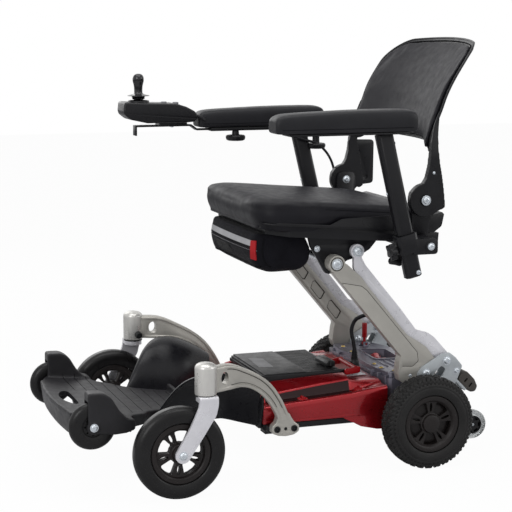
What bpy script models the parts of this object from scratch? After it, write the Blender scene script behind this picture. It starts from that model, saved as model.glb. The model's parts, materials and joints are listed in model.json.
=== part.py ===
"""Portable power wheelchair: an assembly of separate pieces, in metres, with +Z up.

The chair faces -Y and its left side is +X. The origin is on the ground, midway between the wheels.
Each piece of the left side is modelled first, and its right twin is its mirror image.
"""

import math

import bmesh
import bpy
from mathutils import Matrix, Vector

# Clearances
GAP = 0.0003
PIN_CLEARANCE = 0.0005
RUNNING_GAP = 0.0015

# Drive wheels
DRIVE_RADIUS = 0.1015
DRIVE_WIDTH = 0.060
DRIVE_OUTER_X = 0.270
DRIVE_RIM_RADIUS = 0.0625
AXLE_Y = 0.297
AXLE_RADIUS = 0.008
MOTOR_RADIUS = 0.036

RIM_STEPS = 15
TYRE_STEPS = 24

# Casters
CASTER_RADIUS = 0.096
CASTER_WIDTH = 0.040
CASTER_RIM_RADIUS = 0.063
CASTER_TRAIL = 0.055
CASTER_X = 0.280
SWIVEL_X = 0.286
SWIVEL_Y = -0.219
HEAD_RADIUS = 0.0225
HEAD_LOW = 0.213
HEAD_TOP = 0.272
STEM_RADIUS = 0.008
BLADE_THICKNESS = 0.007
BLADE_OUTER_X = 0.311
CROWN_THICKNESS = 0.0117

# Small wheels
FRONT_WHEEL_RADIUS = 0.0495
FRONT_WHEEL_WIDTH = 0.024
FRONT_WHEEL_X = 0.198
FRONT_WHEEL_Y = -0.4335
FRONT_WHEEL_Z = 0.144
ANTI_TIP_RADIUS = 0.033
ANTI_TIP_WIDTH = 0.022
ANTI_TIP_X = 0.150
ANTI_TIP_Y = 0.450
ANTI_TIP_Z = 0.060
SMALL_PIN_RADIUS = 0.004

# Base
PAN_HALF_WIDTH = 0.186
PAN_LOW = 0.097
PAN_TOP = 0.1125
PAN_FRONT = -0.060
PAN_REAR = 0.252
COVER_HALF_WIDTH = 0.193
COVER_REAR = 0.2235
ARCH_LUG_X = 0.2122
ARCH_FOOT_Y = -0.026
ARCH_FOOT_Z = 0.108

# Battery
BATTERY_HALF_WIDTH = 0.112
BATTERY_FRONT = -0.030
BATTERY_REAR = 0.150
BATTERY_TOP = 0.200
BATTERY_CLEARANCE = 0.001

# Gearbox casting
CASTING_HALF_WIDTH = 0.1732
CASTING_TOP = 0.195
CASTING_REAR = 0.360

# Lift linkage, seen from the side: A is the arm's lower pivot, and B is the link's
PIVOT_A = Vector((0.309, 0.200))
LIFT_LENGTH = 0.3268
LIFT_ANGLE = math.radians(130.1)
LINK_OFFSET = Vector((0.0492, 0.0245))
ARM_INNER_X = 0.1770
ARM_OUTER_X = 0.2025
ARM_FRONT = 0.0184
ARM_REAR = 0.0215
ARM_BOSS_RADIUS = 0.0185
SLOT_INNER_X = 0.184
SLOT_OUTER_X = 0.198
LINK_INNER_X = 0.186
LINK_OUTER_X = 0.196
LINK_BOSS_RADIUS = 0.015
SHAFT_RADIUS = 0.008
LINK_PIN_RADIUS = 0.005
CLEVIS_PLATE = 0.003

# Seat
SEAT_TILT = math.radians(4.7)
SEAT_Y = 0.080
SEAT_Z = 0.528
SEAT_FRAME_HALF_WIDTH = 0.200
SEAT_FRAME_DEPTH = 0.023
SEAT_FRAME_FRONT = -0.127
SEAT_FRAME_REAR = 0.256
SEAT_PLATE_THICKNESS = 0.008
SEAT_PIVOT = Vector((0.0985, 0.4500))
SHELL_HALF_WIDTH = 0.207
SHELL_WALL = 0.003
CUSHION_FRONT = -0.164
CUSHION_REAR = 0.2225
CUSHION_CREASE = 0.048
CUSHION_CROWN = 0.007
CUSHION_CORNER = 0.060
POUCH_HALF_WIDTH = 0.1680

# Backrest
BACK_PIVOT_Y = 0.288
BACK_PIVOT_Z = 0.582
BACK_PIN_RADIUS = 0.010
BACK_LOBE_RADIUS = 0.036
BACK_WRAP = 0.045
BACK_TOP = 0.920
BACK_LOW = 0.700
BACK_CUSHION_GAP = 0.0018
EAR_INNER_X = SEAT_FRAME_HALF_WIDTH + 0.0078
EAR_OUTER_X = SEAT_FRAME_HALF_WIDTH + 0.0142
LEG_OUTER_X = EAR_OUTER_X + 0.0168
BACK_HALF_WIDTH = EAR_OUTER_X + 0.0013

# Armrests
RECEIVER_SIZE = 0.030
RECEIVER_Y = 0.282
RECEIVER_Z = 0.4885
BAR_SIZE = 0.022
BAR_LENGTH = 0.120
POST_X = EAR_OUTER_X + 0.0438
POST_WIDTH = 0.026
POST_DEPTH = 0.036
POST_TILT = math.radians(13.5)
POST_FOOT_Y = 0.226
POST_FOOT_Z = 0.520
POST_LOW = 0.425
PAD_HALF_WIDTH = 0.030
PAD_X = POST_X + 0.004
PAD_FRONT = -0.070
PAD_REAR = 0.242
PAD_LOW = 0.733
PAD_TOP = 0.780
PAD_PLATE = 0.008
RIGHT_DROP = 0.023

# Controller
CONTROLLER_X = POST_X - 0.007
CONTROLLER_HALF_WIDTH = 0.032
STICK_Y = -0.210
STICK_PIVOT_Z = 0.775
STICK_TOP = 0.836
BUTTON_RADIUS = 0.0070
BUTTON_FOOT = 0.7625
BUTTON_PRESS = 0.0015
BUTTON_CLEARANCE = 0.0008

CHAIR = bpy.data.collections.new("portable_power_wheelchair")
CUTTERS = bpy.data.collections.new("cutters")


def clear_scene():
    for obj in list(bpy.data.objects):
        bpy.data.objects.remove(obj, do_unlink=True)
    bpy.context.scene.collection.children.link(CHAIR)
    bpy.context.scene.collection.children.link(CUTTERS)
    CUTTERS.hide_render = True


def material(name, colour, roughness, metallic=0.0):
    made = bpy.data.materials.new(name)
    made.use_nodes = True
    shader = made.node_tree.nodes["Principled BSDF"]
    shader.inputs["Base Color"].default_value = (*colour, 1.0)
    shader.inputs["Roughness"].default_value = roughness
    shader.inputs["Metallic"].default_value = metallic
    return made


def add_object(name, data):
    obj = bpy.data.objects.new(name, data)
    CHAIR.objects.link(obj)
    return obj


def face_out(shape):
    bmesh.ops.recalc_face_normals(shape, faces=shape.faces)
    if shape.calc_volume(signed=True) < 0:
        bmesh.ops.reverse_faces(shape, faces=shape.faces)


def settle(obj):
    """Makes the evaluated shape the object's own, in world space, with its normals facing out."""
    graph = bpy.context.evaluated_depsgraph_get()
    mesh = bpy.data.meshes.new_from_object(obj.evaluated_get(graph))
    matrix = obj.matrix_world.copy()
    name = obj.name
    bpy.data.objects.remove(obj, do_unlink=True)
    solid = add_object(name, mesh)
    solid.matrix_world = matrix
    mesh.transform(matrix)
    solid.matrix_world = Matrix.Identity(4)
    shape = bmesh.new()
    shape.from_mesh(mesh)
    bmesh.ops.remove_doubles(shape, verts=shape.verts, dist=0.000002)
    bmesh.ops.dissolve_limit(shape, angle_limit=math.radians(0.6), verts=shape.verts, edges=shape.edges)
    face_out(shape)
    shape.to_mesh(mesh)
    shape.free()
    return solid


def from_bmesh(name, shape):
    face_out(shape)
    mesh = bpy.data.meshes.new(name)
    shape.to_mesh(mesh)
    shape.free()
    return add_object(name, mesh)


def box(name, low, high, turn=None):
    """A box between two corners. A turn is a rotation about X in radians, then a move."""
    shape = bmesh.new()
    bmesh.ops.create_cube(shape, size=1.0)
    size = Vector(high) - Vector(low)
    bmesh.ops.scale(shape, vec=size, verts=shape.verts)
    bmesh.ops.translate(shape, vec=(Vector(high) + Vector(low)) / 2, verts=shape.verts)
    if turn:
        shape.transform(turn)
    return from_bmesh(name, shape)


def sides_for(radius):
    return 2 * round(2.5 + 220 * radius)


def rod(name, start, end, radius, end_radius=None):
    """A cylinder or cone between two points."""
    start = Vector(start)
    along = Vector(end) - start
    shape = bmesh.new()
    bmesh.ops.create_cone(
        shape,
        cap_ends=True,
        segments=sides_for(radius),
        radius1=radius,
        radius2=radius if end_radius is None else end_radius,
        depth=along.length,
    )
    turn = Vector((0, 0, 1)).rotation_difference(along).to_matrix().to_4x4()
    shape.transform(Matrix.Translation(start + along / 2) @ turn)
    return from_bmesh(name, shape)


def bore(name, start, end, radius):
    """A cylinder to cut a hole with, whose flats lie at the radius."""
    return rod(name, start, end, radius / math.cos(math.pi / sides_for(radius)))


def turned(name, profile, centre, axis="X", steps=16, closed=False):
    """A profile of (radius, along) points, top to bottom on its outer side, turned about an axis."""
    mesh = bpy.data.meshes.new(name)
    points = [(radius, 0.0, along) for radius, along in profile]
    edges = [(index, index + 1) for index in range(len(points) - 1)]
    if closed:
        edges.append((len(points) - 1, 0))
    mesh.from_pydata(points, edges, [])
    obj = add_object(name, mesh)
    screw = obj.modifiers.new("turn", "SCREW")
    screw.steps = steps
    screw.render_steps = steps
    screw.use_merge_vertices = True
    screw.merge_threshold = 0.00001
    obj.location = centre
    if axis == "X":
        obj.rotation_euler = (0, math.pi / 2, 0)
    if axis == "Y":
        obj.rotation_euler = (-math.pi / 2, 0, 0)
    bpy.context.view_layer.update()
    return settle(obj)


def add_spline(curve, points, closed=True):
    spline = curve.splines.new("POLY")
    spline.points.add(len(points) - 1)
    for point, place in zip(spline.points, points):
        point.co = (*place, 1.0)
    spline.use_cyclic_u = closed


def plate(name, outline, low, high, axis="X", holes=()):
    """A flat outline with holes, given a thickness from low to high along an axis."""
    curve = bpy.data.curves.new(name, "CURVE")
    curve.dimensions = "2D"
    curve.fill_mode = "BOTH"
    curve.extrude = (high - low) / 2
    for ring in (outline, *holes):
        add_spline(curve, [(a, b, 0.0) for a, b in ring])
    obj = add_object(name, curve)
    middle = (low + high) / 2
    if axis == "X":
        obj.rotation_euler = (math.pi / 2, 0, math.pi / 2)
        obj.location = (middle, 0, 0)
    elif axis == "Y":
        obj.rotation_euler = (math.pi / 2, 0, 0)
        obj.location = (0, middle, 0)
    else:
        obj.location = (0, 0, middle)
    bpy.context.view_layer.update()
    return settle(obj)


def tube(name, points, radius, resolution=2):
    """A round tube along a smooth curve through its route's points."""
    curve = bpy.data.curves.new(name, "CURVE")
    curve.dimensions = "3D"
    curve.bevel_depth = radius
    curve.bevel_resolution = resolution
    curve.use_fill_caps = True
    add_spline(curve, points, closed=False)
    return settle(add_object(name, curve))


def smooth_route(stops, spacing):
    """Points at an even spacing on a Catmull-Rom curve through the stops."""
    stops = [Vector(stop) for stop in stops]
    ends = [2 * stops[0] - stops[1], *stops, 2 * stops[-1] - stops[-2]]
    fine = []
    for before, start, end, after in zip(ends, ends[1:], ends[2:], ends[3:]):
        for step in range(20):
            t = step / 20
            fine.append(
                (
                    start * 2
                    + (end - before) * t
                    + (before * 2 - start * 5 + end * 4 - after) * t * t
                    + (start * 3 - before - end * 3 + after) * t * t * t
                )
                / 2
            )
    fine.append(stops[-1])
    length = sum((b - a).length for a, b in zip(fine, fine[1:]))
    step = length / round(length / spacing)
    route = [fine[0]]
    walked = 0.0
    for a, b in zip(fine, fine[1:]):
        walked += (b - a).length
        if walked >= step * len(route) and b != fine[-1]:
            route.append(b)
    route.append(fine[-1])
    return route


def circle(a, b, radius, sides=16):
    turns = [2 * math.pi * index / sides for index in range(sides)]
    return [(a + radius * math.cos(turn), b + radius * math.sin(turn)) for turn in turns]


def rounded(corners, radius):
    """An outline whose corners are rounded. A corner's own radius may be its third value."""
    outline = []
    for index, corner in enumerate(corners):
        here = Vector(corner[:2])
        before = Vector(corners[index - 1][:2]) - here
        after = Vector(corners[(index + 1) % len(corners)][:2]) - here
        wanted = corner[2] if len(corner) > 2 else radius
        if wanted == 0:
            outline.append(tuple(here))
            continue
        steps = 1 if wanted < 0.0065 else 2 if wanted < 0.035 else 5
        reach = wanted / math.tan(before.angle(after) / 2)
        reach = min(reach, 0.48 * before.length, 0.48 * after.length)
        start = here + before.normalized() * reach
        end = here + after.normalized() * reach
        for step in range(steps + 1):
            t = step / steps
            place = start.lerp(here, t).lerp(here.lerp(end, t), t)
            outline.append(tuple(place))
    return outline


def loft(name, sections):
    """A closed skin over sections with the same number of points each."""
    shape = bmesh.new()
    rings = [[shape.verts.new(point) for point in section] for section in sections]
    count = len(rings[0])
    for low, high in zip(rings, rings[1:]):
        for index in range(count):
            after = (index + 1) % count
            shape.faces.new((low[index], low[after], high[after], high[index]))
    shape.faces.new(list(reversed(rings[0])))
    shape.faces.new(rings[-1])
    return from_bmesh(name, shape)


def soften(obj, width, segments=1):
    bevel = obj.modifiers.new("bevel", "BEVEL")
    bevel.width = width
    bevel.segments = segments
    bevel.limit_method = "ANGLE"
    bevel.angle_limit = math.radians(40)
    return settle(obj)


def combine(obj, others, operation):
    name = obj.name
    for other in others:
        modifier = obj.modifiers.new(other.name, "BOOLEAN")
        modifier.operation = operation
        modifier.object = other
        modifier.solver = "EXACT"
    solid = settle(obj)
    solid.name = name
    return solid


def join(obj, *others):
    solid = combine(obj, others, "UNION")
    for other in others:
        bpy.data.objects.remove(other, do_unlink=True)
    return solid


def cut(obj, *others):
    solid = combine(obj, others, "DIFFERENCE")
    for other in others:
        CHAIR.objects.unlink(other)
        CUTTERS.objects.link(other)
        other.hide_render = True
        other.display_type = "WIRE"
    return solid


def finish(obj, name, look, origin):
    """Names a piece, gives it its material and puts its origin where it turns or stands."""
    origin = Vector(origin)
    obj.name = name
    obj.data.name = name
    obj.data.transform(Matrix.Translation(-origin))
    obj.location = origin
    obj.data.materials.clear()
    obj.data.materials.append(look)
    obj.data.shade_smooth()
    obj.data.set_sharp_from_angle(angle=math.radians(30))
    return obj


def twin(obj, name):
    """The right side's mirror image of a left piece."""
    mesh = obj.data.copy()
    mesh.transform(Matrix.Scale(-1, 4, (1, 0, 0)))
    mesh.flip_normals()
    other = add_object(name, mesh)
    mesh.name = name
    other.location = (-obj.location.x, obj.location.y, obj.location.z)
    return other


def joint_frame(name, place, pieces):
    """An empty on a joint's axis that carries the pieces that move with it."""
    empty = bpy.data.objects.new(name, None)
    empty.empty_display_size = 0.03
    empty.location = place
    CHAIR.objects.link(empty)
    for piece in pieces:
        piece.parent = empty
        piece.matrix_parent_inverse = Matrix.Translation(-Vector(place))
    return empty


def both_sides(left, stem):
    """The left piece and its right twin, under their own names."""
    left.name = stem + "_left"
    return left, twin(left, stem + "_right")


def arm_point(along, across):
    """The side-view place of a point measured from pivot A, up the arm and then to its rear."""
    up = Vector((math.cos(LIFT_ANGLE), math.sin(LIFT_ANGLE)))
    rear = Vector((up.y, -up.x))
    return tuple(PIVOT_A + up * along + rear * across)


def arm_outline(points, radius=0.004):
    return rounded([(*arm_point(*point[:2]), *point[2:]) for point in points], radius)


PIVOT_U = Vector(arm_point(LIFT_LENGTH, 0.0))
PIVOT_B = PIVOT_A + LINK_OFFSET
PIVOT_V = PIVOT_U + LINK_OFFSET
SEAT_LINK_PIVOT = SEAT_PIVOT + LINK_OFFSET
SEAT_CARRY = PIVOT_U - SEAT_PIVOT


def seat_point(along, above):
    """The side-view place of a point measured along the tilted seat, rearward, and above it."""
    return (
        SEAT_Y + along * math.cos(SEAT_TILT) + above * math.sin(SEAT_TILT),
        SEAT_Z - along * math.sin(SEAT_TILT) + above * math.cos(SEAT_TILT),
    )


def seat_outline(points, radius=0.004):
    return rounded([(*seat_point(*point[:2]), *point[2:]) for point in points], radius)


def seat_turn():
    """From seat coordinates (across, along, above) to world ones."""
    return Matrix.Translation((0, SEAT_Y, SEAT_Z)) @ Matrix.Rotation(-SEAT_TILT, 4, "X")


def wedge(centre, inner, outer, angle, half_spread):
    """The outline of a window between two radii, about an angle."""
    points = []
    for radius, signs in ((inner, (-1, 1)), (outer, (1, -1))):
        for sign in signs:
            turn = angle + sign * half_spread
            points.append((centre[0] + radius * math.cos(turn), centre[1] + radius * math.sin(turn)))
    return points


def spoked_rim(name, x, y, z, radius, width, hub, windows, outward):
    """A dished rim with paired spokes. Its bore is blind, and its cap faces outward."""
    half = width / 2
    face = half - 0.009
    recess = radius - 0.0105
    bore_radius = AXLE_RADIUS + PIN_CLEARANCE
    profile = [
        (0.0, half + 0.002),
        (hub * 0.6, half + 0.0005),
        (hub, half - 0.004),
        (hub + 0.001, face),
        (recess - 0.002, face),
        (recess + 0.001, half),
        (radius, half),
        (radius, -half),
        (recess + 0.001, -half),
        (recess - 0.002, -face + 0.004),
        (bore_radius, -face + 0.004),
        (bore_radius, half - 0.008),
        (0.0, half - 0.008),
    ]
    profile = [(r, along * outward) for r, along in profile]
    rim = turned(name, profile, (x, y, z), steps=RIM_STEPS)
    cutters = []
    for index in range(5):
        angle = math.pi / 2 + 2 * math.pi * index / 5
        window = wedge((y, z), hub + 0.006, recess - 0.005, angle, math.radians(windows))
        slot = wedge((y, z), hub + 0.008, recess - 0.008, angle + math.pi / 5, math.radians(4))
        cutters.append(plate(f"{name}_window_{index}", window, x - half, x + half))
        cutters.append(plate(f"{name}_slot_{index}", slot, x - half, x + half))
    return cut(rim, *cutters)


def tyre(name, x, y, z, radius, rim_radius, width):
    """A tyre as a closed ring with rounded shoulders. Its bore's flats clear the rim."""
    half = width / 2
    shoulder = radius * 0.16
    inner = rim_radius / math.cos(math.pi / TYRE_STEPS)
    side = [
        (inner, half - 0.003),
        (radius - shoulder * 1.1, half),
        (radius - shoulder * 0.25, half * 0.84),
        (radius, half * 0.4),
    ]
    profile = side + [(r, -along) for r, along in reversed(side)]
    return turned(name, profile, (x, y, z), steps=TYRE_STEPS, closed=True)


def make_drive_wheels(looks):
    x = DRIVE_OUTER_X - DRIVE_WIDTH / 2
    rim = spoked_rim(
        "drive_rim", x, AXLE_Y, DRIVE_RADIUS, DRIVE_RIM_RADIUS, DRIVE_WIDTH - 0.008, 0.020, 19, 1
    )
    finish(rim, "drive_rim", looks["black_plastic"], (x, AXLE_Y, DRIVE_RADIUS))
    ring = tyre(
        "drive_tyre", x, AXLE_Y, DRIVE_RADIUS, DRIVE_RADIUS, DRIVE_RIM_RADIUS + GAP, DRIVE_WIDTH
    )
    finish(ring, "drive_tyre", looks["tyre"], (x, AXLE_Y, DRIVE_RADIUS))
    rims = both_sides(rim, "drive_rim")
    tyres = both_sides(ring, "drive_tyre")
    for rim_half, tyre_half, side in zip(rims, tyres, ("left", "right")):
        joint_frame(f"drive_axis_{side}", rim_half.location, (rim_half, tyre_half))


def make_drive_unit(looks):
    """Two motors on one axle, with stubs that reach into the wheels."""
    inner_face = DRIVE_OUTER_X - DRIVE_WIDTH
    stub_end = DRIVE_OUTER_X - 0.004 - 0.0085 - GAP
    unit = rod("axle", (-stub_end, AXLE_Y, DRIVE_RADIUS), (stub_end, AXLE_Y, DRIVE_RADIUS), AXLE_RADIUS)
    middle = rod("middle", (-0.08, AXLE_Y, DRIVE_RADIUS), (0.08, AXLE_Y, DRIVE_RADIUS), 0.020)
    parts = [middle]
    for side in (-1, 1):
        parts.append(
            rod(
                "motor",
                (side * 0.070, AXLE_Y, DRIVE_RADIUS),
                (side * 0.168, AXLE_Y, DRIVE_RADIUS),
                MOTOR_RADIUS,
            )
        )
        parts.append(
            rod(
                "nose",
                (side * 0.160, AXLE_Y, DRIVE_RADIUS),
                (side * (inner_face - RUNNING_GAP), AXLE_Y, DRIVE_RADIUS),
                0.026,
            )
        )
    unit = join(unit, *parts)
    return finish(unit, "drive_unit", looks["black_paint"], (0, AXLE_Y, DRIVE_RADIUS))


def make_casters(looks):
    y = SWIVEL_Y - CASTER_TRAIL
    z = CASTER_RADIUS
    place = (CASTER_X, y, z)
    rim = spoked_rim(
        "caster_rim", *place, CASTER_RIM_RADIUS, CASTER_WIDTH - 0.006, 0.017, 21, -1
    )
    finish(rim, "caster_rim", looks["black_plastic"], place)
    ring = tyre(
        "caster_tyre", *place, CASTER_RADIUS, CASTER_RIM_RADIUS + GAP, CASTER_WIDTH
    )
    finish(ring, "caster_tyre", looks["tyre"], place)
    crown_low = HEAD_LOW - GAP - CROWN_THICKNESS
    crown_top = HEAD_LOW - GAP
    crown = rod(
        "crown", (SWIVEL_X, SWIVEL_Y, crown_low + 0.0003), (SWIVEL_X, SWIVEL_Y, crown_top - 0.0003), 0.0215
    )
    blade_x = BLADE_OUTER_X - BLADE_THICKNESS
    shoulder = box(
        "shoulder",
        (SWIVEL_X, SWIVEL_Y - 0.0195, crown_low),
        (BLADE_OUTER_X - 0.0005, SWIVEL_Y + 0.0205, crown_top),
    )
    end = []
    for index in range(9):
        turn = math.radians(-33 - 22.5 * index)
        end.append((y + 0.0155 * math.cos(turn), z + 0.0155 * math.sin(turn), 0))
    sweep = [
        (SWIVEL_Y + 0.0200, crown_top - 0.0005, 0),
        (SWIVEL_Y + 0.0160, 0.176, 0.03),
        (SWIVEL_Y - 0.0120, 0.132, 0.03),
        *end,
        (SWIVEL_Y - 0.0390, 0.153, 0.03),
        (SWIVEL_Y - 0.0215, 0.191, 0.02),
        (SWIVEL_Y - 0.0190, crown_top - 0.0005, 0),
    ]
    blade = plate("blade", rounded(sweep, 0.02), blade_x, BLADE_OUTER_X)
    fork = join(crown, shoulder, blade)
    stem = rod(
        "stem",
        (SWIVEL_X, SWIVEL_Y, crown_low + 0.004),
        (SWIVEL_X, SWIVEL_Y, HEAD_TOP - 0.010),
        STEM_RADIUS,
    )
    hub_inner = CASTER_X - (CASTER_WIDTH - 0.006) / 2 + 0.0085
    axle = rod("axle", (BLADE_OUTER_X - 0.003, y, z), (hub_inner + GAP, y, z), AXLE_RADIUS)
    collar = rod(
        "collar", (blade_x + 0.001, y, z), (CASTER_X + CASTER_WIDTH / 2 + 0.0008, y, z), 0.012
    )
    nut = rod("nut", (BLADE_OUTER_X - 0.001, y, z), (BLADE_OUTER_X + 0.0025, y, z), 0.0085)
    fork = join(fork, stem, axle, collar, nut)
    finish(fork, "caster_fork", looks["bright_silver"], (SWIVEL_X, SWIVEL_Y, crown_low))
    forks = both_sides(fork, "caster_fork")
    rims = both_sides(rim, "caster_rim")
    tyres = both_sides(ring, "caster_tyre")
    for index, side in enumerate(("left", "right")):
        wheel = joint_frame(f"caster_axis_{side}", rims[index].location, (rims[index], tyres[index]))
        swivel = joint_frame(f"swivel_axis_{side}", forks[index].location, (forks[index],))
        wheel.parent = swivel
        wheel.matrix_parent_inverse = Matrix.Translation(-Vector(swivel.location))


ARCH_STATIONS = (
    # top y, top z, bottom y, bottom z, middle x, half width
    (-0.206, 0.2685, -0.206, 0.2165, 0.2850, 0.0135),
    (-0.160, 0.2670, -0.162, 0.2165, 0.2650, 0.0130),
    (-0.117, 0.2490, -0.133, 0.2155, 0.2500, 0.0120),
    (-0.082, 0.2290, -0.107, 0.2070, 0.2400, 0.0115),
    (-0.057, 0.2060, -0.0815, 0.1890, 0.2330, 0.0110),
    (-0.024, 0.1510, -0.0465, 0.1400, 0.2250, 0.0100),
    (-0.013, 0.1300, -0.0500, 0.1230, 0.2235, 0.0100),
    (0.002, 0.1110, -0.0550, 0.1090, 0.2225, 0.0100),
    (-0.002, 0.0980, -0.0470, 0.0960, 0.2225, 0.0100),
)


def arch_sections(stations, inset, low, high):
    """Square sections along the arch, drawn in from its edges, between two shares of its width."""
    sections = []
    for top_y, top_z, low_y, low_z, x, half in stations:
        top = Vector((top_y, top_z))
        bottom = Vector((low_y, low_z))
        top, bottom = (
            top + (bottom - top).normalized() * inset,
            bottom + (top - bottom).normalized() * inset,
        )
        left = x + low * half
        right = x + high * half
        sections.append(
            [(left, *top), (right, *top), (right, *bottom), (left, *bottom)]
        )
    return sections


def make_arches(looks):
    shift = ARCH_LUG_X + GAP + ARCH_STATIONS[-1][5] - ARCH_STATIONS[-1][4]
    stations = [(*station[:4], station[4] + shift, station[5]) for station in ARCH_STATIONS]
    arch = soften(loft("arch", arch_sections(stations, 0.0, -1.0, 1.0)), 0.0025)
    head = turned(
        "head",
        [
            (0.0, HEAD_TOP + 0.008),
            (HEAD_RADIUS * 0.65, HEAD_TOP + 0.0055),
            (HEAD_RADIUS, HEAD_TOP - 0.002),
            (HEAD_RADIUS, HEAD_LOW),
            (STEM_RADIUS + PIN_CLEARANCE, HEAD_LOW),
            (STEM_RADIUS + PIN_CLEARANCE, HEAD_TOP - 0.010 + RUNNING_GAP),
            (0.0, HEAD_TOP - 0.010 + RUNNING_GAP),
        ],
        (SWIVEL_X, SWIVEL_Y, 0.0),
        "Z",
        18,
    )
    space = bore(
        "head_space",
        (SWIVEL_X, SWIVEL_Y, HEAD_LOW - 0.005),
        (SWIVEL_X, SWIVEL_Y, HEAD_TOP - 0.010 + RUNNING_GAP),
        STEM_RADIUS + PIN_CLEARANCE,
    )
    channels = [
        loft("outer_channel", arch_sections(stations[1:6], 0.007, 0.78, 1.4)),
        loft("inner_channel", arch_sections(stations[1:6], 0.007, -1.4, -0.78)),
    ]
    eye = [
        (-0.176 + 0.0065 * math.cos(t), 0.241 + 0.0115 * math.sin(t))
        for t in [math.pi * index / 5 for index in range(10)]
    ]
    hole = plate("arch_eye", eye, 0.2, 0.32)
    arch = cut(arch, *channels, hole, space)
    arch = join(arch, head)
    bolts = []
    outer = stations[-1][4] + stations[-1][5]
    for side in (-1, 1):
        y = ARCH_FOOT_Y + side * 0.019
        bolts.append(rod("bolt", (outer - 0.003, y, 0.1105), (outer + 0.002, y, 0.1105), 0.0065))
    inward = SWIVEL_X - HEAD_RADIUS
    lock = rod(
        "lock_knob",
        (inward + 0.006, SWIVEL_Y + 0.006, HEAD_LOW + 0.014),
        (inward - 0.014, SWIVEL_Y + 0.006, HEAD_LOW + 0.014),
        0.0085,
        0.0072,
    )
    arch = join(arch, *bolts, lock)
    finish(arch, "front_arch", looks["champagne"], (stations[-1][4], ARCH_FOOT_Y, ARCH_FOOT_Z))
    both_sides(arch, "front_arch")


FOOT_HINGE_Y = -0.150
FOOT_HINGE_Z = 0.118
FOOT_HINGE_X = 0.066
HINGE_EYE_RADIUS = 0.010


def make_chassis(looks):
    pan = box(
        "pan", (-PAN_HALF_WIDTH, PAN_FRONT, PAN_LOW), (PAN_HALF_WIDTH, PAN_REAR, PAN_TOP)
    )
    pan = soften(pan, 0.003)
    parts = []
    bores = []
    for side in (-1, 1):
        lug = sorted((side * (PAN_HALF_WIDTH - 0.030), side * ARCH_LUG_X))
        parts.append(
            box(
                "lug",
                (lug[0], ARCH_FOOT_Y - 0.030, 0.090),
                (lug[1], ARCH_FOOT_Y + 0.030, PAN_TOP - 0.0005),
            )
        )
        arm = (side * FOOT_HINGE_X - 0.006, side * FOOT_HINGE_X + 0.006)
        arm_low = (arm[0] + 0.0005, FOOT_HINGE_Y - 0.004, 0.101)
        parts.append(box("hinge_arm", arm_low, (arm[1] - 0.0005, PAN_FRONT + 0.02, 0.1105)))
        parts.append(
            rod(
                "hinge_eye",
                (arm[0], FOOT_HINGE_Y, FOOT_HINGE_Z),
                (arm[1], FOOT_HINGE_Y, FOOT_HINGE_Z),
                HINGE_EYE_RADIUS,
            )
        )
        bores.append(
            bore(
                "hinge_bore",
                (arm[0] - 0.01, FOOT_HINGE_Y, FOOT_HINGE_Z),
                (arm[1] + 0.01, FOOT_HINGE_Y, FOOT_HINGE_Z),
                SMALL_PIN_RADIUS + PIN_CLEARANCE,
            )
        )
    pan = cut(join(pan, *parts), *bores)
    return finish(pan, "base_chassis", looks["black_paint"], (0, PAN_FRONT, PAN_LOW))


COVER_STATIONS = (
    # y, shoulder z, channel floor z, wall top z, bezel z
    (-0.062, 0.150, 0.152, 0.162, 0.166),
    (-0.045, 0.152, 0.155, 0.168, 0.180),
    (-0.013, 0.154, 0.158, 0.1715, 0.187),
    (0.089, 0.161, 0.162, 0.183, 0.192),
    (0.1490, 0.166, 0.166, 0.1885, 0.194),
    (0.1520, 0.168, 0.168, 0.182, 0.1835),
    (0.170, 0.170, 0.170, 0.1795, 0.1800),
    (COVER_REAR, 0.176, 0.177, 0.1795, 0.1800),
)


def make_cover(looks):
    low = PAN_TOP + GAP
    sections = []
    for y, shoulder, floor, wall, bezel in COVER_STATIONS:
        half = [
            (COVER_HALF_WIDTH, low),
            (COVER_HALF_WIDTH, shoulder - 0.008),
            (COVER_HALF_WIDTH - 0.003, shoulder - 0.002),
            (COVER_HALF_WIDTH - 0.010, shoulder),
            (0.155, floor),
            (0.147, wall),
            (0.119, bezel),
        ]
        ring = [(x, y, z) for x, z in half]
        ring += [(-x, y, z) for x, z in reversed(half)]
        sections.append(ring)
    cover = loft("cover", sections)
    flare = rounded(
        [
            (0.118, low + 0.006, 0),
            (0.124, low - 0.002, 0),
            (0.142, 0.102),
            (0.162, 0.091),
            (0.200, 0.081),
            (COVER_REAR, 0.080),
            (COVER_REAR, low + 0.006, 0),
        ],
        0.005,
    )
    skirts = [
        plate("skirt", flare, PAN_HALF_WIDTH + GAP, COVER_HALF_WIDTH),
        plate("skirt", flare, -COVER_HALF_WIDTH, -PAN_HALF_WIDTH - GAP),
    ]
    reach = BATTERY_HALF_WIDTH + BATTERY_CLEARANCE
    well = box(
        "battery_well",
        (-reach, BATTERY_FRONT - 0.010, low - 0.01),
        (reach, BATTERY_REAR + BATTERY_CLEARANCE, 0.25),
    )
    cover = cut(join(cover, *skirts), well)
    knobs = []
    for side in (-1, 1):
        for x, y, z in ((0.180, 0.035, 0.156), (0.168, 0.168, 0.168)):
            knobs.append(rod("knob", (side * x, y, z), (side * x, y, z + 0.009), 0.0095))
            knobs.append(
                box("grip", (side * x - 0.0085, y - 0.002, z), (side * x + 0.0085, y + 0.002, z + 0.0135))
            )
    cover = join(cover, *knobs)
    return finish(cover, "base_cover", looks["red_paint"], (0, 0, low))


BAIL_Y = 0.1605
BAIL_Z = 0.193
BAIL_HALF_SPAN = 0.048
BAIL_X = 0.0665


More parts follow.
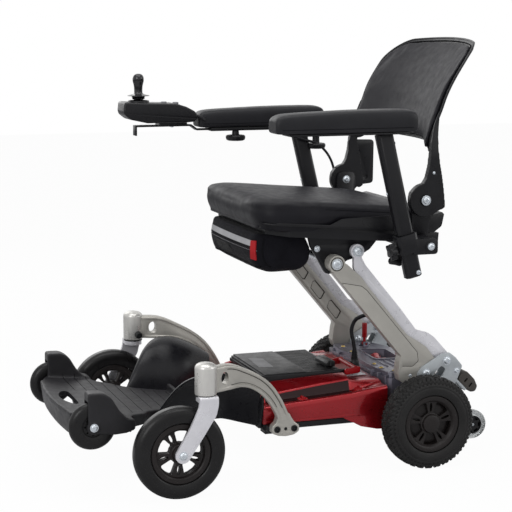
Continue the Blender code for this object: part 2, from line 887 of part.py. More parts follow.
def make_battery(looks):
    low = PAN_TOP + GAP
    pack = box(
        "pack",
        (-BATTERY_HALF_WIDTH, BATTERY_FRONT, low),
        (BATTERY_HALF_WIDTH, BATTERY_REAR, BATTERY_TOP),
    )
    pack = soften(pack, 0.004)
    ridge = box(
        "ridge",
        (-BATTERY_HALF_WIDTH + 0.004, BATTERY_FRONT - 0.008, 0.186),
        (BATTERY_HALF_WIDTH - 0.004, BATTERY_FRONT + 0.005, BATTERY_TOP - 0.003),
    )
    ears = []
    bores = []
    for side in (-1, 1):
        x = BAIL_X + side * (BAIL_HALF_SPAN - 0.0075)
        ears.append(
            box(
                "ear",
                (x - 0.004, BATTERY_REAR - 0.006, 0.1880),
                (x + 0.004, BAIL_Y + 0.006, BATTERY_TOP - 0.001),
            )
        )
        bores.append(
            bore("ear_bore", (x - 0.01, BAIL_Y, BAIL_Z), (x + 0.01, BAIL_Y, BAIL_Z), 0.0025 + PIN_CLEARANCE)
        )
    grooves = []
    for index in range(5):
        y = 0.076 + index * 0.0155
        grooves.append(
            box("groove", (-0.104, y, BATTERY_TOP - 0.0015), (0.104, y + 0.003, BATTERY_TOP + 0.01))
        )
    pack = cut(join(pack, ridge, *ears), *bores, *grooves)
    finish(pack, "battery_pack", looks["black_plastic"], (0, BATTERY_FRONT, low))
    latch = box(
        "latch",
        (0.020, 0.1215, BATTERY_TOP + GAP),
        (0.087, 0.1435, BATTERY_TOP + 0.014),
    )
    latch = soften(latch, 0.003)
    finger = rod(
        "finger_hollow",
        (0.01, 0.1215, BATTERY_TOP + 0.016),
        (0.10, 0.1215, BATTERY_TOP + 0.016),
        0.007,
    )
    latch = cut(latch, finger)
    finish(latch, "battery_latch", looks["black_plastic"], (0.0535, 0.1435, BATTERY_TOP + GAP))
    arms = []
    bar_y = BAIL_Y + 0.022
    bar = rod(
        "bail_bar",
        (BAIL_X - BAIL_HALF_SPAN, bar_y, BAIL_Z + 0.006),
        (BAIL_X + BAIL_HALF_SPAN, bar_y, BAIL_Z + 0.006),
        0.0055,
    )
    for side in (-1, 1):
        x = BAIL_X + side * BAIL_HALF_SPAN
        outline = rounded(
            [
                (BAIL_Y - 0.006, BAIL_Z - 0.006),
                (bar_y + 0.008, BAIL_Z - 0.002),
                (bar_y + 0.008, BAIL_Z + 0.013),
                (BAIL_Y - 0.006, BAIL_Z + 0.007),
            ],
            0.005,
        )
        inner = x - side * 0.0030
        arms.append(plate("bail_arm", outline, min(inner, x + side * 0.005), max(inner, x + side * 0.005)))
        arms.append(rod("bail_pin", (x, BAIL_Y, BAIL_Z), (x - side * 0.0105, BAIL_Y, BAIL_Z), 0.0025))
    bail = join(bar, *arms)
    finish(bail, "battery_release_handle", looks["red_plastic"], (BAIL_X, BAIL_Y, BAIL_Z))
    joint_frame("battery_slide_axis", (0, 0, low), (pack,))
    joint_frame("latch_axis", latch.location, (latch,))
    joint_frame("release_axis", bail.location, (bail,))


LEVERS = (
    # stem, x, foot y, tip y, tip z
    ("left", 0.128, 0.284, 0.274, 0.240),
    ("right", -0.122, 0.303, 0.303, 0.249),
)
LEVER_PIVOT_Z = 0.200


def make_gearbox(looks):
    """The grey casting across the chair: it carries the drive unit and the lift linkage."""
    low = DRIVE_RADIUS + MOTOR_RADIUS + GAP
    half = CASTING_HALF_WIDTH
    front = COVER_REAR + RUNNING_GAP
    corners = [
        (-half, front + 0.008),
        (-0.120, front),
        (-0.040, front + 0.006),
        (0.060, front + 0.002),
        (0.110, front + 0.004),
        (half, front + 0.012),
        (half, 0.330),
        (0.120, 0.342),
        (0.085, CASTING_REAR),
        (-0.085, CASTING_REAR),
        (-0.130, 0.345),
        (-half, 0.330),
    ]
    casting = plate("casting", rounded(corners, 0.006), low, CASTING_TOP - 0.010, "Z")
    lid = plate(
        "lid",
        rounded([(x * 0.93, 0.292 + (y - 0.292) * 0.92) for x, y in corners], 0.006),
        low + 0.01,
        CASTING_TOP,
        "Z",
    )
    foot = box("foot", (-0.150, front, PAN_TOP + GAP), (0.150, PAN_REAR, low + 0.01))
    casting = join(casting, lid, foot)
    window = plate(
        "casting_window",
        rounded([(-0.075, 0.272), (0.028, 0.268), (0.034, 0.322), (-0.060, 0.328)], 0.012),
        CASTING_TOP - 0.018,
        CASTING_TOP + 0.02,
        "Z",
    )
    slots = []
    bosses = []
    for stem, x, foot_y, tip_y, tip_z in LEVERS:
        slots.append(
            box(
                "lever_slot",
                (x - 0.0055, foot_y - 0.014, LEVER_PIVOT_Z - 0.024),
                (x + 0.0055, foot_y + 0.014, 0.22),
            )
        )
        for side in (-1, 1):
            at = x + side * 0.0085
            bosses.append(
                box(
                    "lever_ear",
                    (at - 0.003, foot_y - 0.006, CASTING_TOP - 0.01),
                    (at + 0.003, foot_y + 0.006, LEVER_PIVOT_Z + 0.005),
                )
            )
        slots.append(
            bore(
                "lever_bore",
                (x - 0.016, foot_y, LEVER_PIVOT_Z),
                (x + 0.016, foot_y, LEVER_PIVOT_Z),
                0.002 + PIN_CLEARANCE,
            )
        )
    for x, y in ((-0.060, 0.245), (0.075, 0.243), (0.150, 0.258), (0.150, 0.316)):
        bosses.append(rod("screw_boss", (x, y, CASTING_TOP - 0.02), (x, y, CASTING_TOP + 0.002), 0.0065))
    casting = cut(join(casting, *bosses), window, *slots)
    return finish(casting, "fold_gearbox", looks["grey_casting"], (0, AXLE_Y, low))


def make_levers(looks):
    for stem, x, foot_y, tip_y, tip_z in LEVERS:
        shank = rod("shank", (x, foot_y, LEVER_PIVOT_Z), (x, tip_y, tip_z), 0.0035)
        hub = rod("hub", (x - 0.0045, foot_y, LEVER_PIVOT_Z), (x + 0.0045, foot_y, LEVER_PIVOT_Z), 0.0055)
        pin = rod("pin", (x - 0.0125, foot_y, LEVER_PIVOT_Z), (x + 0.0125, foot_y, LEVER_PIVOT_Z), 0.002)
        foot = Vector((x, foot_y, LEVER_PIVOT_Z))
        tip = Vector((x, tip_y, tip_z))
        grip = rod("grip", foot.lerp(tip, 0.30), tip, 0.0062)
        lever = join(grip, shank, hub, pin)
        finish(lever, f"neutral_lever_{stem}", looks["red_plastic"], foot)
        joint_frame(f"neutral_axis_{stem}", foot, (lever,))


BRACKET_CORNERS = (
    (0.288, 0.200),
    (0.297, 0.2135),
    (0.344, 0.240),
    (0.364, 0.242),
    (0.379, 0.230),
    (0.396, 0.210),
    (0.386, 0.186),
    (0.374, 0.160),
    (0.300, 0.158),
    (0.289, 0.176),
)
BAR_START = Vector((0.372, 0.188))
BAR_END = Vector((0.406, 0.1545))
BAR_HALF = 0.003


def bar_point(along, above):
    direction = (BAR_END - BAR_START).normalized()
    normal = Vector((-direction.y, direction.x))
    return tuple(BAR_START + direction * along + normal * above)


def make_brackets(looks):
    """A clevis of two plates on each side: its pins carry the lift arm and the rear link."""
    inner = CASTING_HALF_WIDTH + GAP
    outer = ARM_OUTER_X + PIN_CLEARANCE
    teardrop = rounded([(0.322, 0.192), (0.345, 0.214), (0.356, 0.206), (0.347, 0.188)], 0.006)
    outline = rounded(BRACKET_CORNERS, 0.006)
    parts = []
    for name, low in (("inner_plate", inner), ("outer_plate", outer)):
        parts.append(plate(name, outline, low, low + CLEVIS_PLATE, holes=(teardrop,)))
    far = outer + CLEVIS_PLATE
    for pivot, radius, head in ((PIVOT_A, 0.006, 0.0095), (PIVOT_B, LINK_PIN_RADIUS, 0.0095)):
        parts.append(rod("pin", (inner + 0.001, *pivot), (far, *pivot), radius))
        parts.append(rod("head", (far - 0.001, *pivot), (far + 0.0028, *pivot), head, head * 0.8))
    strip_corners = ((0.0, -BAR_HALF), (0.047, -BAR_HALF), (0.047, BAR_HALF), (0.0, BAR_HALF))
    strip = [bar_point(a, b) for a, b in strip_corners]
    parts.append(plate("bar", strip, inner + 0.001, far - 0.0005))
    spacer = (0.382, 0.200)
    parts.append(rod("spacer", (inner + 0.001, *spacer), (outer + 0.001, *spacer), 0.006))
    bracket = join(*parts)
    finish(bracket, "lower_bracket", looks["zinc"], (inner, *PIVOT_A))
    both_sides(bracket, "lower_bracket")
    seat = BAR_HALF + GAP
    bumper_corners = (
        (0.0145, seat),
        (0.0150, 0.031),
        (0.046, 0.0305),
        (0.0625, 0.024),
        (0.067, 0.0125),
        (0.058, seat),
    )
    corners = [bar_point(a, b) for a, b in bumper_corners]
    slot_corners = ((-0.002, 0.010), (0.002, 0.010), (0.002, 0.021), (-0.002, 0.021))
    slots = [[bar_point(a + b, c) for b, c in slot_corners] for a in (0.032, 0.048)]
    bumper = plate("bumper", rounded(corners, 0.006), inner + 0.002, far, holes=slots)
    finish(bumper, "rear_bumper", looks["grey_rubber"], (inner, *BAR_START))
    both_sides(bumper, "rear_bumper")


def make_anti_tip(looks):
    """A frame behind the casting with two arms, and a small clear wheel on each."""
    low = DRIVE_RADIUS + MOTOR_RADIUS + GAP
    mount_y = CASTING_REAR + GAP
    bar = box("mount", (-0.110, mount_y, low + 0.004), (0.110, mount_y + 0.008, CASTING_TOP - 0.018))
    parts = []
    for side in (-1, 1):
        inner = ANTI_TIP_X - ANTI_TIP_WIDTH / 2 - RUNNING_GAP
        low_x, high_x = sorted((side * (inner - 0.005), side * inner))
        outline = rounded(
            [
                (mount_y, CASTING_TOP - 0.020),
                (mount_y, low + 0.004),
                (ANTI_TIP_Y - 0.012, ANTI_TIP_Z - 0.004),
                (ANTI_TIP_Y + 0.008, ANTI_TIP_Z - 0.008),
                (ANTI_TIP_Y + 0.012, ANTI_TIP_Z + 0.006),
                (mount_y + 0.030, low + 0.030),
            ],
            0.006,
        )
        parts.append(plate("arm", outline, low_x, high_x))
        low_x, high_x = sorted((side * 0.100, side * (inner - 0.0010)))
        parts.append(
            box("gusset", (low_x, mount_y, low + 0.008), (high_x, mount_y + 0.006, CASTING_TOP - 0.022))
        )
        end = side * (ANTI_TIP_X + ANTI_TIP_WIDTH / 2 - 0.002)
        parts.append(
            rod(
                "pin",
                (side * (inner - 0.003), ANTI_TIP_Y, ANTI_TIP_Z),
                (end, ANTI_TIP_Y, ANTI_TIP_Z),
                SMALL_PIN_RADIUS,
            )
        )
    frame = join(bar, *parts)
    finish(frame, "anti_tip_frame", looks["zinc"], (0, mount_y, low))
    half = ANTI_TIP_WIDTH / 2
    bore_radius = SMALL_PIN_RADIUS + PIN_CLEARANCE
    profile = [
        (0.0, half),
        (ANTI_TIP_RADIUS * 0.45, half),
        (ANTI_TIP_RADIUS * 0.55, half - 0.003),
        (ANTI_TIP_RADIUS * 0.90, half - 0.001),
        (ANTI_TIP_RADIUS, half * 0.5),
        (ANTI_TIP_RADIUS, -half * 0.5),
        (ANTI_TIP_RADIUS * 0.90, 0.001 - half),
        (bore_radius, 0.001 - half),
        (bore_radius, half - 0.002 + GAP),
        (0.0, half - 0.002 + GAP),
    ]
    place = (ANTI_TIP_X, ANTI_TIP_Y, ANTI_TIP_Z)
    wheel = turned("anti_tip_wheel", profile, place, steps=12)
    finish(wheel, "anti_tip_wheel", looks["clear_wheel"], place)
    for piece, side in zip(both_sides(wheel, "anti_tip_wheel"), ("left", "right")):
        joint_frame(f"anti_tip_axis_{side}", piece.location, (piece,))


GUARD_STATIONS = (
    # top x, top y, top z, bottom x, bottom y, bottom z
    (0.125, -0.277, 0.136, 0.121, -0.277, 0.119),
    (0.145, -0.248, 0.184, 0.121, -0.256, 0.119),
    (0.170, -0.223, 0.214, 0.121, -0.230, 0.119),
    (0.195, -0.192, 0.229, 0.121, -0.200, 0.119),
    (0.200, -0.155, 0.231, 0.121, -0.165, 0.119),
    (0.200, -0.120, 0.220, 0.128, -0.130, 0.116),
    (0.199, -0.090, 0.204, 0.146, -0.098, 0.110),
    (0.195, -0.064, 0.186, 0.168, -0.064, 0.104),
)


def make_leg_guards(looks):
    """A dished shell inside each caster, open to its wheel."""
    shape = bmesh.new()
    rows = []
    steps = 4
    for top_x, top_y, top_z, low_x, low_y, low_z in GUARD_STATIONS:
        row = []
        for step in range(steps + 1):
            turn = step / steps * math.pi / 2
            row.append(
                shape.verts.new(
                    (
                        low_x + (top_x - low_x) * (1 - math.cos(turn)),
                        low_y + (top_y - low_y) * math.sin(turn),
                        low_z + (top_z - low_z) * math.sin(turn),
                    )
                )
            )
        rows.append(row)
    for near, far in zip(rows, rows[1:]):
        for index in range(steps):
            shape.faces.new((near[index], near[index + 1], far[index + 1], far[index]))
    skin = from_bmesh("skin", shape)
    wall = skin.modifiers.new("wall", "SOLIDIFY")
    wall.thickness = 0.003
    wall.offset = 0.0
    guard = settle(skin)
    front = GUARD_STATIONS[-1][1]
    flange = plate(
        "flange",
        rounded(
            [
                (0.150, 0.101),
                (0.178, 0.101),
                (0.197, 0.150),
                (0.1965, 0.183),
                (0.188, 0.172),
                (0.150, 0.130),
            ],
            0.004,
        ),
        front - 0.003,
        PAN_FRONT - GAP - 0.002,
        "Y",
    )
    guard = join(guard, flange)
    finish(guard, "leg_guard", looks["black_plastic"], (0.17, front, 0.11))
    both_sides(guard, "leg_guard")


DECK_SLOPE = math.atan2(0.030, 0.275)
DECK_THICKNESS = 0.010
FENDER_INNER_X = 0.1815
FENDER_OUTER_X = 0.2155


def deck_top(y):
    return 0.163 - (y + 0.465) * math.tan(DECK_SLOPE)


APRON_WALL = 0.005
APRON_LOW = 0.121
APRON_LINE = (
    # x, y of the deck's side behind a fender
    (0.1965, -0.3515),
    (0.1600, -0.3400),
    (0.1430, -0.3110),
    (0.1200, -0.2950),
    (0.1030, -0.2630),
    (0.0960, -0.2350),
)


def make_apron(side):
    """The wall that hangs from the deck's edge behind one fender."""
    outer = [(x - 0.0005, y) for x, y in APRON_LINE]
    inner = [(x - APRON_WALL * 0.8, y - APRON_WALL * 0.7) for x, y in reversed(APRON_LINE)]
    outline = [(side * x, y) for x, y in outer + inner]
    apron = plate("apron", outline, APRON_LOW, 0.2, "Z")
    for vertex in apron.data.vertices:
        if vertex.co.z > 0.15:
            vertex.co.z = deck_top(vertex.co.y) - DECK_THICKNESS * 0.4
    return apron


def make_footplate(looks):
    """The folding footplate: a sloping deck, a fender over each front wheel and a hinge at its rear."""
    outline = [
        (0.0, -0.482, 0),
        (0.080, -0.478, 0),
        (0.150, -0.466, 0.02),
        (0.186, -0.452, 0.01),
        (0.197, -0.430, 0.01),
        (0.197, -0.352, 0.01),
        (0.160, -0.340, 0.02),
        (0.143, -0.311, 0.02),
        (0.120, -0.295, 0.02),
        (0.103, -0.263, 0.02),
        (0.095, -0.231, 0.02),
        (0.085, -0.185, 0.01),
    ]
    whole = outline + [(-point[0], *point[1:]) for point in reversed(outline[1:])]
    slab = plate("slab", rounded(whole, 0.01), -DECK_THICKNESS, 0.0, "Z")
    for vertex in slab.data.vertices:
        vertex.co.z += deck_top(vertex.co.y)
    parts = []
    for side in (-1, 1):
        fender = rounded(
            [
                (-0.4455, 0.146, 0),
                (-0.4455, 0.214, 0.004),
                (-0.415, 0.2135, 0.02),
                (-0.393, 0.199, 0.02),
                (-0.370, 0.171, 0.02),
                (-0.346, 0.153, 0.004),
                (-0.346, 0.133, 0.004),
                (-0.364, 0.127, 0.01),
                (-0.389, 0.125, 0.01),
                (-0.424, 0.129, 0),
            ],
            0.01,
        )
        low, high = sorted((side * FENDER_INNER_X, side * FENDER_OUTER_X))
        parts.append(plate("fender", fender, low, high))
        parts.append(make_apron(side))
    front_skirt = plate(
        "front_skirt",
        rounded(
            [(-0.4785, 0.162), (-0.470, 0.118), (-0.462, 0.106), (-0.452, 0.110), (-0.462, 0.155)],
            0.004,
        ),
        -0.146,
        0.146,
    )
    for vertex in front_skirt.data.vertices:
        vertex.co.y += 0.010 * (abs(vertex.co.x) / 0.146) ** 2
    parts.append(front_skirt)
    rim_low = deck_top(-0.196) - 0.004
    parts.append(box("rear_rim", (-0.083, -0.196, rim_low), (0.083, -0.187, rim_low + 0.020)))
    lugs = []
    for side in (-1, 1):
        inner = FOOT_HINGE_X + 0.006 + PIN_CLEARANCE
        x = side * inner
        far = side * (inner + 0.010)
        low, high = sorted((x, far))
        reach = rounded(
            [
                (-0.206, 0.1280, 0),
                (FOOT_HINGE_Y - 0.006, FOOT_HINGE_Z - HINGE_EYE_RADIUS),
                (FOOT_HINGE_Y + HINGE_EYE_RADIUS, FOOT_HINGE_Z - 0.008),
                (FOOT_HINGE_Y + HINGE_EYE_RADIUS - 0.002, FOOT_HINGE_Z + HINGE_EYE_RADIUS),
                (-0.206, 0.1315, 0),
            ],
            0.005,
        )
        lugs.append(plate("lug", reach, low, high))
        pin_end = side * (FOOT_HINGE_X - 0.0055)
        lugs.append(
            rod(
                "hinge_pin",
                (far - side * 0.002, FOOT_HINGE_Y, FOOT_HINGE_Z),
                (pin_end, FOOT_HINGE_Y, FOOT_HINGE_Z),
                SMALL_PIN_RADIUS,
            )
        )
    footplate = join(slab, *parts, *lugs)
    half = FRONT_WHEEL_WIDTH / 2 + RUNNING_GAP
    space = [
        (-0.50, 0.08),
        (-0.50, 0.1965),
        (-0.415, 0.1965),
        (-0.392, 0.184),
        (-0.3805, 0.165),
        (-0.3805, 0.08),
    ]
    wheel_spaces = [
        plate("wheel_space", space, side * FRONT_WHEEL_X - half, side * FRONT_WHEEL_X + half)
        for side in (-1, 1)
    ]
    lens = []
    for index in range(12):
        turn = 2 * math.pi * index / 12
        lens.append((0.012 + 0.058 * math.cos(turn), -0.442 + 0.015 * math.sin(turn)))
    hand_slot = plate("hand_slot", lens, 0.10, 0.20, "Z")
    footplate = cut(footplate, *wheel_spaces, hand_slot)
    pins = []
    for side in (-1, 1):
        pins.append(
            rod(
                "wheel_pin",
                (side * (FENDER_OUTER_X + 0.0025), FRONT_WHEEL_Y, FRONT_WHEEL_Z),
                (side * (FENDER_INNER_X + 0.001), FRONT_WHEEL_Y, FRONT_WHEEL_Z),
                SMALL_PIN_RADIUS,
            )
        )
        low, high = sorted((side * (FRONT_WHEEL_X + half), side * (FENDER_OUTER_X + 0.0008)))
        pins.append(
            rod(
                "wheel_boss",
                (low, FRONT_WHEEL_Y, FRONT_WHEEL_Z),
                (high, FRONT_WHEEL_Y, FRONT_WHEEL_Z),
                0.014,
            )
        )
    footplate = join(footplate, *pins)
    finish(footplate, "footplate", looks["black_plastic"], (0, FOOT_HINGE_Y, FOOT_HINGE_Z))
    frame = joint_frame("footplate_axis", footplate.location, (footplate,))
    half = FRONT_WHEEL_WIDTH / 2
    bore_radius = SMALL_PIN_RADIUS + PIN_CLEARANCE
    edge = FRONT_WHEEL_RADIUS
    profile = [
        (bore_radius, half),
        (0.013, half - 0.003),
        (0.028, half - 0.003),
        (edge - 0.004, half),
        (edge, half * 0.5),
    ]
    profile += [(r, -along) for r, along in reversed(profile)]
    place = (FRONT_WHEEL_X, FRONT_WHEEL_Y, FRONT_WHEEL_Z)
    wheel = turned("front_wheel", profile, place, steps=12, closed=True)
    finish(wheel, "front_wheel", looks["black_rubber"], place)
    for piece, side in zip(both_sides(wheel, "front_wheel"), ("left", "right")):
        axis = joint_frame(f"front_wheel_axis_{side}", piece.location, (piece,))
        axis.parent = frame
        axis.matrix_parent_inverse = Matrix.Translation(-Vector(frame.location))


def make_lift_arms(looks):
    """The wide arm: a U channel, open to its rear, with three pockets in its inner wall."""
    corners = [
        (0.070, -ARM_FRONT, 0.006),
        (0.062, -0.029, 0.008),
        (0.043, -0.049, 0.010),
        (0.027, -0.056, 0.010),
        (0.009, -0.046, 0.012),
        (-0.014, -0.022, 0.014),
        (-0.022, 0.002, 0.014),
        (-0.014, 0.026, 0.010),
        (0.006, 0.036, 0.006),
        (0.044, 0.0373, 0.010),
        (0.070, 0.030, 0.010),
        (0.094, ARM_REAR, 0.010),
        (0.240, ARM_REAR, 0),
        (0.266, 0.0235, 0),
        (LIFT_LENGTH - 0.016, 0.017, 0),
        (LIFT_LENGTH, 0.010, 0),
        (LIFT_LENGTH, -0.010, 0),
        (LIFT_LENGTH - 0.012, -ARM_FRONT, 0),
    ]
    arm = plate("arm", arm_outline(corners), ARM_INNER_X, ARM_OUTER_X)
    boss = rod("boss", (ARM_INNER_X - 0.0004, *PIVOT_U), (ARM_OUTER_X + 0.0004, *PIVOT_U), ARM_BOSS_RADIUS)
    arm = join(arm, boss)
    slot = [
        (-0.070, 0.013),
        (0.015, 0.013),
        (0.042, -0.005),
        (0.262, -0.005),
        (0.284, 0.013),
        (0.380, 0.013),
        (0.380, 0.060),
        (-0.070, 0.060),
    ]
    cutters = [plate("link_slot", [arm_point(*point) for point in slot], SLOT_INNER_X, SLOT_OUTER_X)]
    for place in (0.098, 0.163, 0.228):
        pocket = [
            (place - 0.024, -0.008),
            (place - 0.017, 0.011),
            (place + 0.022, 0.011),
            (place + 0.024, 0.004),
            (place + 0.015, -0.010),
            (place - 0.020, -0.011),
        ]
        cutters.append(plate("pocket", arm_outline(pocket, 0), ARM_INNER_X - 0.01, ARM_INNER_X + 0.003))
    panel = [
        (0.285, -0.0150),
        (0.252, 0.0125),
        (0.236, 0.0150),
        (0.045, 0.0150),
        (0.031, 0.0020),
        (0.032, -0.0130),
        (0.060, -0.0150),
    ]
    cutters.append(plate("outer_panel", arm_outline(panel, 0), ARM_OUTER_X - 0.0008, ARM_OUTER_X + 0.01))
    for pivot, radius in ((PIVOT_A, 0.006), (PIVOT_U, SHAFT_RADIUS)):
        cutters.append(
            bore(
                "arm_bore",
                (ARM_INNER_X - 0.01, *pivot),
                (ARM_OUTER_X + 0.01, *pivot),
                radius + PIN_CLEARANCE,
            )
        )
    arm = cut(arm, *cutters)
    finish(arm, "lift_arm", looks["champagne"], (ARM_INNER_X, *PIVOT_A))
    shaft = rod("shaft", (-ARM_OUTER_X - 0.001, *PIVOT_U), (ARM_OUTER_X + 0.001, *PIVOT_U), SHAFT_RADIUS)
    heads = []
    for side in (-1, 1):
        near = side * (ARM_OUTER_X + 0.0004 + GAP)
        heads.append(rod("head", (near, *PIVOT_U), (near + side * 0.0035, *PIVOT_U), 0.0125, 0.011))
    shaft = join(shaft, *heads)
    finish(shaft, "lift_cross_shaft", looks["bright_silver"], (0, *PIVOT_U))
    arms = both_sides(arm, "lift_arm")
    joint_frame("fold_axis", (0, *PIVOT_A), (*arms, shaft))


def make_rear_links(looks):
    outer_edge = [
        (-0.0134, 0.068),
        (0.0440, 0.0660),
        (0.0610, 0.0620),
        (0.0870, 0.0450),
        (0.1480, 0.0475),
        (0.2770, 0.0480),
    ]
    inner_edge = [(0.2720, 0.0190), (0.0970, 0.0190), (0.0740, 0.0215), (0.0460, 0.0375), (-0.0134, 0.0384)]
    upper = [
        (LIFT_LENGTH - 0.030, 0.0515),
        (LIFT_LENGTH - 0.013, 0.0675),
        (LIFT_LENGTH - 0.017, 0.039),
        (0.2910, 0.0240),
    ]
    corners = outer_edge + upper + inner_edge
    link = plate("link", arm_outline(corners, 0.010), LINK_INNER_X, LINK_OUTER_X)
    lugs = [
        rod("lug", (LINK_INNER_X - 0.0002, *pivot), (LINK_OUTER_X + 0.0002, *pivot), LINK_BOSS_RADIUS)
        for pivot in (PIVOT_B, PIVOT_V)
    ]
    link = join(link, *lugs)
    bores = [
        bore(
            "link_bore",
            (LINK_INNER_X - 0.01, *pivot),
            (LINK_OUTER_X + 0.01, *pivot),
            LINK_PIN_RADIUS + PIN_CLEARANCE,
        )
        for pivot in (PIVOT_B, PIVOT_V)
    ]
    link = cut(link, *bores)
    finish(link, "rear_link", looks["bright_silver"], (LINK_INNER_X, *PIVOT_B))
    joint_frame("link_axis", (0, *PIVOT_B), both_sides(link, "rear_link"))


def make_seat_frame(looks):
    """The slab under the seat, its pivot plates, and the tube and ears that carry arms and back."""
    slab = box(
        "slab",
        (-SEAT_FRAME_HALF_WIDTH, SEAT_FRAME_FRONT, -SEAT_FRAME_DEPTH),
        (SEAT_FRAME_HALF_WIDTH, SEAT_FRAME_REAR, 0.0),
        seat_turn(),
    )
    recess = box(
        "recess",
        (-POUCH_HALF_WIDTH + 0.008, SEAT_FRAME_FRONT + 0.017, -SEAT_FRAME_DEPTH - 0.01),
        (POUCH_HALF_WIDTH - 0.008, 0.170, -0.005),
        seat_turn(),
    )
    slab = cut(slab, recess)
    tube_half = RECEIVER_SIZE / 2
    receiver = box(
        "receiver",
        (0.0005 - EAR_OUTER_X, RECEIVER_Y - tube_half, RECEIVER_Z - tube_half),
        (EAR_OUTER_X - 0.0005, RECEIVER_Y + tube_half, RECEIVER_Z + tube_half),
    )
    parts = [receiver]
    inner = POUCH_HALF_WIDTH + 0.0005
    outer = inner + SEAT_PLATE_THICKNESS
    slab_low = -SEAT_FRAME_DEPTH + 0.006
    corners = [
        (*seat_point(-0.038, slab_low), 0),
        (0.048, 0.486, 0.012),
        (SEAT_PIVOT.x - 0.028, SEAT_PIVOT.y - 0.002, 0.010),
        (SEAT_PIVOT.x - 0.016, SEAT_PIVOT.y - 0.024, 0.012),
        (SEAT_PIVOT.x + 0.014, SEAT_PIVOT.y - 0.024, 0.012),
        (SEAT_PIVOT.x + 0.030, SEAT_PIVOT.y + 0.002, 0.012),
        (SEAT_LINK_PIVOT.x + 0.006, SEAT_LINK_PIVOT.y - 0.016, 0.010),
        (SEAT_LINK_PIVOT.x + 0.036, SEAT_LINK_PIVOT.y + 0.000, 0.014),
        (*seat_point(0.128, slab_low), 0),
    ]
    holes = [circle(*SEAT_PIVOT, (SHAFT_RADIUS + PIN_CLEARANCE) / math.cos(math.pi / 12), 12)]
    for side in (-1, 1):
        low, high = sorted((side * inner, side * outer))
        parts.append(plate("pivot_plate", rounded(corners, 0.01), low, high, holes=holes))
        parts.append(
            rod(
                "boss",
                (side * (outer - 0.001), *SEAT_LINK_PIVOT),
                (side * (LINK_INNER_X - GAP), *SEAT_LINK_PIVOT),
                0.0085,
            )
        )
        end = LINK_OUTER_X + GAP
        parts.append(
            rod(
                "pin",
                (side * (outer - 0.001), *SEAT_LINK_PIVOT),
                (side * (end + 0.001), *SEAT_LINK_PIVOT),
                LINK_PIN_RADIUS,
            )
        )
        head_ends = ((side * end, *SEAT_LINK_PIVOT), (side * (end + 0.0035), *SEAT_LINK_PIVOT))
        parts.append(rod("head", *head_ends, 0.0098, 0.0085))
        bolt = (0.062, 0.4815)
        parts.append(rod("bolt", (side * (outer - 0.001), *bolt), (side * (outer + 0.0025), *bolt), 0.0055))
        ear = rounded(
            [
                (RECEIVER_Y - tube_half - 0.001, RECEIVER_Z - tube_half - 0.001, 0),
                (RECEIVER_Y + tube_half + 0.001, RECEIVER_Z - tube_half - 0.001, 0),
                (BACK_PIVOT_Y + 0.024, BACK_PIVOT_Z - 0.010),
                (BACK_PIVOT_Y + 0.022, BACK_PIVOT_Z + 0.018),
                (BACK_PIVOT_Y - 0.022, BACK_PIVOT_Z + 0.018),
                (BACK_PIVOT_Y - 0.024, BACK_PIVOT_Z - 0.010),
            ],
            0.014,
        )
        low, high = sorted((side * EAR_INNER_X, side * EAR_OUTER_X))
        parts.append(plate("ear", ear, low, high))
        place = (BACK_PIVOT_Y, BACK_PIVOT_Z)
        parts.append(
            rod(
                "back_pin",
                (side * (EAR_OUTER_X - 0.001), *place),
                (side * (LEG_OUTER_X + GAP), *place),
                BACK_PIN_RADIUS,
            )
        )
        parts.append(
            rod(
                "back_head",
                (side * (LEG_OUTER_X + GAP), *place),
                (side * (LEG_OUTER_X + 0.003), *place),
                0.013,
                0.012,
            )
        )
    frame = join(slab, *parts)
    reach = BAR_SIZE / 2 + PIN_CLEARANCE
    cutters = []
    for side in (-1, 1):
        low, high = sorted((side * (EAR_OUTER_X - BAR_LENGTH - 0.004), side * (EAR_OUTER_X + 0.0358)))
        cutters.append(
            box(
                "receiver_bore",
                (low, RECEIVER_Y - reach, RECEIVER_Z - reach),
                (high, RECEIVER_Y + reach, RECEIVER_Z + reach),
            )
        )
    frame = cut(frame, *cutters)
    return finish(frame, "seat_frame", looks["black_paint"], (0, *SEAT_PIVOT))


def rounded_seat_prism(half_width, front, rear, corner):
    """A tall block with the seat's plan, to trim a piece to the cushion's rounded front."""
    outline = rounded(
        [
            (-half_width, front, corner),
            (half_width, front, corner),
            (half_width, rear, 0.012),
            (-half_width, rear, 0.012),
        ],
        corner,
    )
    prism = plate("seat_plan", outline, -0.1, 0.2, "Z")
    prism.data.transform(seat_turn())
    return prism


def make_seat_shell(looks):
    floor = GAP
    top = floor + SHELL_WALL
    profile = [
        (-0.140, floor, 0.002),
        (-0.153, 0.0065, 0.004),
        (0.000, 0.0068, 0.01),
        (0.026, 0.021, 0.01),
        (0.137, 0.033, 0.01),
        (0.225, 0.036, 0.004),
        (0.262, 0.047, 0.004),
        (0.258, 0.015, 0.01),
        (0.240, floor, 0.004),
    ]
    shell = plate("shell", seat_outline(profile), -SHELL_HALF_WIDTH, SHELL_HALF_WIDTH)
    plan = rounded_seat_prism(SHELL_HALF_WIDTH, -0.156, 0.30, CUSHION_CORNER)
    shell = combine(shell, (plan,), "INTERSECT")
    bpy.data.objects.remove(plan, do_unlink=True)
    space = rounded_seat_prism(
        SHELL_HALF_WIDTH - SHELL_WALL, CUSHION_FRONT - 0.02, CUSHION_REAR + GAP, CUSHION_CORNER
    )
    below = box("below", (-0.3, -0.3, -0.2), (0.3, 0.4, top), seat_turn())
    space = combine(space, (below,), "DIFFERENCE")
    bpy.data.objects.remove(below, do_unlink=True)
    shell = cut(shell, space)
    return finish(shell, "seat_shell", looks["black_plastic"], (0, *seat_point(0.05, 0.0)))


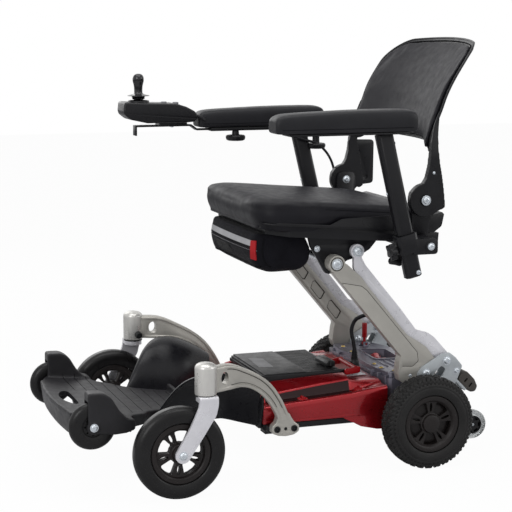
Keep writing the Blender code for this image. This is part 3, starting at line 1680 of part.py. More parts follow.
def soft_block(name, cells, place, flat_below):
    """A block gridded with its cells each way, whose points (-1 to 1 each way) a rule moves into place."""
    shape = bmesh.new()
    bmesh.ops.create_cube(shape, size=2.0)
    for axis, count in enumerate(cells):
        along = [
            edge for edge in shape.edges if abs(edge.verts[0].co[axis] - edge.verts[1].co[axis]) > 0.01
        ]
        bmesh.ops.subdivide_edges(shape, edges=along, cuts=count - 1)
    if flat_below:
        below = [v for v in shape.verts if v.co.z < -0.99 and max(abs(v.co.x), abs(v.co.y)) < 0.99]
        bmesh.ops.dissolve_verts(shape, verts=below)
    for vertex in shape.verts:
        vertex.co = place(*vertex.co)
    return from_bmesh(name, shape)


def corner_square(u, v, share_u, share_v):
    """Rounds the corners of a square grid, each over its own share of the sides."""
    reach_u = (abs(u) - 1 + share_u) / share_u
    reach_v = (abs(v) - 1 + share_v) / share_v
    if reach_u <= 0 or reach_v <= 0:
        return u, v
    new_u = reach_u * math.sqrt(1 - reach_v * reach_v / 2)
    new_v = reach_v * math.sqrt(1 - reach_u * reach_u / 2)
    return (
        math.copysign(1 - share_u + share_u * new_u, u),
        math.copysign(1 - share_v + share_v * new_v, v),
    )


def make_seat_cushion(looks):
    half_width = SHELL_HALF_WIDTH - SHELL_WALL - GAP
    half_length = (CUSHION_REAR - CUSHION_FRONT) / 2
    middle = (CUSHION_REAR + CUSHION_FRONT) / 2
    floor = GAP + SHELL_WALL + GAP
    turn = seat_turn()

    def place(u, v, w):
        share = 2 * CUSHION_CORNER if v < 0 else 0.05
        a, b = corner_square(u, v, share / half_width / 2, share / half_length / 2)
        height = (w + 1) / 2
        drawn = 0.0035 * math.sin(math.pi * height) if abs(u) > 0.99 or abs(v) > 0.99 else 0.0
        waist = 0.003 * (1 - v * v) * abs(u) ** 3
        across = a * half_width - math.copysign(drawn * (abs(u) > 0.99), u) - math.copysign(waist, u)
        front_tuck = 0.016 * (1 - height) ** 1.5 if v < -0.99 else 0.0
        along = middle + b * half_length - math.copysign(drawn * (abs(v) > 0.99), v) + front_tuck
        crown = CUSHION_CROWN * (1 - abs(u) ** 2.4) * (1 - abs(v) ** 2.8)
        roll = 0.006 * max(0.0, -v) ** 8
        above = floor + height * (CUSHION_CREASE - floor - roll) + max(0.0, w) ** 6 * crown
        return turn @ Vector((across, along, above))

    cushion = soft_block("cushion", (12, 10, 3), place, True)
    return finish(cushion, "seat_cushion", looks["vinyl"], (0, *seat_point(middle, 0.0)))


def make_pouch(looks):
    top = -SEAT_FRAME_DEPTH - GAP
    profile = [
        (*seat_point(-0.146, top), 0.004),
        (-0.0720, 0.474, 0.014),
        (-0.0640, 0.444, 0.014),
        (-0.0350, 0.431, 0.018),
        (0.0300, 0.432, 0.014),
        (0.0480, 0.444, 0.010),
        (0.0500, 0.480, 0.006),
        (*seat_point(-0.040, top), 0.004),
    ]
    pouch = plate("pouch", rounded(profile, 0.01), -POUCH_HALF_WIDTH, POUCH_HALF_WIDTH)
    pouch = soften(pouch, 0.006)
    return finish(pouch, "seat_pouch", looks["black_fabric"], (0, *seat_point(-0.08, top)))


BACK_LINE = (
    # height, y of the shell's front face at its side edges
    (0.690, 0.3190),
    (0.728, 0.3180),
    (0.768, 0.3260),
    (0.800, 0.3380),
    (0.830, 0.3530),
    (0.864, 0.3740),
    (0.904, 0.4020),
    (0.930, 0.4190),
)


def back_line(z):
    for (low, y_low), (high, y_high) in zip(BACK_LINE, BACK_LINE[1:]):
        if z <= high:
            return y_low + (y_high - y_low) * (z - low) / (high - low)
    return BACK_LINE[-1][1]


def back_y(x, z):
    """The shell's front face: the side edges' line, wrapped rearward toward the middle."""
    share = min(1.0, abs(x) / BACK_HALF_WIDTH)
    return back_line(z) + BACK_WRAP * (1 - share**2.2)


def back_outline(u, v, inset):
    """Across and up places on the back's face, whose top corners are round and top edge bowed."""
    a, b = corner_square(u, v, 0.30 if v > 0 else 0.16, 0.50 if v > 0 else 0.20)
    half = BACK_HALF_WIDTH - inset
    low = BACK_LOW + inset
    high = BACK_TOP - inset
    x = a * (half - 0.006 * max(0.0, b))
    z = (low + high) / 2 + b * (high - low) / 2
    z -= 0.012 * max(0.0, b) * (x / half) ** 2
    return x, z


def make_backrest(looks):
    shape = bmesh.new()
    bmesh.ops.create_grid(shape, x_segments=8, y_segments=8, size=1.0)
    for vertex in shape.verts:
        x, z = back_outline(vertex.co.x, vertex.co.y, 0.0)
        vertex.co = (x, back_y(x, z) + 0.0015, z)
    skin = from_bmesh("skin", shape)
    wall = skin.modifiers.new("wall", "SOLIDIFY")
    wall.thickness = 0.003
    wall.offset = 0.0
    shell = settle(skin)
    parts = []
    leg = rounded(
        [
            (0.2530, 0.592, 0.004),
            (0.2560, 0.605, 0.010),
            (0.2770, 0.631, 0.014),
            (0.2860, 0.655, 0.020),
            (0.2800, 0.679, 0.010),
            (0.2780, 0.700, 0.004),
            (0.3020, 0.704, 0.006),
            (0.3110, 0.728, 0.006),
            (0.3260, 0.742, 0.006),
            (0.3260, 0.668, 0.020),
            (0.3300, 0.612, 0.020),
            (0.3235, 0.575, 0.006),
        ],
        0.01,
    )
    inner = EAR_OUTER_X + PIN_CLEARANCE
    for side in (-1, 1):
        low, high = sorted((side * inner, side * LEG_OUTER_X))
        parts.append(plate("leg", leg, low, high))
        place = (BACK_PIVOT_Y, BACK_PIVOT_Z)
        lobe_ends = (low + 0.0003, high - 0.0003)
        parts.append(rod("lobe", (lobe_ends[0], *place), (lobe_ends[1], *place), BACK_LOBE_RADIUS))
        low, high = sorted((side * (EAR_OUTER_X - 0.0107), side * (LEG_OUTER_X - 0.004)))
        parts.append(box("flange", (low, 0.3238, 0.7065), (high, 0.3315, 0.738)))
    shell = join(shell, *parts)
    bores = []
    for side in (-1, 1):
        bores.append(
            bore(
                "back_bore",
                (side * (EAR_OUTER_X - 0.0092), BACK_PIVOT_Y, BACK_PIVOT_Z),
                (side * (LEG_OUTER_X + 0.019), BACK_PIVOT_Y, BACK_PIVOT_Z),
                BACK_PIN_RADIUS + PIN_CLEARANCE,
            )
        )
    shell = cut(shell, *bores)
    finish(shell, "back_shell", looks["black_plastic"], (0, BACK_PIVOT_Y, BACK_PIVOT_Z))

    def place(u, v, w):
        height = (w + 1) / 2
        x, z = back_outline(u, v, 0.007)
        edge = (1 - abs(u) ** 3) * (1 - abs(v) ** 3)
        rim = 0.0055
        seam = 0.0015 * math.exp(-(((abs(u) - 0.72) / 0.08) ** 2))
        crown = 0.010 * edge - seam * (abs(v) < 0.9)
        thin = 0.35 + 0.65 * min(1.0, (1 - v) / 0.9)
        drawn = 0.0025 * math.sin(math.pi * height)
        if abs(u) > 0.99:
            x -= math.copysign(drawn + 0.003 * (1 - v * v), u)
        if abs(v) > 0.99:
            z -= math.copysign(drawn, v)
        depth = BACK_CUSHION_GAP + height * (rim + max(0.0, w) ** 4 * (crown + 0.004) * thin)
        return Vector((x, back_y(x, z) - depth, z))

    cushion = soft_block("back_cushion", (10, 8, 2), place, False)
    finish(cushion, "back_cushion", looks["vinyl"], (0, back_y(0, BACK_LOW), BACK_LOW))
    return joint_frame("back_axis", shell.location, (shell, cushion))


def post_point(height):
    """The middle of the post, in side view, at a height."""
    return POST_FOOT_Y - (height - POST_FOOT_Z) * math.tan(POST_TILT)


def post_turn():
    """From post coordinates (across, fore and aft, along the post) to world ones."""
    return Matrix.Translation((0, POST_FOOT_Y, POST_FOOT_Z)) @ Matrix.Rotation(POST_TILT, 4, "X")


def make_clamps(looks):
    """The sleeve round the post, and the square bar that slides into the seat frame."""
    half = POST_WIDTH / 2
    depth = POST_DEPTH / 2
    wall = 0.005
    inner = EAR_OUTER_X + 0.0008
    outer = POST_X + half + wall
    sleeve = box(
        "sleeve",
        (POST_X - half - 0.012, -depth - wall, -0.044),
        (outer, depth + wall, -0.004),
        post_turn(),
    )
    sleeve = soften(sleeve, 0.002)
    block = box("block", (inner, POST_FOOT_Y + 0.014, 0.4735), (outer, 0.297, 0.5065))
    block = soften(block, 0.004)
    bar = box(
        "bar",
        (EAR_OUTER_X - BAR_LENGTH, RECEIVER_Y - BAR_SIZE / 2, RECEIVER_Z - BAR_SIZE / 2),
        (inner + 0.01, RECEIVER_Y + BAR_SIZE / 2, RECEIVER_Z + BAR_SIZE / 2),
    )
    bolt = rod("bolt", (outer - 0.001, 0.281, 0.490), (outer + 0.003, 0.281, 0.490), 0.007)
    knob_x = POST_X - 0.023
    stem = rod("t_stem", (knob_x, 0.2220, 0.452), (knob_x, 0.2290, 0.480), 0.0055)
    head = rod("t_head", (knob_x, 0.2030, 0.458), (knob_x, 0.2330, 0.4510), 0.0075)
    clamp = join(block, sleeve, bar, bolt, stem, head)
    reach = 0.0006
    hole = box(
        "post_hole",
        (POST_X - half - reach, -depth - reach, -0.10),
        (POST_X + half + reach, depth + reach, 0.10),
        post_turn(),
    )
    clamp = cut(clamp, hole)
    finish(clamp, "armrest_clamp", looks["black_paint"], (POST_X, RECEIVER_Y, RECEIVER_Z))
    neck_reach = 0.0035
    seated = post_turn() @ Matrix.Translation((POST_X, -depth - wall - GAP - neck_reach, -0.0324))
    star = []
    for index in range(15):
        turn = 2 * math.pi * (index + 0.5) / 15
        radius = 0.0125 if index % 3 == 1 else 0.0185
        star.append((radius * math.cos(turn), radius * math.sin(turn)))
    knob = plate("star_knob", star, -0.0145, 0.0, "Y")
    neck = rod("neck", (0, -0.002, 0), (0, neck_reach, 0), 0.007)
    knob = join(knob, neck)
    knob.data.transform(seated)
    finish(knob, "clamp_knob", looks["black_plastic"], seated.translation)
    clamps = both_sides(clamp, "armrest_clamp")
    knobs = both_sides(knob, "clamp_knob")
    frames = {}
    for index, side in enumerate(("left", "right")):
        frames[side] = joint_frame(f"width_axis_{side}", clamps[index].location, (clamps[index],))
        turn = joint_frame(f"knob_axis_{side}", knobs[index].location, (knobs[index],))
        turn.parent = frames[side]
        turn.matrix_parent_inverse = Matrix.Translation(-Vector(frames[side].location))
    return frames


PAD_PROFILE = (
    # share of the half width, share of the height
    (-0.86, 0.0),
    (0.86, 0.0),
    (0.98, 0.16),
    (1.0, 0.62),
    (0.88, 0.86),
    (0.60, 0.97),
    (-0.60, 0.97),
    (-0.88, 0.86),
    (-1.0, 0.62),
    (-0.98, 0.16),
)


def make_pad(side, drop):
    """An armrest pad with a crowned top, round shoulders and a nose that runs down at its front."""
    stations = (
        # y, height above the pad's foot, share of the half width
        (PAD_FRONT, 0.026, 0.70),
        (PAD_FRONT + 0.004, 0.033, 0.88),
        (PAD_FRONT + 0.014, 0.038, 0.97),
        (PAD_FRONT + 0.040, 0.041, 1.00),
        (0.060, 0.0455, 1.00),
        (0.180, PAD_TOP - PAD_LOW, 1.00),
        (PAD_REAR - 0.016, 0.046, 0.98),
        (PAD_REAR - 0.004, 0.041, 0.90),
        (PAD_REAR, 0.030, 0.76),
    )
    sections = []
    for y, height, width in stations:
        sections.append(
            [
                (
                    side * PAD_X + share * PAD_HALF_WIDTH * width,
                    y,
                    PAD_LOW - drop + rise * height + 0.002 * (1 - abs(share)) * (rise > 0.9),
                )
                for share, rise in PAD_PROFILE
            ]
        )
    return loft("pad", sections)


def make_armrests(looks, clamp_frames):
    """A post with the plate that carries its pad. The right one is set lower and holds two knobs."""
    half = POST_WIDTH / 2
    depth = POST_DEPTH / 2
    frames = {}
    for side, stem, drop in ((1, "left", 0.0), (-1, "right", RIGHT_DROP)):
        shift = Matrix.Translation((0, drop * math.tan(POST_TILT), -drop))
        low = (POST_LOW - POST_FOOT_Z) / math.cos(POST_TILT)
        high = (PAD_LOW - PAD_PLATE - POST_FOOT_Z + 0.006) / math.cos(POST_TILT)
        post = box(
            "post",
            (side * POST_X - half, -depth, low),
            (side * POST_X + half, depth, high),
            shift @ post_turn(),
        )
        post = soften(post, 0.003)
        plate_top = PAD_LOW - drop - GAP
        slab = box(
            "plate",
            (side * PAD_X - 0.025, PAD_FRONT + 0.030, plate_top - PAD_PLATE),
            (side * PAD_X + 0.025, PAD_REAR - 0.018, plate_top),
        )
        parts = [slab]
        if side < 0:
            for y in (0.024, 0.220):
                foot = plate_top - PAD_PLATE
                parts.append(
                    rod("stem", (-CONTROLLER_X, y, foot + 0.002), (-CONTROLLER_X, y, foot - 0.014), 0.0075)
                )
                parts.append(
                    rod(
                        "disc",
                        (-CONTROLLER_X, y, foot - 0.010),
                        (-CONTROLLER_X, y, foot - 0.024),
                        0.020,
                        0.0175,
                    )
                )
        armrest = join(post, *parts)
        top_cut = box(
            "above",
            (side * PAD_X - 0.06, -0.1, plate_top),
            (side * PAD_X + 0.06, 0.3, plate_top + 0.1),
        )
        cutters = [top_cut]
        if side < 0:
            cutters.append(
                box(
                    "bracket_slot",
                    (-CONTROLLER_X - 0.0115, PAD_FRONT, plate_top - PAD_PLATE + 0.0020),
                    (-CONTROLLER_X + 0.0115, 0.100, plate_top - 0.0015),
                )
            )
        armrest = cut(armrest, *cutters)
        place = (side * POST_X, post_point(POST_LOW - drop), POST_LOW - drop)
        finish(armrest, f"armrest_post_{stem}", looks["black_paint"], place)
        pad = make_pad(side, drop)
        finish(pad, f"armrest_pad_{stem}", looks["vinyl"], (side * PAD_X, PAD_REAR, PAD_LOW - drop))
        frames[stem] = joint_frame(f"height_axis_{stem}", place, (armrest, pad))
        frames[stem].parent = clamp_frames[stem]
        frames[stem].matrix_parent_inverse = Matrix.Translation(-Vector(clamp_frames[stem].location))
    return frames


def make_controller(looks, armrest_frame):
    """The joystick box on its sliding strip, with a sprung stick and two sprung buttons."""
    x = -CONTROLLER_X
    strip_top = PAD_LOW - RIGHT_DROP - GAP - 0.0015 - 0.0003
    strip_low = strip_top - 0.0037
    half = 0.011
    low_run = [
        (0.085, strip_top),
        (0.085, strip_low),
        (-0.0735, strip_low),
        (-0.0880, 0.7145),
        (-0.2165, 0.7145),
    ]
    hook = [(-0.2165, 0.695), (-0.2205, 0.695), (-0.2205, 0.7185)]
    high_run = [(-0.0860, 0.7185), (-0.0720, strip_top)]
    strip = plate("strip", low_run + hook + high_run, x - half, x + half)
    riser = box("riser", (x - 0.020, -0.165, 0.7175), (x + 0.020, -0.100, 0.7235))
    strip = join(strip, riser)
    finish(strip, "controller_bracket", looks["black_paint"], (x, -0.075, strip_low))

    top = [
        (-0.250, 0.7735),
        (-0.203, 0.7705),
        (-0.128, 0.768),
        (-0.104, 0.760),
        (-0.084, 0.750),
        (-0.075, 0.738),
    ]
    low = [
        (-0.084, 0.7255),
        (-0.104, 0.7240),
        (-0.189, 0.7238),
        (-0.228, 0.733),
        (-0.240, 0.746),
        (-0.252, 0.752),
    ]
    outline = rounded(top + low, 0.006)
    case = plate("case", outline, x - CONTROLLER_HALF_WIDTH, x + CONTROLLER_HALF_WIDTH)
    case = soften(case, 0.004)
    cup = rod("cup", (x, STICK_Y, 0.768), (x, STICK_Y, STICK_PIVOT_Z + 0.0005), 0.0235)
    case = join(case, cup)
    hollow = rod("hollow", (x, STICK_Y, 0.752), (x, STICK_Y, 0.80), 0.0195)
    cutters = [hollow]
    button_places = ((x, -0.150), (x, -0.122))
    for bx, by in button_places:
        hole_low = BUTTON_FOOT - BUTTON_PRESS - BUTTON_CLEARANCE
        hole_radius = BUTTON_RADIUS + BUTTON_CLEARANCE
        cutters.append(rod("button_hole", (bx, by, hole_low), (bx, by, 0.79), hole_radius))
    rail = 0.0025
    cutters.append(
        bore(
            "gimbal_bore",
            (x - 0.0225, STICK_Y, 0.764),
            (x + 0.0225, STICK_Y, 0.764),
            rail + PIN_CLEARANCE,
        )
    )
    case = cut(case, *cutters)
    finish(case, "controller_case", looks["black_plastic"], (x, -0.165, 0.7238))

    pivot = (x, STICK_Y, 0.764)
    ring = turned(
        "ring",
        [(0.0145, 0.003), (0.0145, -0.003), (0.0105, -0.003), (0.0105, 0.003)],
        pivot,
        "Z",
        16,
        closed=True,
    )
    axles = [
        rod("axle", (x + s * 0.0125, STICK_Y, 0.764), (x + s * 0.0215, STICK_Y, 0.764), rail)
        for s in (-1, 1)
    ]
    ring = join(ring, *axles)
    ring = cut(
        ring,
        bore("cross_bore", (x, STICK_Y - 0.02, 0.764), (x, STICK_Y + 0.02, 0.764), 0.0015 + PIN_CLEARANCE),
    )
    finish(ring, "joystick_gimbal", looks["bright_silver"], pivot)

    profile = [
        (0.0, STICK_TOP),
        (0.0060, STICK_TOP - 0.0012),
        (0.0110, STICK_TOP - 0.0060),
        (0.0130, STICK_TOP - 0.0130),
        (0.0118, STICK_TOP - 0.0210),
        (0.0098, STICK_TOP - 0.0300),
        (0.0095, STICK_TOP - 0.0440),
        (0.0140, STICK_TOP - 0.0465),
        (0.0255, STICK_TOP - 0.0490),
        (0.0255, STICK_TOP - 0.0505),
        (0.0130, STICK_TOP - 0.0510),
        (0.0135, STICK_TOP - 0.0540),
        (0.0135, STICK_TOP - 0.0580),
        (0.0060, STICK_TOP - 0.0610),
        (0.0050, 0.7590),
        (0.0, 0.7590),
    ]
    stick = turned("stick", profile, (x, STICK_Y, 0.0), "Z", 12)
    cross = rod("cross", (x, STICK_Y - 0.0140, 0.764), (x, STICK_Y + 0.0140, 0.764), 0.0015)
    stick = join(stick, cross)
    finish(stick, "joystick", looks["gloss_black"], pivot)

    moving = [strip, case]
    frame = joint_frame("controller_axis", strip.location, moving)
    for index, (bx, by) in enumerate(button_places):
        top_z = 0.7715 if index == 0 else 0.7700
        button = turned(
            "button",
            [
                (0.0, top_z),
                (0.0052, top_z - 0.0003),
                (BUTTON_RADIUS, top_z - 0.0018),
                (BUTTON_RADIUS, BUTTON_FOOT),
                (0.0, BUTTON_FOOT),
            ],
            (bx, by, 0.0),
            "Z",
            12,
        )
        name = ("power_button", "horn_button")[index]
        finish(button, name, looks["grey_plastic"], (bx, by, BUTTON_FOOT))
        axis = joint_frame(f"{name}_axis", button.location, (button,))
        axis.parent = frame
        axis.matrix_parent_inverse = Matrix.Translation(-Vector(frame.location))
    gimbal = joint_frame("gimbal_axis", pivot, (ring,))
    gimbal.parent = frame
    gimbal.matrix_parent_inverse = Matrix.Translation(-Vector(frame.location))
    stick_axis = joint_frame("stick_axis", pivot, (stick,))
    stick_axis.parent = gimbal
    stick_axis.matrix_parent_inverse = Matrix.Translation(-Vector(gimbal.location))
    frame.parent = armrest_frame
    frame.matrix_parent_inverse = Matrix.Translation(-Vector(armrest_frame.location))


CABLE_RADIUS = 0.0045
THIN_CABLE_RADIUS = 0.003
PLUG_X = 0.060
PLUG_Y = 0.2010

POWER_CABLE_STOPS = (
    (PLUG_X, PLUG_Y, 0.230),
    (0.0600, 0.1975, 0.250),
    (0.0600, 0.1930, 0.275),
    (0.0700, 0.1990, 0.300),
    (0.1000, 0.2150, 0.318),
    (0.1350, 0.2130, 0.337),
    (0.1580, 0.1900, 0.362),
    (0.1620, 0.1600, 0.396),
    (0.1600, 0.1330, 0.430),
    (0.1520, 0.1220, 0.460),
    (0.1450, 0.1230, 0.485),
    (0.1430, 0.1250, 0.5003),
)

CONTROL_CABLE_STOPS = (
    (0.0210 - POST_X, 0.1350, 0.6985),
    (0.0220 - POST_X, 0.1500, 0.6900),
    (0.0220 - POST_X, 0.1850, 0.6780),
    (0.0210 - POST_X, 0.2200, 0.6680),
    (0.0190 - POST_X, 0.2430, 0.6510),
    (0.0170 - POST_X, 0.2600, 0.6280),
    (0.0160 - POST_X, 0.2700, 0.6000),
    (0.0150 - POST_X, 0.2770, 0.5600),
    (0.0150 - POST_X, 0.2790, 0.5300),
    (0.0150 - POST_X, 0.2790, 0.5072),
)


def make_cables(looks):
    """The power cable from base to seat, and the control cable behind the right post, which it returns."""
    deck = 0.1800 + GAP
    plug = turned(
        "plug",
        [
            (0.0, 0.232),
            (CABLE_RADIUS + 0.0002, 0.232),
            (0.0075, 0.216),
            (0.0085, 0.206),
            (0.0100, 0.205),
            (0.0110, deck + 0.001),
            (0.0105, deck),
            (0.0, deck),
        ],
        (PLUG_X, PLUG_Y, 0.0),
        "Z",
        12,
    )
    route = smooth_route(
        ((PLUG_X, PLUG_Y, 0.231), *POWER_CABLE_STOPS[1:]), 2.6 * CABLE_RADIUS * 2
    )
    cable = tube("cable", route, CABLE_RADIUS)
    cable = join(cable, plug)
    finish(cable, "power_cable", looks["black_rubber"], (PLUG_X, PLUG_Y, deck))
    route = smooth_route(CONTROL_CABLE_STOPS, 2.8 * THIN_CABLE_RADIUS * 2)
    lead = tube("lead", route, THIN_CABLE_RADIUS)
    return finish(lead, "control_cable", looks["black_rubber"], CONTROL_CABLE_STOPS[0])


def make_looks():
    return {
        "red_paint": material("red_paint", (0.38, 0.015, 0.022), 0.28, 0.5),
        "red_plastic": material("red_plastic", (0.50, 0.012, 0.018), 0.35),
        "champagne": material("champagne", (0.52, 0.50, 0.46), 0.38, 0.8),
        "bright_silver": material("bright_silver", (0.66, 0.66, 0.69), 0.28, 0.9),
        "zinc": material("zinc", (0.56, 0.60, 0.62), 0.34, 0.85),
        "grey_casting": material("grey_casting", (0.30, 0.30, 0.34), 0.42, 0.6),
        "black_paint": material("black_paint", (0.018, 0.018, 0.021), 0.45, 0.2),
        "black_plastic": material("black_plastic", (0.020, 0.020, 0.023), 0.50),
        "grey_plastic": material("grey_plastic", (0.28, 0.28, 0.30), 0.45),
        "gloss_black": material("gloss_black", (0.016, 0.016, 0.020), 0.18),
        "vinyl": material("vinyl", (0.026, 0.027, 0.032), 0.46),
        "black_fabric": material("black_fabric", (0.020, 0.020, 0.026), 0.85),
        "tyre": material("tyre", (0.022, 0.022, 0.024), 0.72),
        "black_rubber": material("black_rubber", (0.020, 0.020, 0.022), 0.60),
        "grey_rubber": material("grey_rubber", (0.095, 0.088, 0.080), 0.65),
        "clear_wheel": material("clear_wheel", (0.55, 0.57, 0.58), 0.20),
    }


def main():
    clear_scene()
    looks = make_looks()
    make_chassis(looks)
    make_cover(looks)
    make_battery(looks)
    make_gearbox(looks)
    make_levers(looks)
    make_drive_unit(looks)
    make_drive_wheels(looks)
    make_brackets(looks)
    make_anti_tip(looks)
    make_arches(looks)
    make_casters(looks)
    make_leg_guards(looks)
    make_footplate(looks)
    make_lift_arms(looks)
    make_rear_links(looks)
    seat_frame = make_seat_frame(looks)
    seat = [seat_frame, make_seat_shell(looks), make_seat_cushion(looks), make_pouch(looks)]
    carried = [joint_frame("seat_axis", (0, *SEAT_PIVOT), seat), make_backrest(looks)]
    clamp_frames = make_clamps(looks)
    armrest_frames = make_armrests(looks, clamp_frames)
    make_controller(looks, armrest_frames["right"])
    carried += [*clamp_frames.values(), make_cables(looks)]
    for piece in carried:
        piece.location += Vector((0, *SEAT_CARRY))


main()
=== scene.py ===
"""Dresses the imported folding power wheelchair: detailed surfaces, cushions, pouch, cables and small parts.

The chair faces -Y, its left side is +X and the ground is z = 0. Everything is in metres.
"""
import json
import math
import random

import bmesh
import bpy
from mathutils import Matrix, Vector, noise
from mathutils.bvhtree import BVHTree


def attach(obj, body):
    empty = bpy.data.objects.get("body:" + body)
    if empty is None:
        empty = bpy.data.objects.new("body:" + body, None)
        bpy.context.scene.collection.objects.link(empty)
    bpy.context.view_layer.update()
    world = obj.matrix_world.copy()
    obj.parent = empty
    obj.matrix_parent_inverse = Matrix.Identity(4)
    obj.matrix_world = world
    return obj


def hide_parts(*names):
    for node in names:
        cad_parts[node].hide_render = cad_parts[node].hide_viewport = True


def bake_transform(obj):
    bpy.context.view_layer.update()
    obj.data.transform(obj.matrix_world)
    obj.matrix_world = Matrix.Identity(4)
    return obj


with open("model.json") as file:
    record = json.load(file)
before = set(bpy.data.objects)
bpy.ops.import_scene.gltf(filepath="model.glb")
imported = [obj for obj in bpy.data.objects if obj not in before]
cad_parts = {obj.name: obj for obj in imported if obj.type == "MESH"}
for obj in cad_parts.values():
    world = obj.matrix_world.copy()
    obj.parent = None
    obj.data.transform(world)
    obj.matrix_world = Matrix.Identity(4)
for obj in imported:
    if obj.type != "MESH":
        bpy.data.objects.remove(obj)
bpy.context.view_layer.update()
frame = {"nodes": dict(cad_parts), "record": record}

BODY_OF = {node: body for body, nodes in frame["record"]["behaviour"]["bodies"].items() for node in nodes}
GAP = 0.0003  # between parts that meet
WELD = 0.000002  # points nearer than this are one
BOTH = (-1, 1)  # the right side and the left side


def node(tree, kind, **values):
    made = tree.nodes.new(kind)
    for name, value in values.items():
        if name in made.inputs:
            made.inputs[name].default_value = value
        else:
            setattr(made, name, value)
    return made


def empty_tree(holder):
    holder.use_nodes = True
    holder.node_tree.nodes.clear()
    return holder.node_tree


def make_camera():
    """A camera at the photograph's viewing angle."""
    azimuth, elevation, roll = (math.radians(a) for a in (70.734, 8.9715, 0.1316))
    level = math.cos(elevation)
    back = Vector((math.sin(azimuth) * level, -math.cos(azimuth) * level, math.sin(elevation)))
    right = Vector((math.cos(azimuth), math.sin(azimuth), 0))
    up = back.cross(right)
    turned_right = right * math.cos(roll) + up * math.sin(roll)
    turned_up = up * math.cos(roll) - right * math.sin(roll)
    data = bpy.data.cameras.new("photo_camera")
    data.lens = 110.34
    data.sensor_width = 36.0
    data.clip_end = 40.0
    camera = bpy.data.objects.new("photo_camera", data)
    bpy.context.scene.collection.objects.link(camera)
    turn = Matrix((turned_right, turned_up, back)).transposed().to_4x4()
    camera.matrix_world = Matrix.Translation((3.2319, -1.1419, 0.9836)) @ turn
    bpy.context.scene.camera = camera


def make_world():
    """White to the camera and behind glass, a soft cool light to everything else."""
    world = bpy.data.worlds.new("studio")
    bpy.context.scene.world = world
    tree = empty_tree(world)
    links = tree.links
    out = node(tree, "ShaderNodeOutputWorld")
    mix = node(tree, "ShaderNodeMixShader")
    seen = node(tree, "ShaderNodeBackground", Color=(1, 1, 1, 1), Strength=1.0)
    light = node(tree, "ShaderNodeBackground", Color=(0.97, 0.98, 1.0, 1), Strength=0.3)
    path = node(tree, "ShaderNodeLightPath")
    seen_by = path.outputs["Is Camera Ray"]
    for kind in ("Is Transmission Ray", "Is Glossy Ray"):
        either = node(tree, "ShaderNodeMath", operation="MAXIMUM")
        links.new(seen_by, either.inputs[0])
        links.new(path.outputs[kind], either.inputs[1])
        seen_by = either.outputs[0]
    links.new(seen_by, mix.inputs["Fac"])
    links.new(light.outputs[0], mix.inputs[1])
    links.new(seen.outputs[0], mix.inputs[2])
    links.new(mix.outputs[0], out.inputs["Surface"])


def area_light(name, place, aim, size, power):
    """A white softbox: its place, what it faces, its width and height, and its watts."""
    data = bpy.data.lights.new(name, "AREA")
    data.shape = "RECTANGLE"
    data.size, data.size_y = size
    data.energy = power
    lamp = bpy.data.objects.new(name, data)
    bpy.context.scene.collection.objects.link(lamp)
    lamp.location = place
    lamp.rotation_euler = (Vector(aim) - Vector(place)).to_track_quat("-Z", "Y").to_euler()


def make_lights():
    middle = (0.0, 0.0, 0.4)
    area_light("top_box", (0.3, -0.2, 2.4), middle, (2.2, 1.6), 26)
    area_light("key_box", (1.9, -2.2, 1.7), middle, (1.4, 1.4), 24)
    area_light("rear_box", (1.6, 2.4, 1.5), middle, (1.4, 1.6), 14)
    area_light("far_box", (-2.4, -0.6, 1.6), middle, (1.6, 1.6), 12)


def make_floor():
    """A pale floor that the camera sees almost as white as the background, shadows included."""
    shape = bmesh.new()
    bmesh.ops.create_grid(shape, x_segments=1, y_segments=1, size=9.0)
    mesh = bpy.data.meshes.new("floor")
    shape.to_mesh(mesh)
    shape.free()
    floor = bpy.data.objects.new("floor", mesh)
    bpy.context.scene.collection.objects.link(floor)
    floor.location.z = -0.0005
    look = bpy.data.materials.new("pale_floor")
    tree = empty_tree(look)
    links = tree.links
    out = node(tree, "ShaderNodeOutputMaterial")
    diffuse = node(tree, "ShaderNodeBsdfDiffuse", Color=(0.86, 0.86, 0.87, 1))
    glow = node(tree, "ShaderNodeEmission", Color=(1, 1, 1, 1), Strength=1.0)
    path = node(tree, "ShaderNodeLightPath")
    share = node(tree, "ShaderNodeMath", operation="MULTIPLY")
    share.inputs[1].default_value = 0.97  # how much of what the camera sees is plain white
    mix = node(tree, "ShaderNodeMixShader")
    links.new(path.outputs["Is Camera Ray"], share.inputs[0])
    links.new(share.outputs[0], mix.inputs["Fac"])
    links.new(diffuse.outputs[0], mix.inputs[1])
    links.new(glow.outputs[0], mix.inputs[2])
    links.new(mix.outputs[0], out.inputs["Surface"])
    mesh.materials.append(look)


bpy.context.scene.view_settings.view_transform = "Standard"
make_camera()
make_world()
make_lights()
make_floor()


# Materials

LOOKS = {}


def wire(tree, source, output, target, entry):
    tree.links.new(source.outputs[output], target.inputs[entry])


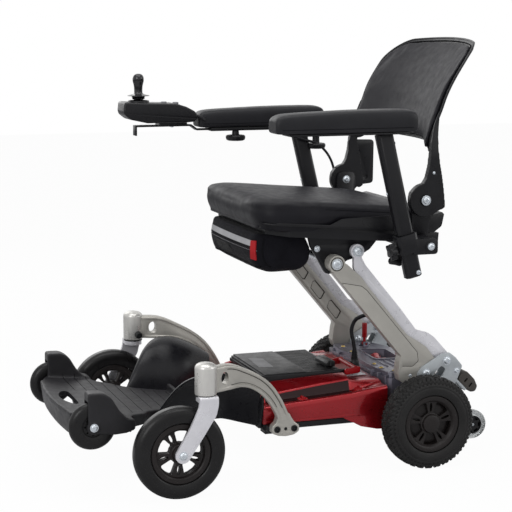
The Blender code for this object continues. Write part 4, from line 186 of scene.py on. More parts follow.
def surface(
    name, slot, colour, rough, metal=0.0, grains=(), mottle=0.12, coat=0.0, coat_rough=0.08, sheen=0.0,
    specular=0.24, clear=0.0,
):
    """A procedural look: mottled colour, uneven gloss and one or more layers of grain.

    A grain is (kind, scale, depth in metres): noise, cells, weave, ribs_x, ribs_y or ribs_z.
    """
    mottle_scale, rough_spread = 22.0, 0.06
    made = bpy.data.materials.new(name)
    made.use_nodes = True
    tree = made.node_tree
    shader = tree.nodes["Principled BSDF"]
    for entry, value in (
        ("Metallic", metal), ("Coat Weight", coat), ("Coat Roughness", coat_rough), ("Sheen Weight", sheen),
        ("Sheen Roughness", 0.45), ("Specular IOR Level", specular), ("Transmission Weight", clear),
    ):
        shader.inputs[entry].default_value = value
    coords = node(tree, "ShaderNodeTexCoord")
    clouds = node(tree, "ShaderNodeTexNoise", Scale=mottle_scale, Detail=4.0, Roughness=0.6)
    wire(tree, coords, "Object", clouds, "Vector")
    ramp = node(tree, "ShaderNodeValToRGB")
    for stop, place, level in zip(ramp.color_ramp.elements, (0.32, 0.7), (1 - mottle, 1 + mottle)):
        stop.position = place
        stop.color = (*(min(1, c * level) for c in colour), 1)
    wire(tree, clouds, "Fac", ramp, "Fac")
    wire(tree, ramp, "Color", shader, "Base Color")
    smudge = node(tree, "ShaderNodeTexNoise", Scale=mottle_scale * 2.6, Detail=3.0)
    wire(tree, coords, "Object", smudge, "Vector")
    spread = node(tree, "ShaderNodeMapRange")
    spread.inputs["From Min"].default_value = 0.3
    spread.inputs["From Max"].default_value = 0.7
    spread.inputs["To Min"].default_value = max(0.02, rough - rough_spread)
    spread.inputs["To Max"].default_value = min(1.0, rough + rough_spread)
    wire(tree, smudge, "Fac", spread, "Value")
    wire(tree, spread, "Result", shader, "Roughness")
    before = None
    for kind, scale, depth in grains:
        height = grain_height(tree, coords, kind, scale)
        bump = node(tree, "ShaderNodeBump", Strength=1.0, Distance=depth)
        tree.links.new(height, bump.inputs["Height"])
        if before:
            wire(tree, before, "Normal", bump, "Normal")
        before = bump
    if before:
        wire(tree, before, "Normal", shader, "Normal")
    LOOKS[name] = (made, slot)


def grain_height(tree, coords, kind, scale):
    """The height output of one kind of grain."""
    if kind == "noise":
        grain = node(tree, "ShaderNodeTexNoise", Scale=scale, Detail=2.0)
        wire(tree, coords, "Object", grain, "Vector")
        return grain.outputs["Fac"]
    if kind == "cells":
        grain = node(tree, "ShaderNodeTexVoronoi", Scale=scale)
        grain.feature = "SMOOTH_F1"
        wire(tree, coords, "Object", grain, "Vector")
        return grain.outputs["Distance"]
    if kind == "weave":
        waves = []
        for direction in ("X", "Z"):
            wave = node(tree, "ShaderNodeTexWave", Scale=scale, bands_direction=direction)
            wire(tree, coords, "Object", wave, "Vector")
            waves.append(wave)
        both = node(tree, "ShaderNodeMath", operation="MULTIPLY")
        for entry, wave in enumerate(waves):
            wire(tree, wave, "Fac", both, entry)
        return both.outputs[0]
    wave = node(tree, "ShaderNodeTexWave", Scale=scale, bands_direction=kind[-1].upper())
    wire(tree, coords, "Object", wave, "Vector")
    return wave.outputs["Fac"]


def make_looks():
    fine = (("noise", 900.0, 0.00006),)
    moulded = (("noise", 1400.0, 0.0001), ("noise", 160.0, 0.0001))
    hide = (("cells", 850.0, 0.00005), ("noise", 70.0, 0.0001))
    cast = (("noise", 500.0, 0.00005), ("noise", 60.0, 0.0001))
    plated = (("noise", 160.0, 0.00004),)
    surface("vinyl", "vinyl", (0.0105, 0.0103, 0.013), 0.46, grains=hide, specular=0.12)
    surface("pad_skin", "vinyl", (0.0165, 0.0165, 0.019), 0.42, grains=hide, specular=0.18)
    surface("back_skin", "vinyl", (0.015, 0.0145, 0.0175), 0.46, grains=hide, specular=0.1)
    surface("moulded", "moulded_black", (0.0095, 0.0095, 0.0108), 0.38, grains=moulded)
    surface("satin_shell", "moulded_black", (0.0085, 0.0085, 0.01), 0.32, grains=moulded)
    surface(
        "glossy_shell", "moulded_black", (0.012, 0.012, 0.0145), 0.3, grains=(("noise", 1400.0, 0.00006),),
    )
    surface("deck", "moulded_black", (0.017, 0.0165, 0.0185), 0.48, grains=moulded, mottle=0.2)
    surface("battery", "moulded_black", (0.0105, 0.0105, 0.012), 0.4, grains=moulded, mottle=0.2)
    surface(
        "tyre", "tyre_rubber", (0.0125, 0.012, 0.012), 0.58, grains=(("noise", 420.0, 0.00018),), mottle=0.25,
    )
    surface("rim", "moulded_black", (0.0135, 0.0108, 0.0105), 0.42, grains=moulded)
    surface("solid_tyre", "black_rubber", (0.0085, 0.0082, 0.0086), 0.3, grains=fine, mottle=0.2)
    surface("black_paint", "black_frame", (0.0072, 0.0072, 0.0088), 0.34, grains=fine)
    surface("black_steel", "black_steel", (0.008, 0.008, 0.0095), 0.3, metal=0.1, grains=fine)
    surface("motor", "motor_paint", (0.01, 0.01, 0.0115), 0.42, grains=cast)
    surface("champagne", "champagne", (0.43, 0.415, 0.38), 0.36, metal=0.35, grains=cast, mottle=0.05)
    surface("silver", "bright_silver", (0.72, 0.715, 0.75), 0.3, metal=0.3, grains=plated, mottle=0.04)
    surface("zinc", "zinc_plate", (0.45, 0.48, 0.5), 0.34, metal=0.4, grains=plated, mottle=0.08)
    surface("bolt", "zinc_plate", (0.62, 0.66, 0.7), 0.26, metal=0.55, grains=plated, mottle=0.05)
    surface("brass", "grey_casting", (0.45, 0.33, 0.11), 0.32, metal=0.9, grains=fine)
    surface("casting", "grey_casting", (0.165, 0.16, 0.2), 0.34, metal=0.4, grains=cast, mottle=0.1)
    surface(
        "red_paint", "red_cover", (0.31, 0.0075, 0.0125), 0.3, metal=0.6, grains=(("noise", 40.0, 0.0001),),
        mottle=0.06, coat=0.45, coat_rough=0.05,
    )
    surface("red_plastic", "red_plastic", (0.36, 0.006, 0.01), 0.3, grains=fine, mottle=0.08)
    surface("red_cloth", "red_plastic", (0.42, 0.012, 0.016), 0.6, grains=(("weave", 210.0, 0.0002),))
    surface("bumper", "grey_rubber", (0.064, 0.058, 0.052), 0.56, grains=moulded, mottle=0.15)
    surface("clear", "clear_wheel", (0.62, 0.64, 0.64), 0.16, grains=fine, mottle=0.06, clear=0.75)
    surface("cable", "black_rubber", (0.012, 0.012, 0.014), 0.4, grains=fine)
    surface(
        "pouch", "pouch_fabric", (0.0085, 0.0083, 0.011), 0.82,
        grains=(("weave", 175.0, 0.00035), ("noise", 30.0, 0.0008)), mottle=0.25, sheen=0.04, specular=0.06,
    )
    surface(
        "webbing", "pouch_fabric", (0.006, 0.006, 0.0075), 0.75, specular=0.06,
        grains=(("weave", 260.0, 0.0003),),
    )
    surface(
        "reflective", "pouch_fabric", (0.4, 0.4, 0.415), 0.5, grains=(("ribs_x", 120.0, 0.0004),),
        mottle=0.14,
    )
    surface(
        "patch", "pouch_fabric", (0.0045, 0.0045, 0.005), 0.6, specular=0.1,
        grains=(("weave", 320.0, 0.0002),),
    )
    surface("gloss_black", "gloss_black", (0.009, 0.009, 0.011), 0.14, mottle=0.1, coat=0.4)
    # the caster head's finish: smoother than the arch's champagne, and lighter as a painted highlight
    surface("smooth_champagne_painted_highlight", "champagne", (0.6, 0.59, 0.565), 0.3, metal=0.45, grains=plated, mottle=0.03)
    # painted shade: a dark copy of the red for the cover's channel floors
    surface("red_painted_shade", "red_cover", (0.018, 0.004, 0.0045), 0.34, grains=fine)
    # painted shade: a dark copy of the champagne finish, laid as strips in the arch's recess and the arm's
    # groove and pockets
    surface("groove_painted_shade", "champagne", (0.03, 0.029, 0.026), 0.6, grains=fine)
    surface("plain_plate", "moulded_black", (0.15, 0.15, 0.158), 0.42, metal=0.4, grains=fine, mottle=0.14)
    surface("keypad", "grey_plastic", (0.2, 0.2, 0.215), 0.42, grains=fine)


make_looks()


# Shape tools

PARTS = bpy.context.scene.collection


def add_object(name, data):
    obj = bpy.data.objects.new(name, data)
    PARTS.objects.link(obj)
    return obj


def face_out(shape):
    bmesh.ops.recalc_face_normals(shape, faces=shape.faces)
    if shape.calc_volume(signed=True) < 0:
        bmesh.ops.reverse_faces(shape, faces=shape.faces)


def from_bmesh(name, shape, outward=True):
    if outward:
        face_out(shape)
    mesh = bpy.data.meshes.new(name)
    shape.to_mesh(mesh)
    shape.free()
    return add_object(name, mesh)


def mend(mesh, flat_angle):
    """Welds a mesh, makes its faces within an angle of flat whole again and turns them outward."""
    shape = bmesh.new()
    shape.from_mesh(mesh)
    bmesh.ops.remove_doubles(shape, verts=shape.verts, dist=WELD)
    if flat_angle:
        limit = math.radians(flat_angle)
        bmesh.ops.dissolve_limit(shape, angle_limit=limit, verts=shape.verts, edges=shape.edges)
    face_out(shape)
    shape.to_mesh(mesh)
    shape.free()


def settle(obj, dissolve=True):
    """Makes the evaluated shape the object's own, in world space."""
    graph = bpy.context.evaluated_depsgraph_get()
    mesh = bpy.data.meshes.new_from_object(obj.evaluated_get(graph))
    mesh.transform(obj.matrix_world)
    name = obj.name
    bpy.data.objects.remove(obj, do_unlink=True)
    mend(mesh, 0.3 if dissolve else 0)
    return add_object(name, mesh)


def remesh(obj, voxel, smooths=0):
    """A form's skin rebuilt from even cells, with its edges run smooth."""
    modify(obj, "REMESH", mode="VOXEL", voxel_size=voxel)
    if smooths:
        modify(obj, "SMOOTH", factor=0.5, iterations=smooths)
    return settle(obj, False)


def shade(obj, angle=35):
    obj.data.shade_smooth()
    obj.data.set_sharp_from_angle(angle=math.radians(angle))
    return obj


def modify(obj, kind, **values):
    modifier = obj.modifiers.new(kind.lower(), kind)
    for name, value in values.items():
        setattr(modifier, name, value)
    return modifier


def soften(obj, width, segments=2, angle=30):
    modify(
        obj, "BEVEL", width=width, segments=segments, limit_method="ANGLE", angle_limit=math.radians(angle),
        miter_outer="MITER_ARC",
    )
    return settle(obj, False)


def wear(obj, look, body, *nodes, smooth=35):
    """Gives a piece its look, lets it ride on a body and has it stand for CAD nodes."""
    material, slot = LOOKS[look]
    obj.data.materials.clear()
    obj.data.materials.append(material)
    if smooth:
        shade(obj, smooth)
    if nodes:
        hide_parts(*nodes)
    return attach(obj, body)


def copy_of(node_name, name=None):
    """A copy of a CAD node's mesh, its flat faces whole again, to be dressed."""
    mesh = frame["nodes"][node_name].data.copy()
    mend(mesh, 0.5)
    mesh.materials.clear()
    return add_object(name or node_name + "_dressed", mesh)


def dress(node_name, look, bevel):
    """A CAD node with eased edges and a detailed look, in the node's own place."""
    obj = copy_of(node_name)
    modify(
        obj, "BEVEL", width=bevel, segments=2, limit_method="ANGLE", angle_limit=math.radians(32),
        use_clamp_overlap=True,
    )
    return wear(settle(obj, False), look, BODY_OF[node_name], node_name)


def mirrored(obj, name):
    """The mirror image of a left piece, for the right side."""
    mesh = obj.data.copy()
    mesh.transform(obj.matrix_world)
    mesh.transform(Matrix.Scale(-1, 4, (1, 0, 0)))
    mesh.flip_normals()
    return add_object(name, mesh)


def pair_wear(obj, stem, look, body_stem, nodes=True, smooth=35):
    """The left piece and its mirror image, each on its own side's body."""
    other = mirrored(obj, stem + "_right_form")
    obj.name = stem + "_left_form"
    for piece, side in ((obj, "left"), (other, "right")):
        body = body_stem.replace("SIDE", side)
        wear(piece, look, body, *([f"{stem}_{side}"] if nodes else []), smooth=smooth)


def pair_of(stem, look, body_stem, *pieces, smooth=35):
    """Pieces that stand for no CAD node, made one and worn on both sides."""
    pair_wear(merge(stem, *pieces), stem, look, body_stem, nodes=False, smooth=smooth)


def span(side, near, far):
    """A left span of x taken to a side, its low end first."""
    return sorted((side * near, side * far))


def toward(direction):
    """The turn that takes the Z axis to a direction."""
    return Vector((0, 0, 1)).rotation_difference(Vector(direction)).to_matrix().to_4x4()


def on_circle(count):
    """Angles evenly round a circle."""
    return [2 * math.pi * index / count for index in range(count)]


def box(name, low, high, turn=None):
    shape = bmesh.new()
    bmesh.ops.create_cube(shape, size=1.0)
    bmesh.ops.scale(shape, vec=Vector(high) - Vector(low), verts=shape.verts)
    bmesh.ops.translate(shape, vec=(Vector(high) + Vector(low)) / 2, verts=shape.verts)
    if turn:
        shape.transform(turn)
    return from_bmesh(name, shape)


def rod(name, start, end, radius, end_radius=None, sides=32):
    start = Vector(start)
    along = Vector(end) - start
    shape = bmesh.new()
    bmesh.ops.create_cone(
        shape, cap_ends=True, segments=sides, radius1=radius,
        radius2=radius if end_radius is None else end_radius, depth=along.length,
    )
    shape.transform(Matrix.Translation(start + along / 2) @ toward(along))
    return from_bmesh(name, shape)


def lathe(name, profile, centre, axis="X", steps=64, closed=False):
    """A profile of (radius, along) points turned about an axis through a centre."""
    shape = bmesh.new()
    rings = []
    for radius, along in profile:
        if radius < 1e-6:
            rings.append([shape.verts.new((0, 0, along))] * steps)
            continue
        rings.append(
            [shape.verts.new((radius * math.cos(t), radius * math.sin(t), along)) for t in on_circle(steps)]
        )
    pairs = list(zip(rings, rings[1:]))
    if closed:
        pairs.append((rings[-1], rings[0]))
    for low, high in pairs:
        for index in range(steps):
            after = (index + 1) % steps
            corners = []
            for vertex in (low[index], low[after], high[after], high[index]):
                if vertex not in corners:
                    corners.append(vertex)
            if len(corners) > 2:
                shape.faces.new(corners)
    turn = Matrix.Identity(4)
    if axis == "X":
        turn = Matrix.Rotation(math.pi / 2, 4, "Y")
    elif axis == "Y":
        turn = Matrix.Rotation(-math.pi / 2, 4, "X")
    shape.transform(Matrix.Translation(centre) @ turn)
    return from_bmesh(name, shape)


def plate(name, outline, low, high, axis="X", holes=()):
    """A flat outline with holes, given a thickness from low to high along an axis."""
    curve = bpy.data.curves.new(name, "CURVE")
    curve.dimensions = "2D"
    curve.fill_mode = "BOTH"
    curve.extrude = (high - low) / 2
    for ring in (outline, *holes):
        spline = curve.splines.new("POLY")
        spline.points.add(len(ring) - 1)
        for point, place in zip(spline.points, ring):
            point.co = (*place, 0.0, 1.0)
        spline.use_cyclic_u = True
    obj = add_object(name, curve)
    middle = (low + high) / 2
    if axis == "X":
        obj.rotation_euler = (math.pi / 2, 0, math.pi / 2)
        obj.location = (middle, 0, 0)
    elif axis == "Y":
        obj.rotation_euler = (math.pi / 2, 0, 0)
        obj.location = (0, middle, 0)
    else:
        obj.location = (0, 0, middle)
    bpy.context.view_layer.update()
    return settle(obj)


def loft(name, sections, around=False):
    """A skin over closed sections with as many points each, its ends capped or joined up around."""
    shape = bmesh.new()
    rings = [[shape.verts.new(point) for point in section] for section in sections]
    count = len(rings[0])
    for low, high in zip(rings, rings[1:] + rings[:around]):
        for index in range(count):
            after = (index + 1) % count
            shape.faces.new((low[index], low[after], high[after], high[index]))
    if not around:
        shape.faces.new(list(reversed(rings[0])))
        shape.faces.new(rings[-1])
    return from_bmesh(name, shape)


def grid_sheet(name, rows, thickness=0.0):
    """An open sheet over rows of points, made solid if it has a thickness."""
    shape = bmesh.new()
    grid = [[shape.verts.new(point) for point in row] for row in rows]
    for near, far in zip(grid, grid[1:]):
        for index in range(len(near) - 1):
            shape.faces.new((near[index], near[index + 1], far[index + 1], far[index]))
    bmesh.ops.recalc_face_normals(shape, faces=shape.faces)
    obj = from_bmesh(name, shape, outward=False)
    if thickness:
        modify(obj, "SOLIDIFY", thickness=thickness, offset=0.0)
        obj = settle(obj, False)
    return obj


def spline_through(stops, steps):
    """Points on a Catmull-Rom curve through stops of any number of values."""
    stops = [tuple(stop) for stop in stops]
    first = tuple(2 * a - b for a, b in zip(stops[0], stops[1]))
    last = tuple(2 * a - b for a, b in zip(stops[-1], stops[-2]))
    ends = [first, *stops, last]

    def between(t, a, b, c, d):
        bend = (2 * a - 5 * b + 4 * c - d) * t * t
        return (2 * b + (c - a) * t + bend + (3 * b - a - 3 * c + d) * t * t * t) / 2

    fine = []
    for four in zip(ends, ends[1:], ends[2:], ends[3:]):
        fine += [tuple(between(step / steps, *values) for values in zip(*four)) for step in range(steps)]
    return fine + [stops[-1]]


def tube(name, points, radius, sides=16):
    """A round tube along a smooth line of points."""
    points = [Vector(point) for point in points]
    rings = []
    across = None
    for index, point in enumerate(points):
        ahead = points[min(index + 1, len(points) - 1)] - points[max(index - 1, 0)]
        ahead.normalize()
        if across is None:
            across = ahead.orthogonal().normalized()
        across = (across - ahead * across.dot(ahead)).normalized()
        other = ahead.cross(across)
        rings.append(
            [point + (across * math.cos(t) + other * math.sin(t)) * radius for t in on_circle(sides)]
        )
    return loft(name, rings)


def strip(name, points, normals, width, thickness):
    """A flat ribbon along a line of points, each with the direction it lies flat against."""
    rings = []
    for index, (point, up) in enumerate(zip(points, normals)):
        ahead = Vector(points[min(index + 1, len(points) - 1)]) - Vector(points[max(index - 1, 0)])
        up = Vector(up).normalized()
        side = ahead.cross(up).normalized()
        rings.append(
            [
                Vector(point) + side * (a * width / 2) + up * (b * thickness)
                for a, b in ((-1, 0), (-0.96, 1), (0.96, 1), (1, 0))
            ]
        )
    return loft(name, rings)


def circle(a, b, radius, sides=48):
    return [(a + radius * math.cos(turn), b + radius * math.sin(turn)) for turn in on_circle(sides)]


def rounded(corners, radius, steps=7):
    """An outline whose corners are rounded. A corner's own radius may be its third value."""
    outline = []
    for index, corner in enumerate(corners):
        here = Vector(corner[:2])
        before = Vector(corners[index - 1][:2]) - here
        after = Vector(corners[(index + 1) % len(corners)][:2]) - here
        wanted = corner[2] if len(corner) > 2 else radius
        if wanted == 0:
            outline.append(tuple(here))
            continue
        reach = wanted / math.tan(before.angle(after) / 2)
        reach = min(reach, 0.48 * before.length, 0.48 * after.length)
        start = here + before.normalized() * reach
        end = here + after.normalized() * reach
        for step in range(steps + 1):
            t = step / steps
            outline.append(tuple(start.lerp(here, t).lerp(here.lerp(end, t), t)))
    return outline


def combine(obj, others, operation):
    for other in others:
        modify(obj, "BOOLEAN", operation=operation, object=other, solver="EXACT")
    solid = settle(obj)
    for other in others:
        bpy.data.objects.remove(other, do_unlink=True)
    return solid


def join(obj, *others):
    return combine(obj, others, "UNION")


def cut(obj, *others):
    return combine(obj, others, "DIFFERENCE")


def merge(name, *pieces):
    """Several separate closed forms as one object."""
    shape = bmesh.new()
    for piece in pieces:
        mesh = piece.data.copy()
        mesh.transform(piece.matrix_world)
        shape.from_mesh(mesh)
        bpy.data.meshes.remove(mesh)
        bpy.data.objects.remove(piece, do_unlink=True)
    return from_bmesh(name, shape, outward=False)


def bolt_head(place, axis, radius, height=None):
    """A button-head screw with its washer: a domed head with a socket."""
    height = height or radius * 0.55
    shares = (
        (0.0, 0.55), (0.36, 0.55), (0.4, 0.98), (0.62, 0.92), (0.84, 0.62), (0.92, 0.3), (0.92, 0.16),
        (1.12, 0.14),
    )
    profile = [(radius * out, height * up) for out, up in shares]
    profile += [(radius * 1.14, 0.0), (0.0, -0.0004)]
    head = lathe("screw", profile, (0, 0, 0), "Z", 24)
    head.data.transform(Matrix.Translation(place) @ toward(axis))
    return head


def bolts(name, spots, body, look="bolt"):
    """Screw heads as one piece: each spot is (place, axis, radius)."""
    wear(merge(name, *[bolt_head(*spot) for spot in spots]), look, body, smooth=40)


# Wheels

DRIVE_PLACE = (0.24, 0.297, 0.1015)
CASTER_PLACE = (0.28, -0.274, 0.096)
FRONT_WHEEL_PLACE = (0.198, -0.4335, 0.144)
ANTI_TIP_PLACE = (0.15, 0.45, 0.06)


def ease(value, low, high):
    t = min(1.0, max(0.0, (value - low) / (high - low)))
    return t * t * (3 - 2 * t)


def groove(phase, width, edge):
    """Zero on a block and one in the groove round a whole phase."""
    near = abs(phase - round(phase))
    return 1 - ease(near, width - edge, width + edge)


def tread_depth(turn, side):
    """How deep the tread lies at a turn (0 to 1) and a place across it (-1 to 1)."""
    pitch = 30
    across = abs(side)
    stagger = 0.5 if side > 0 else 0.0
    slant = turn * pitch + stagger + 0.85 * across
    cross = groove(slant, 0.17, 0.07)
    ring = 1 - ease(abs(across - 0.4), 0.035, 0.07)
    weave = 1 - ease(abs(across - 0.06 - 0.07 * math.sin(2 * math.pi * turn * pitch)), 0.03, 0.07)
    lug = groove(turn * pitch * 2 + stagger, 0.22, 0.08) * ease(across, 0.6, 0.72)
    return max(cross * (1 - ease(across, 0.74, 0.82)), ring, weave * 0.9, lug)


def drive_tyre():
    """The drive wheel's tyre: a lathe form whose tread is cut in point by point."""
    radius, half, bead = 0.1015, 0.03, 0.0632
    steps, across = ((540, 58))
    centre = Vector(DRIVE_PLACE)
    side = [
        (bead + 0.0006, half - 0.006, 0.0), (bead + 0.0004, half - 0.0035, 0.0),
        (bead + 0.0028, half - 0.002, 0.0), (bead + 0.0075, half - 0.0002, 0.0), (bead + 0.013, half, 0.0),
        (bead + 0.0175, half - 0.0006, 0.0), (bead + 0.018, half - 0.0011, 0.0),
        (bead + 0.019, half - 0.0011, 0.0), (bead + 0.0196, half - 0.0008, 0.0),
        (bead + 0.0225, half - 0.0016, 0.0), (bead + 0.0245, half - 0.0028, 0.35),
        (bead + 0.0262, half - 0.0042, 0.65),
    ]
    profile = list(side)
    for index in range(across + 1):
        turn = math.pi / 2 * (1 - 2 * index / across)
        flat = math.copysign(abs(math.sin(turn)) ** 0.8, turn)
        profile.append(
            (radius - 0.0115 + 0.0115 * max(0.0, math.cos(turn)) ** 0.42, flat * (half - 0.005), 1.0)
        )
    profile += [(r, -x, share) for r, x, share in reversed(side)]
    rings = []
    for index in range(steps):
        turn = index / steps
        angle = 2 * math.pi * turn
        ring = []
        for r, x, share in profile:
            depth = 0.0034 * share * tread_depth(turn, x / (half - 0.004)) if share else 0.0
            place = Vector((x, (r - depth) * math.cos(angle), (r - depth) * math.sin(angle)))
            ring.append(centre + place)
        rings.append(ring)
    tyre = loft("drive_tyre", rings, around=True)
    pair_wear(tyre, "drive_tyre", "tyre", "drive_wheel_SIDE", smooth=50)


def there_and_back(side):
    """A wheel's profile: one side's (radius, along) points, then their mirror images."""
    return side + [(r, -along) for r, along in reversed(side)]


def wedge(centre, inner, outer, angle, half_spread):
    """A window between two radii, narrower at its inner end."""
    points = []
    for radius, signs in ((inner, (-1, 0, 1)), (outer, (1, 0.33, -0.33, -1))):
        for sign in signs:
            turn = angle + sign * half_spread
            points.append((centre[0] + radius * math.cos(turn), centre[1] + radius * math.sin(turn)))
    return points


def lens(centre, inner, outer, angle, half_width):
    """An oval slot along a spoke."""
    points = []
    for turn in on_circle(20):
        along = (inner + outer) / 2 + (outer - inner) / 2 * math.cos(turn)
        across = half_width * math.sin(turn)
        y = centre[0] + along * math.cos(angle) - across * math.sin(angle)
        points.append((y, centre[1] + along * math.sin(angle) + across * math.cos(angle)))
    return points


def spoked_disc(name, place, profile, hub, reach, spread, slot, turn, x_range):
    """A turned disc with five windows between its spokes and a slot in each spoke."""
    disc = lathe(name, profile, place, "X", 96)
    centre = place[1:]
    cutters = []
    for index, step in enumerate(on_circle(5)):
        angle = turn + step
        window = rounded(wedge(centre, hub + 0.0035, reach, angle, math.radians(spread)), 0.004, 4)
        cutters.append(plate(f"window_{index}", window, *x_range))
        opening = lens(centre, hub + 0.0055, reach - 0.002, angle + math.pi / 5, slot)
        cutters.append(plate(f"slot_{index}", opening, *x_range))
    return soften(cut(disc, *cutters), 0.0011, 2, 40)


def drive_rim():
    x = DRIVE_PLACE[0]
    profile = [
        (0.0, 0.0265), (0.008, 0.0264), (0.015, 0.0258), (0.019, 0.0243), (0.02, 0.0225), (0.0205, 0.0185),
        (0.0225, 0.017), (0.048, 0.0185), (0.0505, 0.0235), (0.053, 0.0255), (0.057, 0.0262), (0.061, 0.0258),
        (0.0625, 0.024), (0.0625, -0.024), (0.056, -0.025), (0.05, -0.02), (0.049, 0.004), (0.021, 0.005),
        (0.02, -0.013), (0.0, -0.013),
    ]
    disc = spoked_disc(
        "drive_rim", DRIVE_PLACE, profile, 0.02, 0.048, 21.5, 0.003, math.radians(54), (x, x + 0.03),
    )
    drum = [(0.0, 0.01), (0.038, 0.01), (0.044, 0.0086), (0.0488, 0.006), (0.0488, -0.012), (0.0, -0.012)]
    disc = merge("drive_rim", disc, lathe("drum", drum, DRIVE_PLACE, "X", 72))
    pair_wear(disc, "drive_rim", "rim", "drive_wheel_SIDE")


def caster_tyre():
    radius, half, bead = 0.096, 0.02, 0.0632
    side = [
        (bead, half - 0.004), (bead + 0.0008, half - 0.0022), (bead + 0.0022, half - 0.001),
        (bead + 0.0035, half - 0.0003), (bead + 0.014, half), (radius - 0.011, half - 0.0002),
        (radius - 0.0075, half - 0.0014), (radius - 0.0048, half - 0.0034), (radius - 0.0032, half - 0.0052),
        (radius - 0.0038, half - 0.0057), (radius - 0.0026, half - 0.0064), (radius - 0.0018, half - 0.008),
        (radius - 0.0026, half - 0.0086), (radius - 0.0013, half - 0.0094), (radius - 0.0007, half - 0.0112),
        (radius - 0.0016, half - 0.0118), (radius - 0.0004, half - 0.0126), (radius, half - 0.016),
    ]
    profile = there_and_back(side)
    tyre = lathe("caster_tyre", profile, CASTER_PLACE, "X", 144, closed=True)
    pair_wear(tyre, "caster_tyre", "solid_tyre", "caster_SIDE", smooth=28)


def caster_rim():
    x = CASTER_PLACE[0]
    face = [
        (0.016, 0.0156), (0.017, 0.014), (0.0175, 0.01), (0.019, 0.0085), (0.049, 0.0085), (0.0505, 0.015),
        (0.053, 0.0168), (0.061, 0.0168), (0.0628, 0.0155),
    ]
    profile = [(0.0, 0.017), (0.012, 0.0168)] + there_and_back(face) + [(0.0, -0.017)]
    disc = spoked_disc(
        "caster_rim", CASTER_PLACE, profile, 0.0185, 0.0475, 20, 0.0036, math.radians(85),
        (x - 0.03, x + 0.03),
    )
    pair_wear(disc, "caster_rim", "rim", "caster_SIDE")


def front_wheel():
    x, y, z = FRONT_WHEEL_PLACE
    radius, half = 0.0495, 0.012
    side = [
        (0.0046, half - 0.001), (0.0125, half - 0.001), (0.0132, half - 0.003), (0.0205, half - 0.0032),
        (0.0215, half - 0.0012), (0.0225, half - 0.0006), (0.033, half), (0.0405, half - 0.0006),
        (0.044, half - 0.0022), (0.0468, half - 0.005), (0.0486, half - 0.008), (radius, half - 0.0112),
    ]
    profile = there_and_back(side)
    wheel = lathe("front_wheel", profile, FRONT_WHEEL_PLACE, "X", 96, closed=True)
    holes = []
    for index, (hole_y, hole_z) in enumerate(circle(y, z, 0.017, 8)):
        holes.append(plate(f"hole_{index}", circle(hole_y, hole_z, 0.0021, 16), x - 0.02, x + 0.02))
    wheel = cut(wheel, *holes)
    pair_wear(wheel, "front_wheel", "solid_tyre", "foot_wheel_SIDE", smooth=28)


def anti_tip_wheel():
    x, y, z = ANTI_TIP_PLACE
    outer = [
        (0.0205, 0.0085), (0.0225, 0.0102), (0.028, 0.0108), (0.031, 0.0092), (0.0326, 0.0055), (0.033, 0.0),
    ]
    profile = outer + [(r, -along) for r, along in reversed(outer[:-1])]
    ring = lathe("anti_tip_ring", profile, ANTI_TIP_PLACE, "X", 72, closed=True)
    pair_wear(ring, "anti_tip_wheel", "clear", "tail_wheel_SIDE", smooth=40)
    hub = [
        (0.0046, 0.0108), (0.0105, 0.0108), (0.0115, 0.0085), (0.0175, 0.008), (0.0185, 0.0095),
        (0.0203, 0.0095), (0.0203, -0.0095), (0.0115, -0.0085), (0.0105, -0.01), (0.0046, -0.01),
    ]
    disc = lathe("anti_tip_hub", hub, ANTI_TIP_PLACE, "X", 60, closed=True)
    cutters = []
    for index, turn in enumerate(on_circle(6)):
        window = rounded(wedge((y, z), 0.0125, 0.0172, turn, math.radians(19)), 0.001, 3)
        cutters.append(plate(f"window_{index}", window, x + 0.002, x + 0.02))
    disc = cut(disc, *cutters)
    pair_wear(disc, "anti_tip_hub", "moulded", "tail_wheel_SIDE", nodes=False)


drive_tyre()
drive_rim()
caster_tyre()
caster_rim()
front_wheel()
anti_tip_wheel()


# Arches, forks, leg guards and footplate

SWIVEL = (0.286, -0.219)
HEAD_LOW, HEAD_TOP, HEAD_RADIUS = 0.213, 0.272, 0.0225
ARCH_OUTER = 0.2325
ARCH_STATIONS = (
    # top y, top z, bottom y, bottom z, middle x, half width, depth of the recess
    (-0.206, 0.2685, -0.206, 0.2165, 0.285, 0.0135, 0.0),
    (-0.16, 0.267, -0.162, 0.2165, 0.265, 0.013, 0.3),
    (-0.117, 0.249, -0.133, 0.2155, 0.25, 0.012, 1.0),
    (-0.082, 0.229, -0.107, 0.207, 0.24, 0.0115, 1.0),
    (-0.057, 0.206, -0.0815, 0.189, 0.233, 0.011, 1.0),
    (-0.037, 0.177, -0.0615, 0.166, 0.2285, 0.0105, 1.0),
    (-0.024, 0.151, -0.0465, 0.14, 0.225, 0.01, 0.6),
    (-0.015, 0.133, -0.044, 0.126, 0.2232, 0.01, 0.0),
)


def arch_section(station):
    """A section of the arch, its outer and inner faces recessed between two ribs."""
    top_y, top_z, low_y, low_z, x, half, depth = station
    top, low = Vector((top_y, top_z)), Vector((low_y, low_z))
    rib = min(0.22, 0.0062 / (low - top).length)
    dip = 0.42 * depth
    fine = 0.4 * depth
    outer = [
        (0.8, 0.0), (0.95, 0.02), (1.0, 0.07), (1.0, rib * 0.9), (1.0 - dip, rib * 1.15),
        (1.0 - dip * 0.85, rib * 1.9), (1.0 - dip * 0.72, 0.5), (1.0 - dip * 0.85, 1 - rib * 1.9),
        (1.0 - fine, 1 - rib * 1.45), (1.0 - fine, 1 - rib * 1.25), (1.0, 1 - rib * 1.0), (1.0, 0.94),
        (0.95, 0.98), (0.8, 1.0),
    ]
    ring = outer + [(-a, b) for a, b in reversed(outer)]
    return [(x + across * half, *top.lerp(low, share)) for across, share in ring]


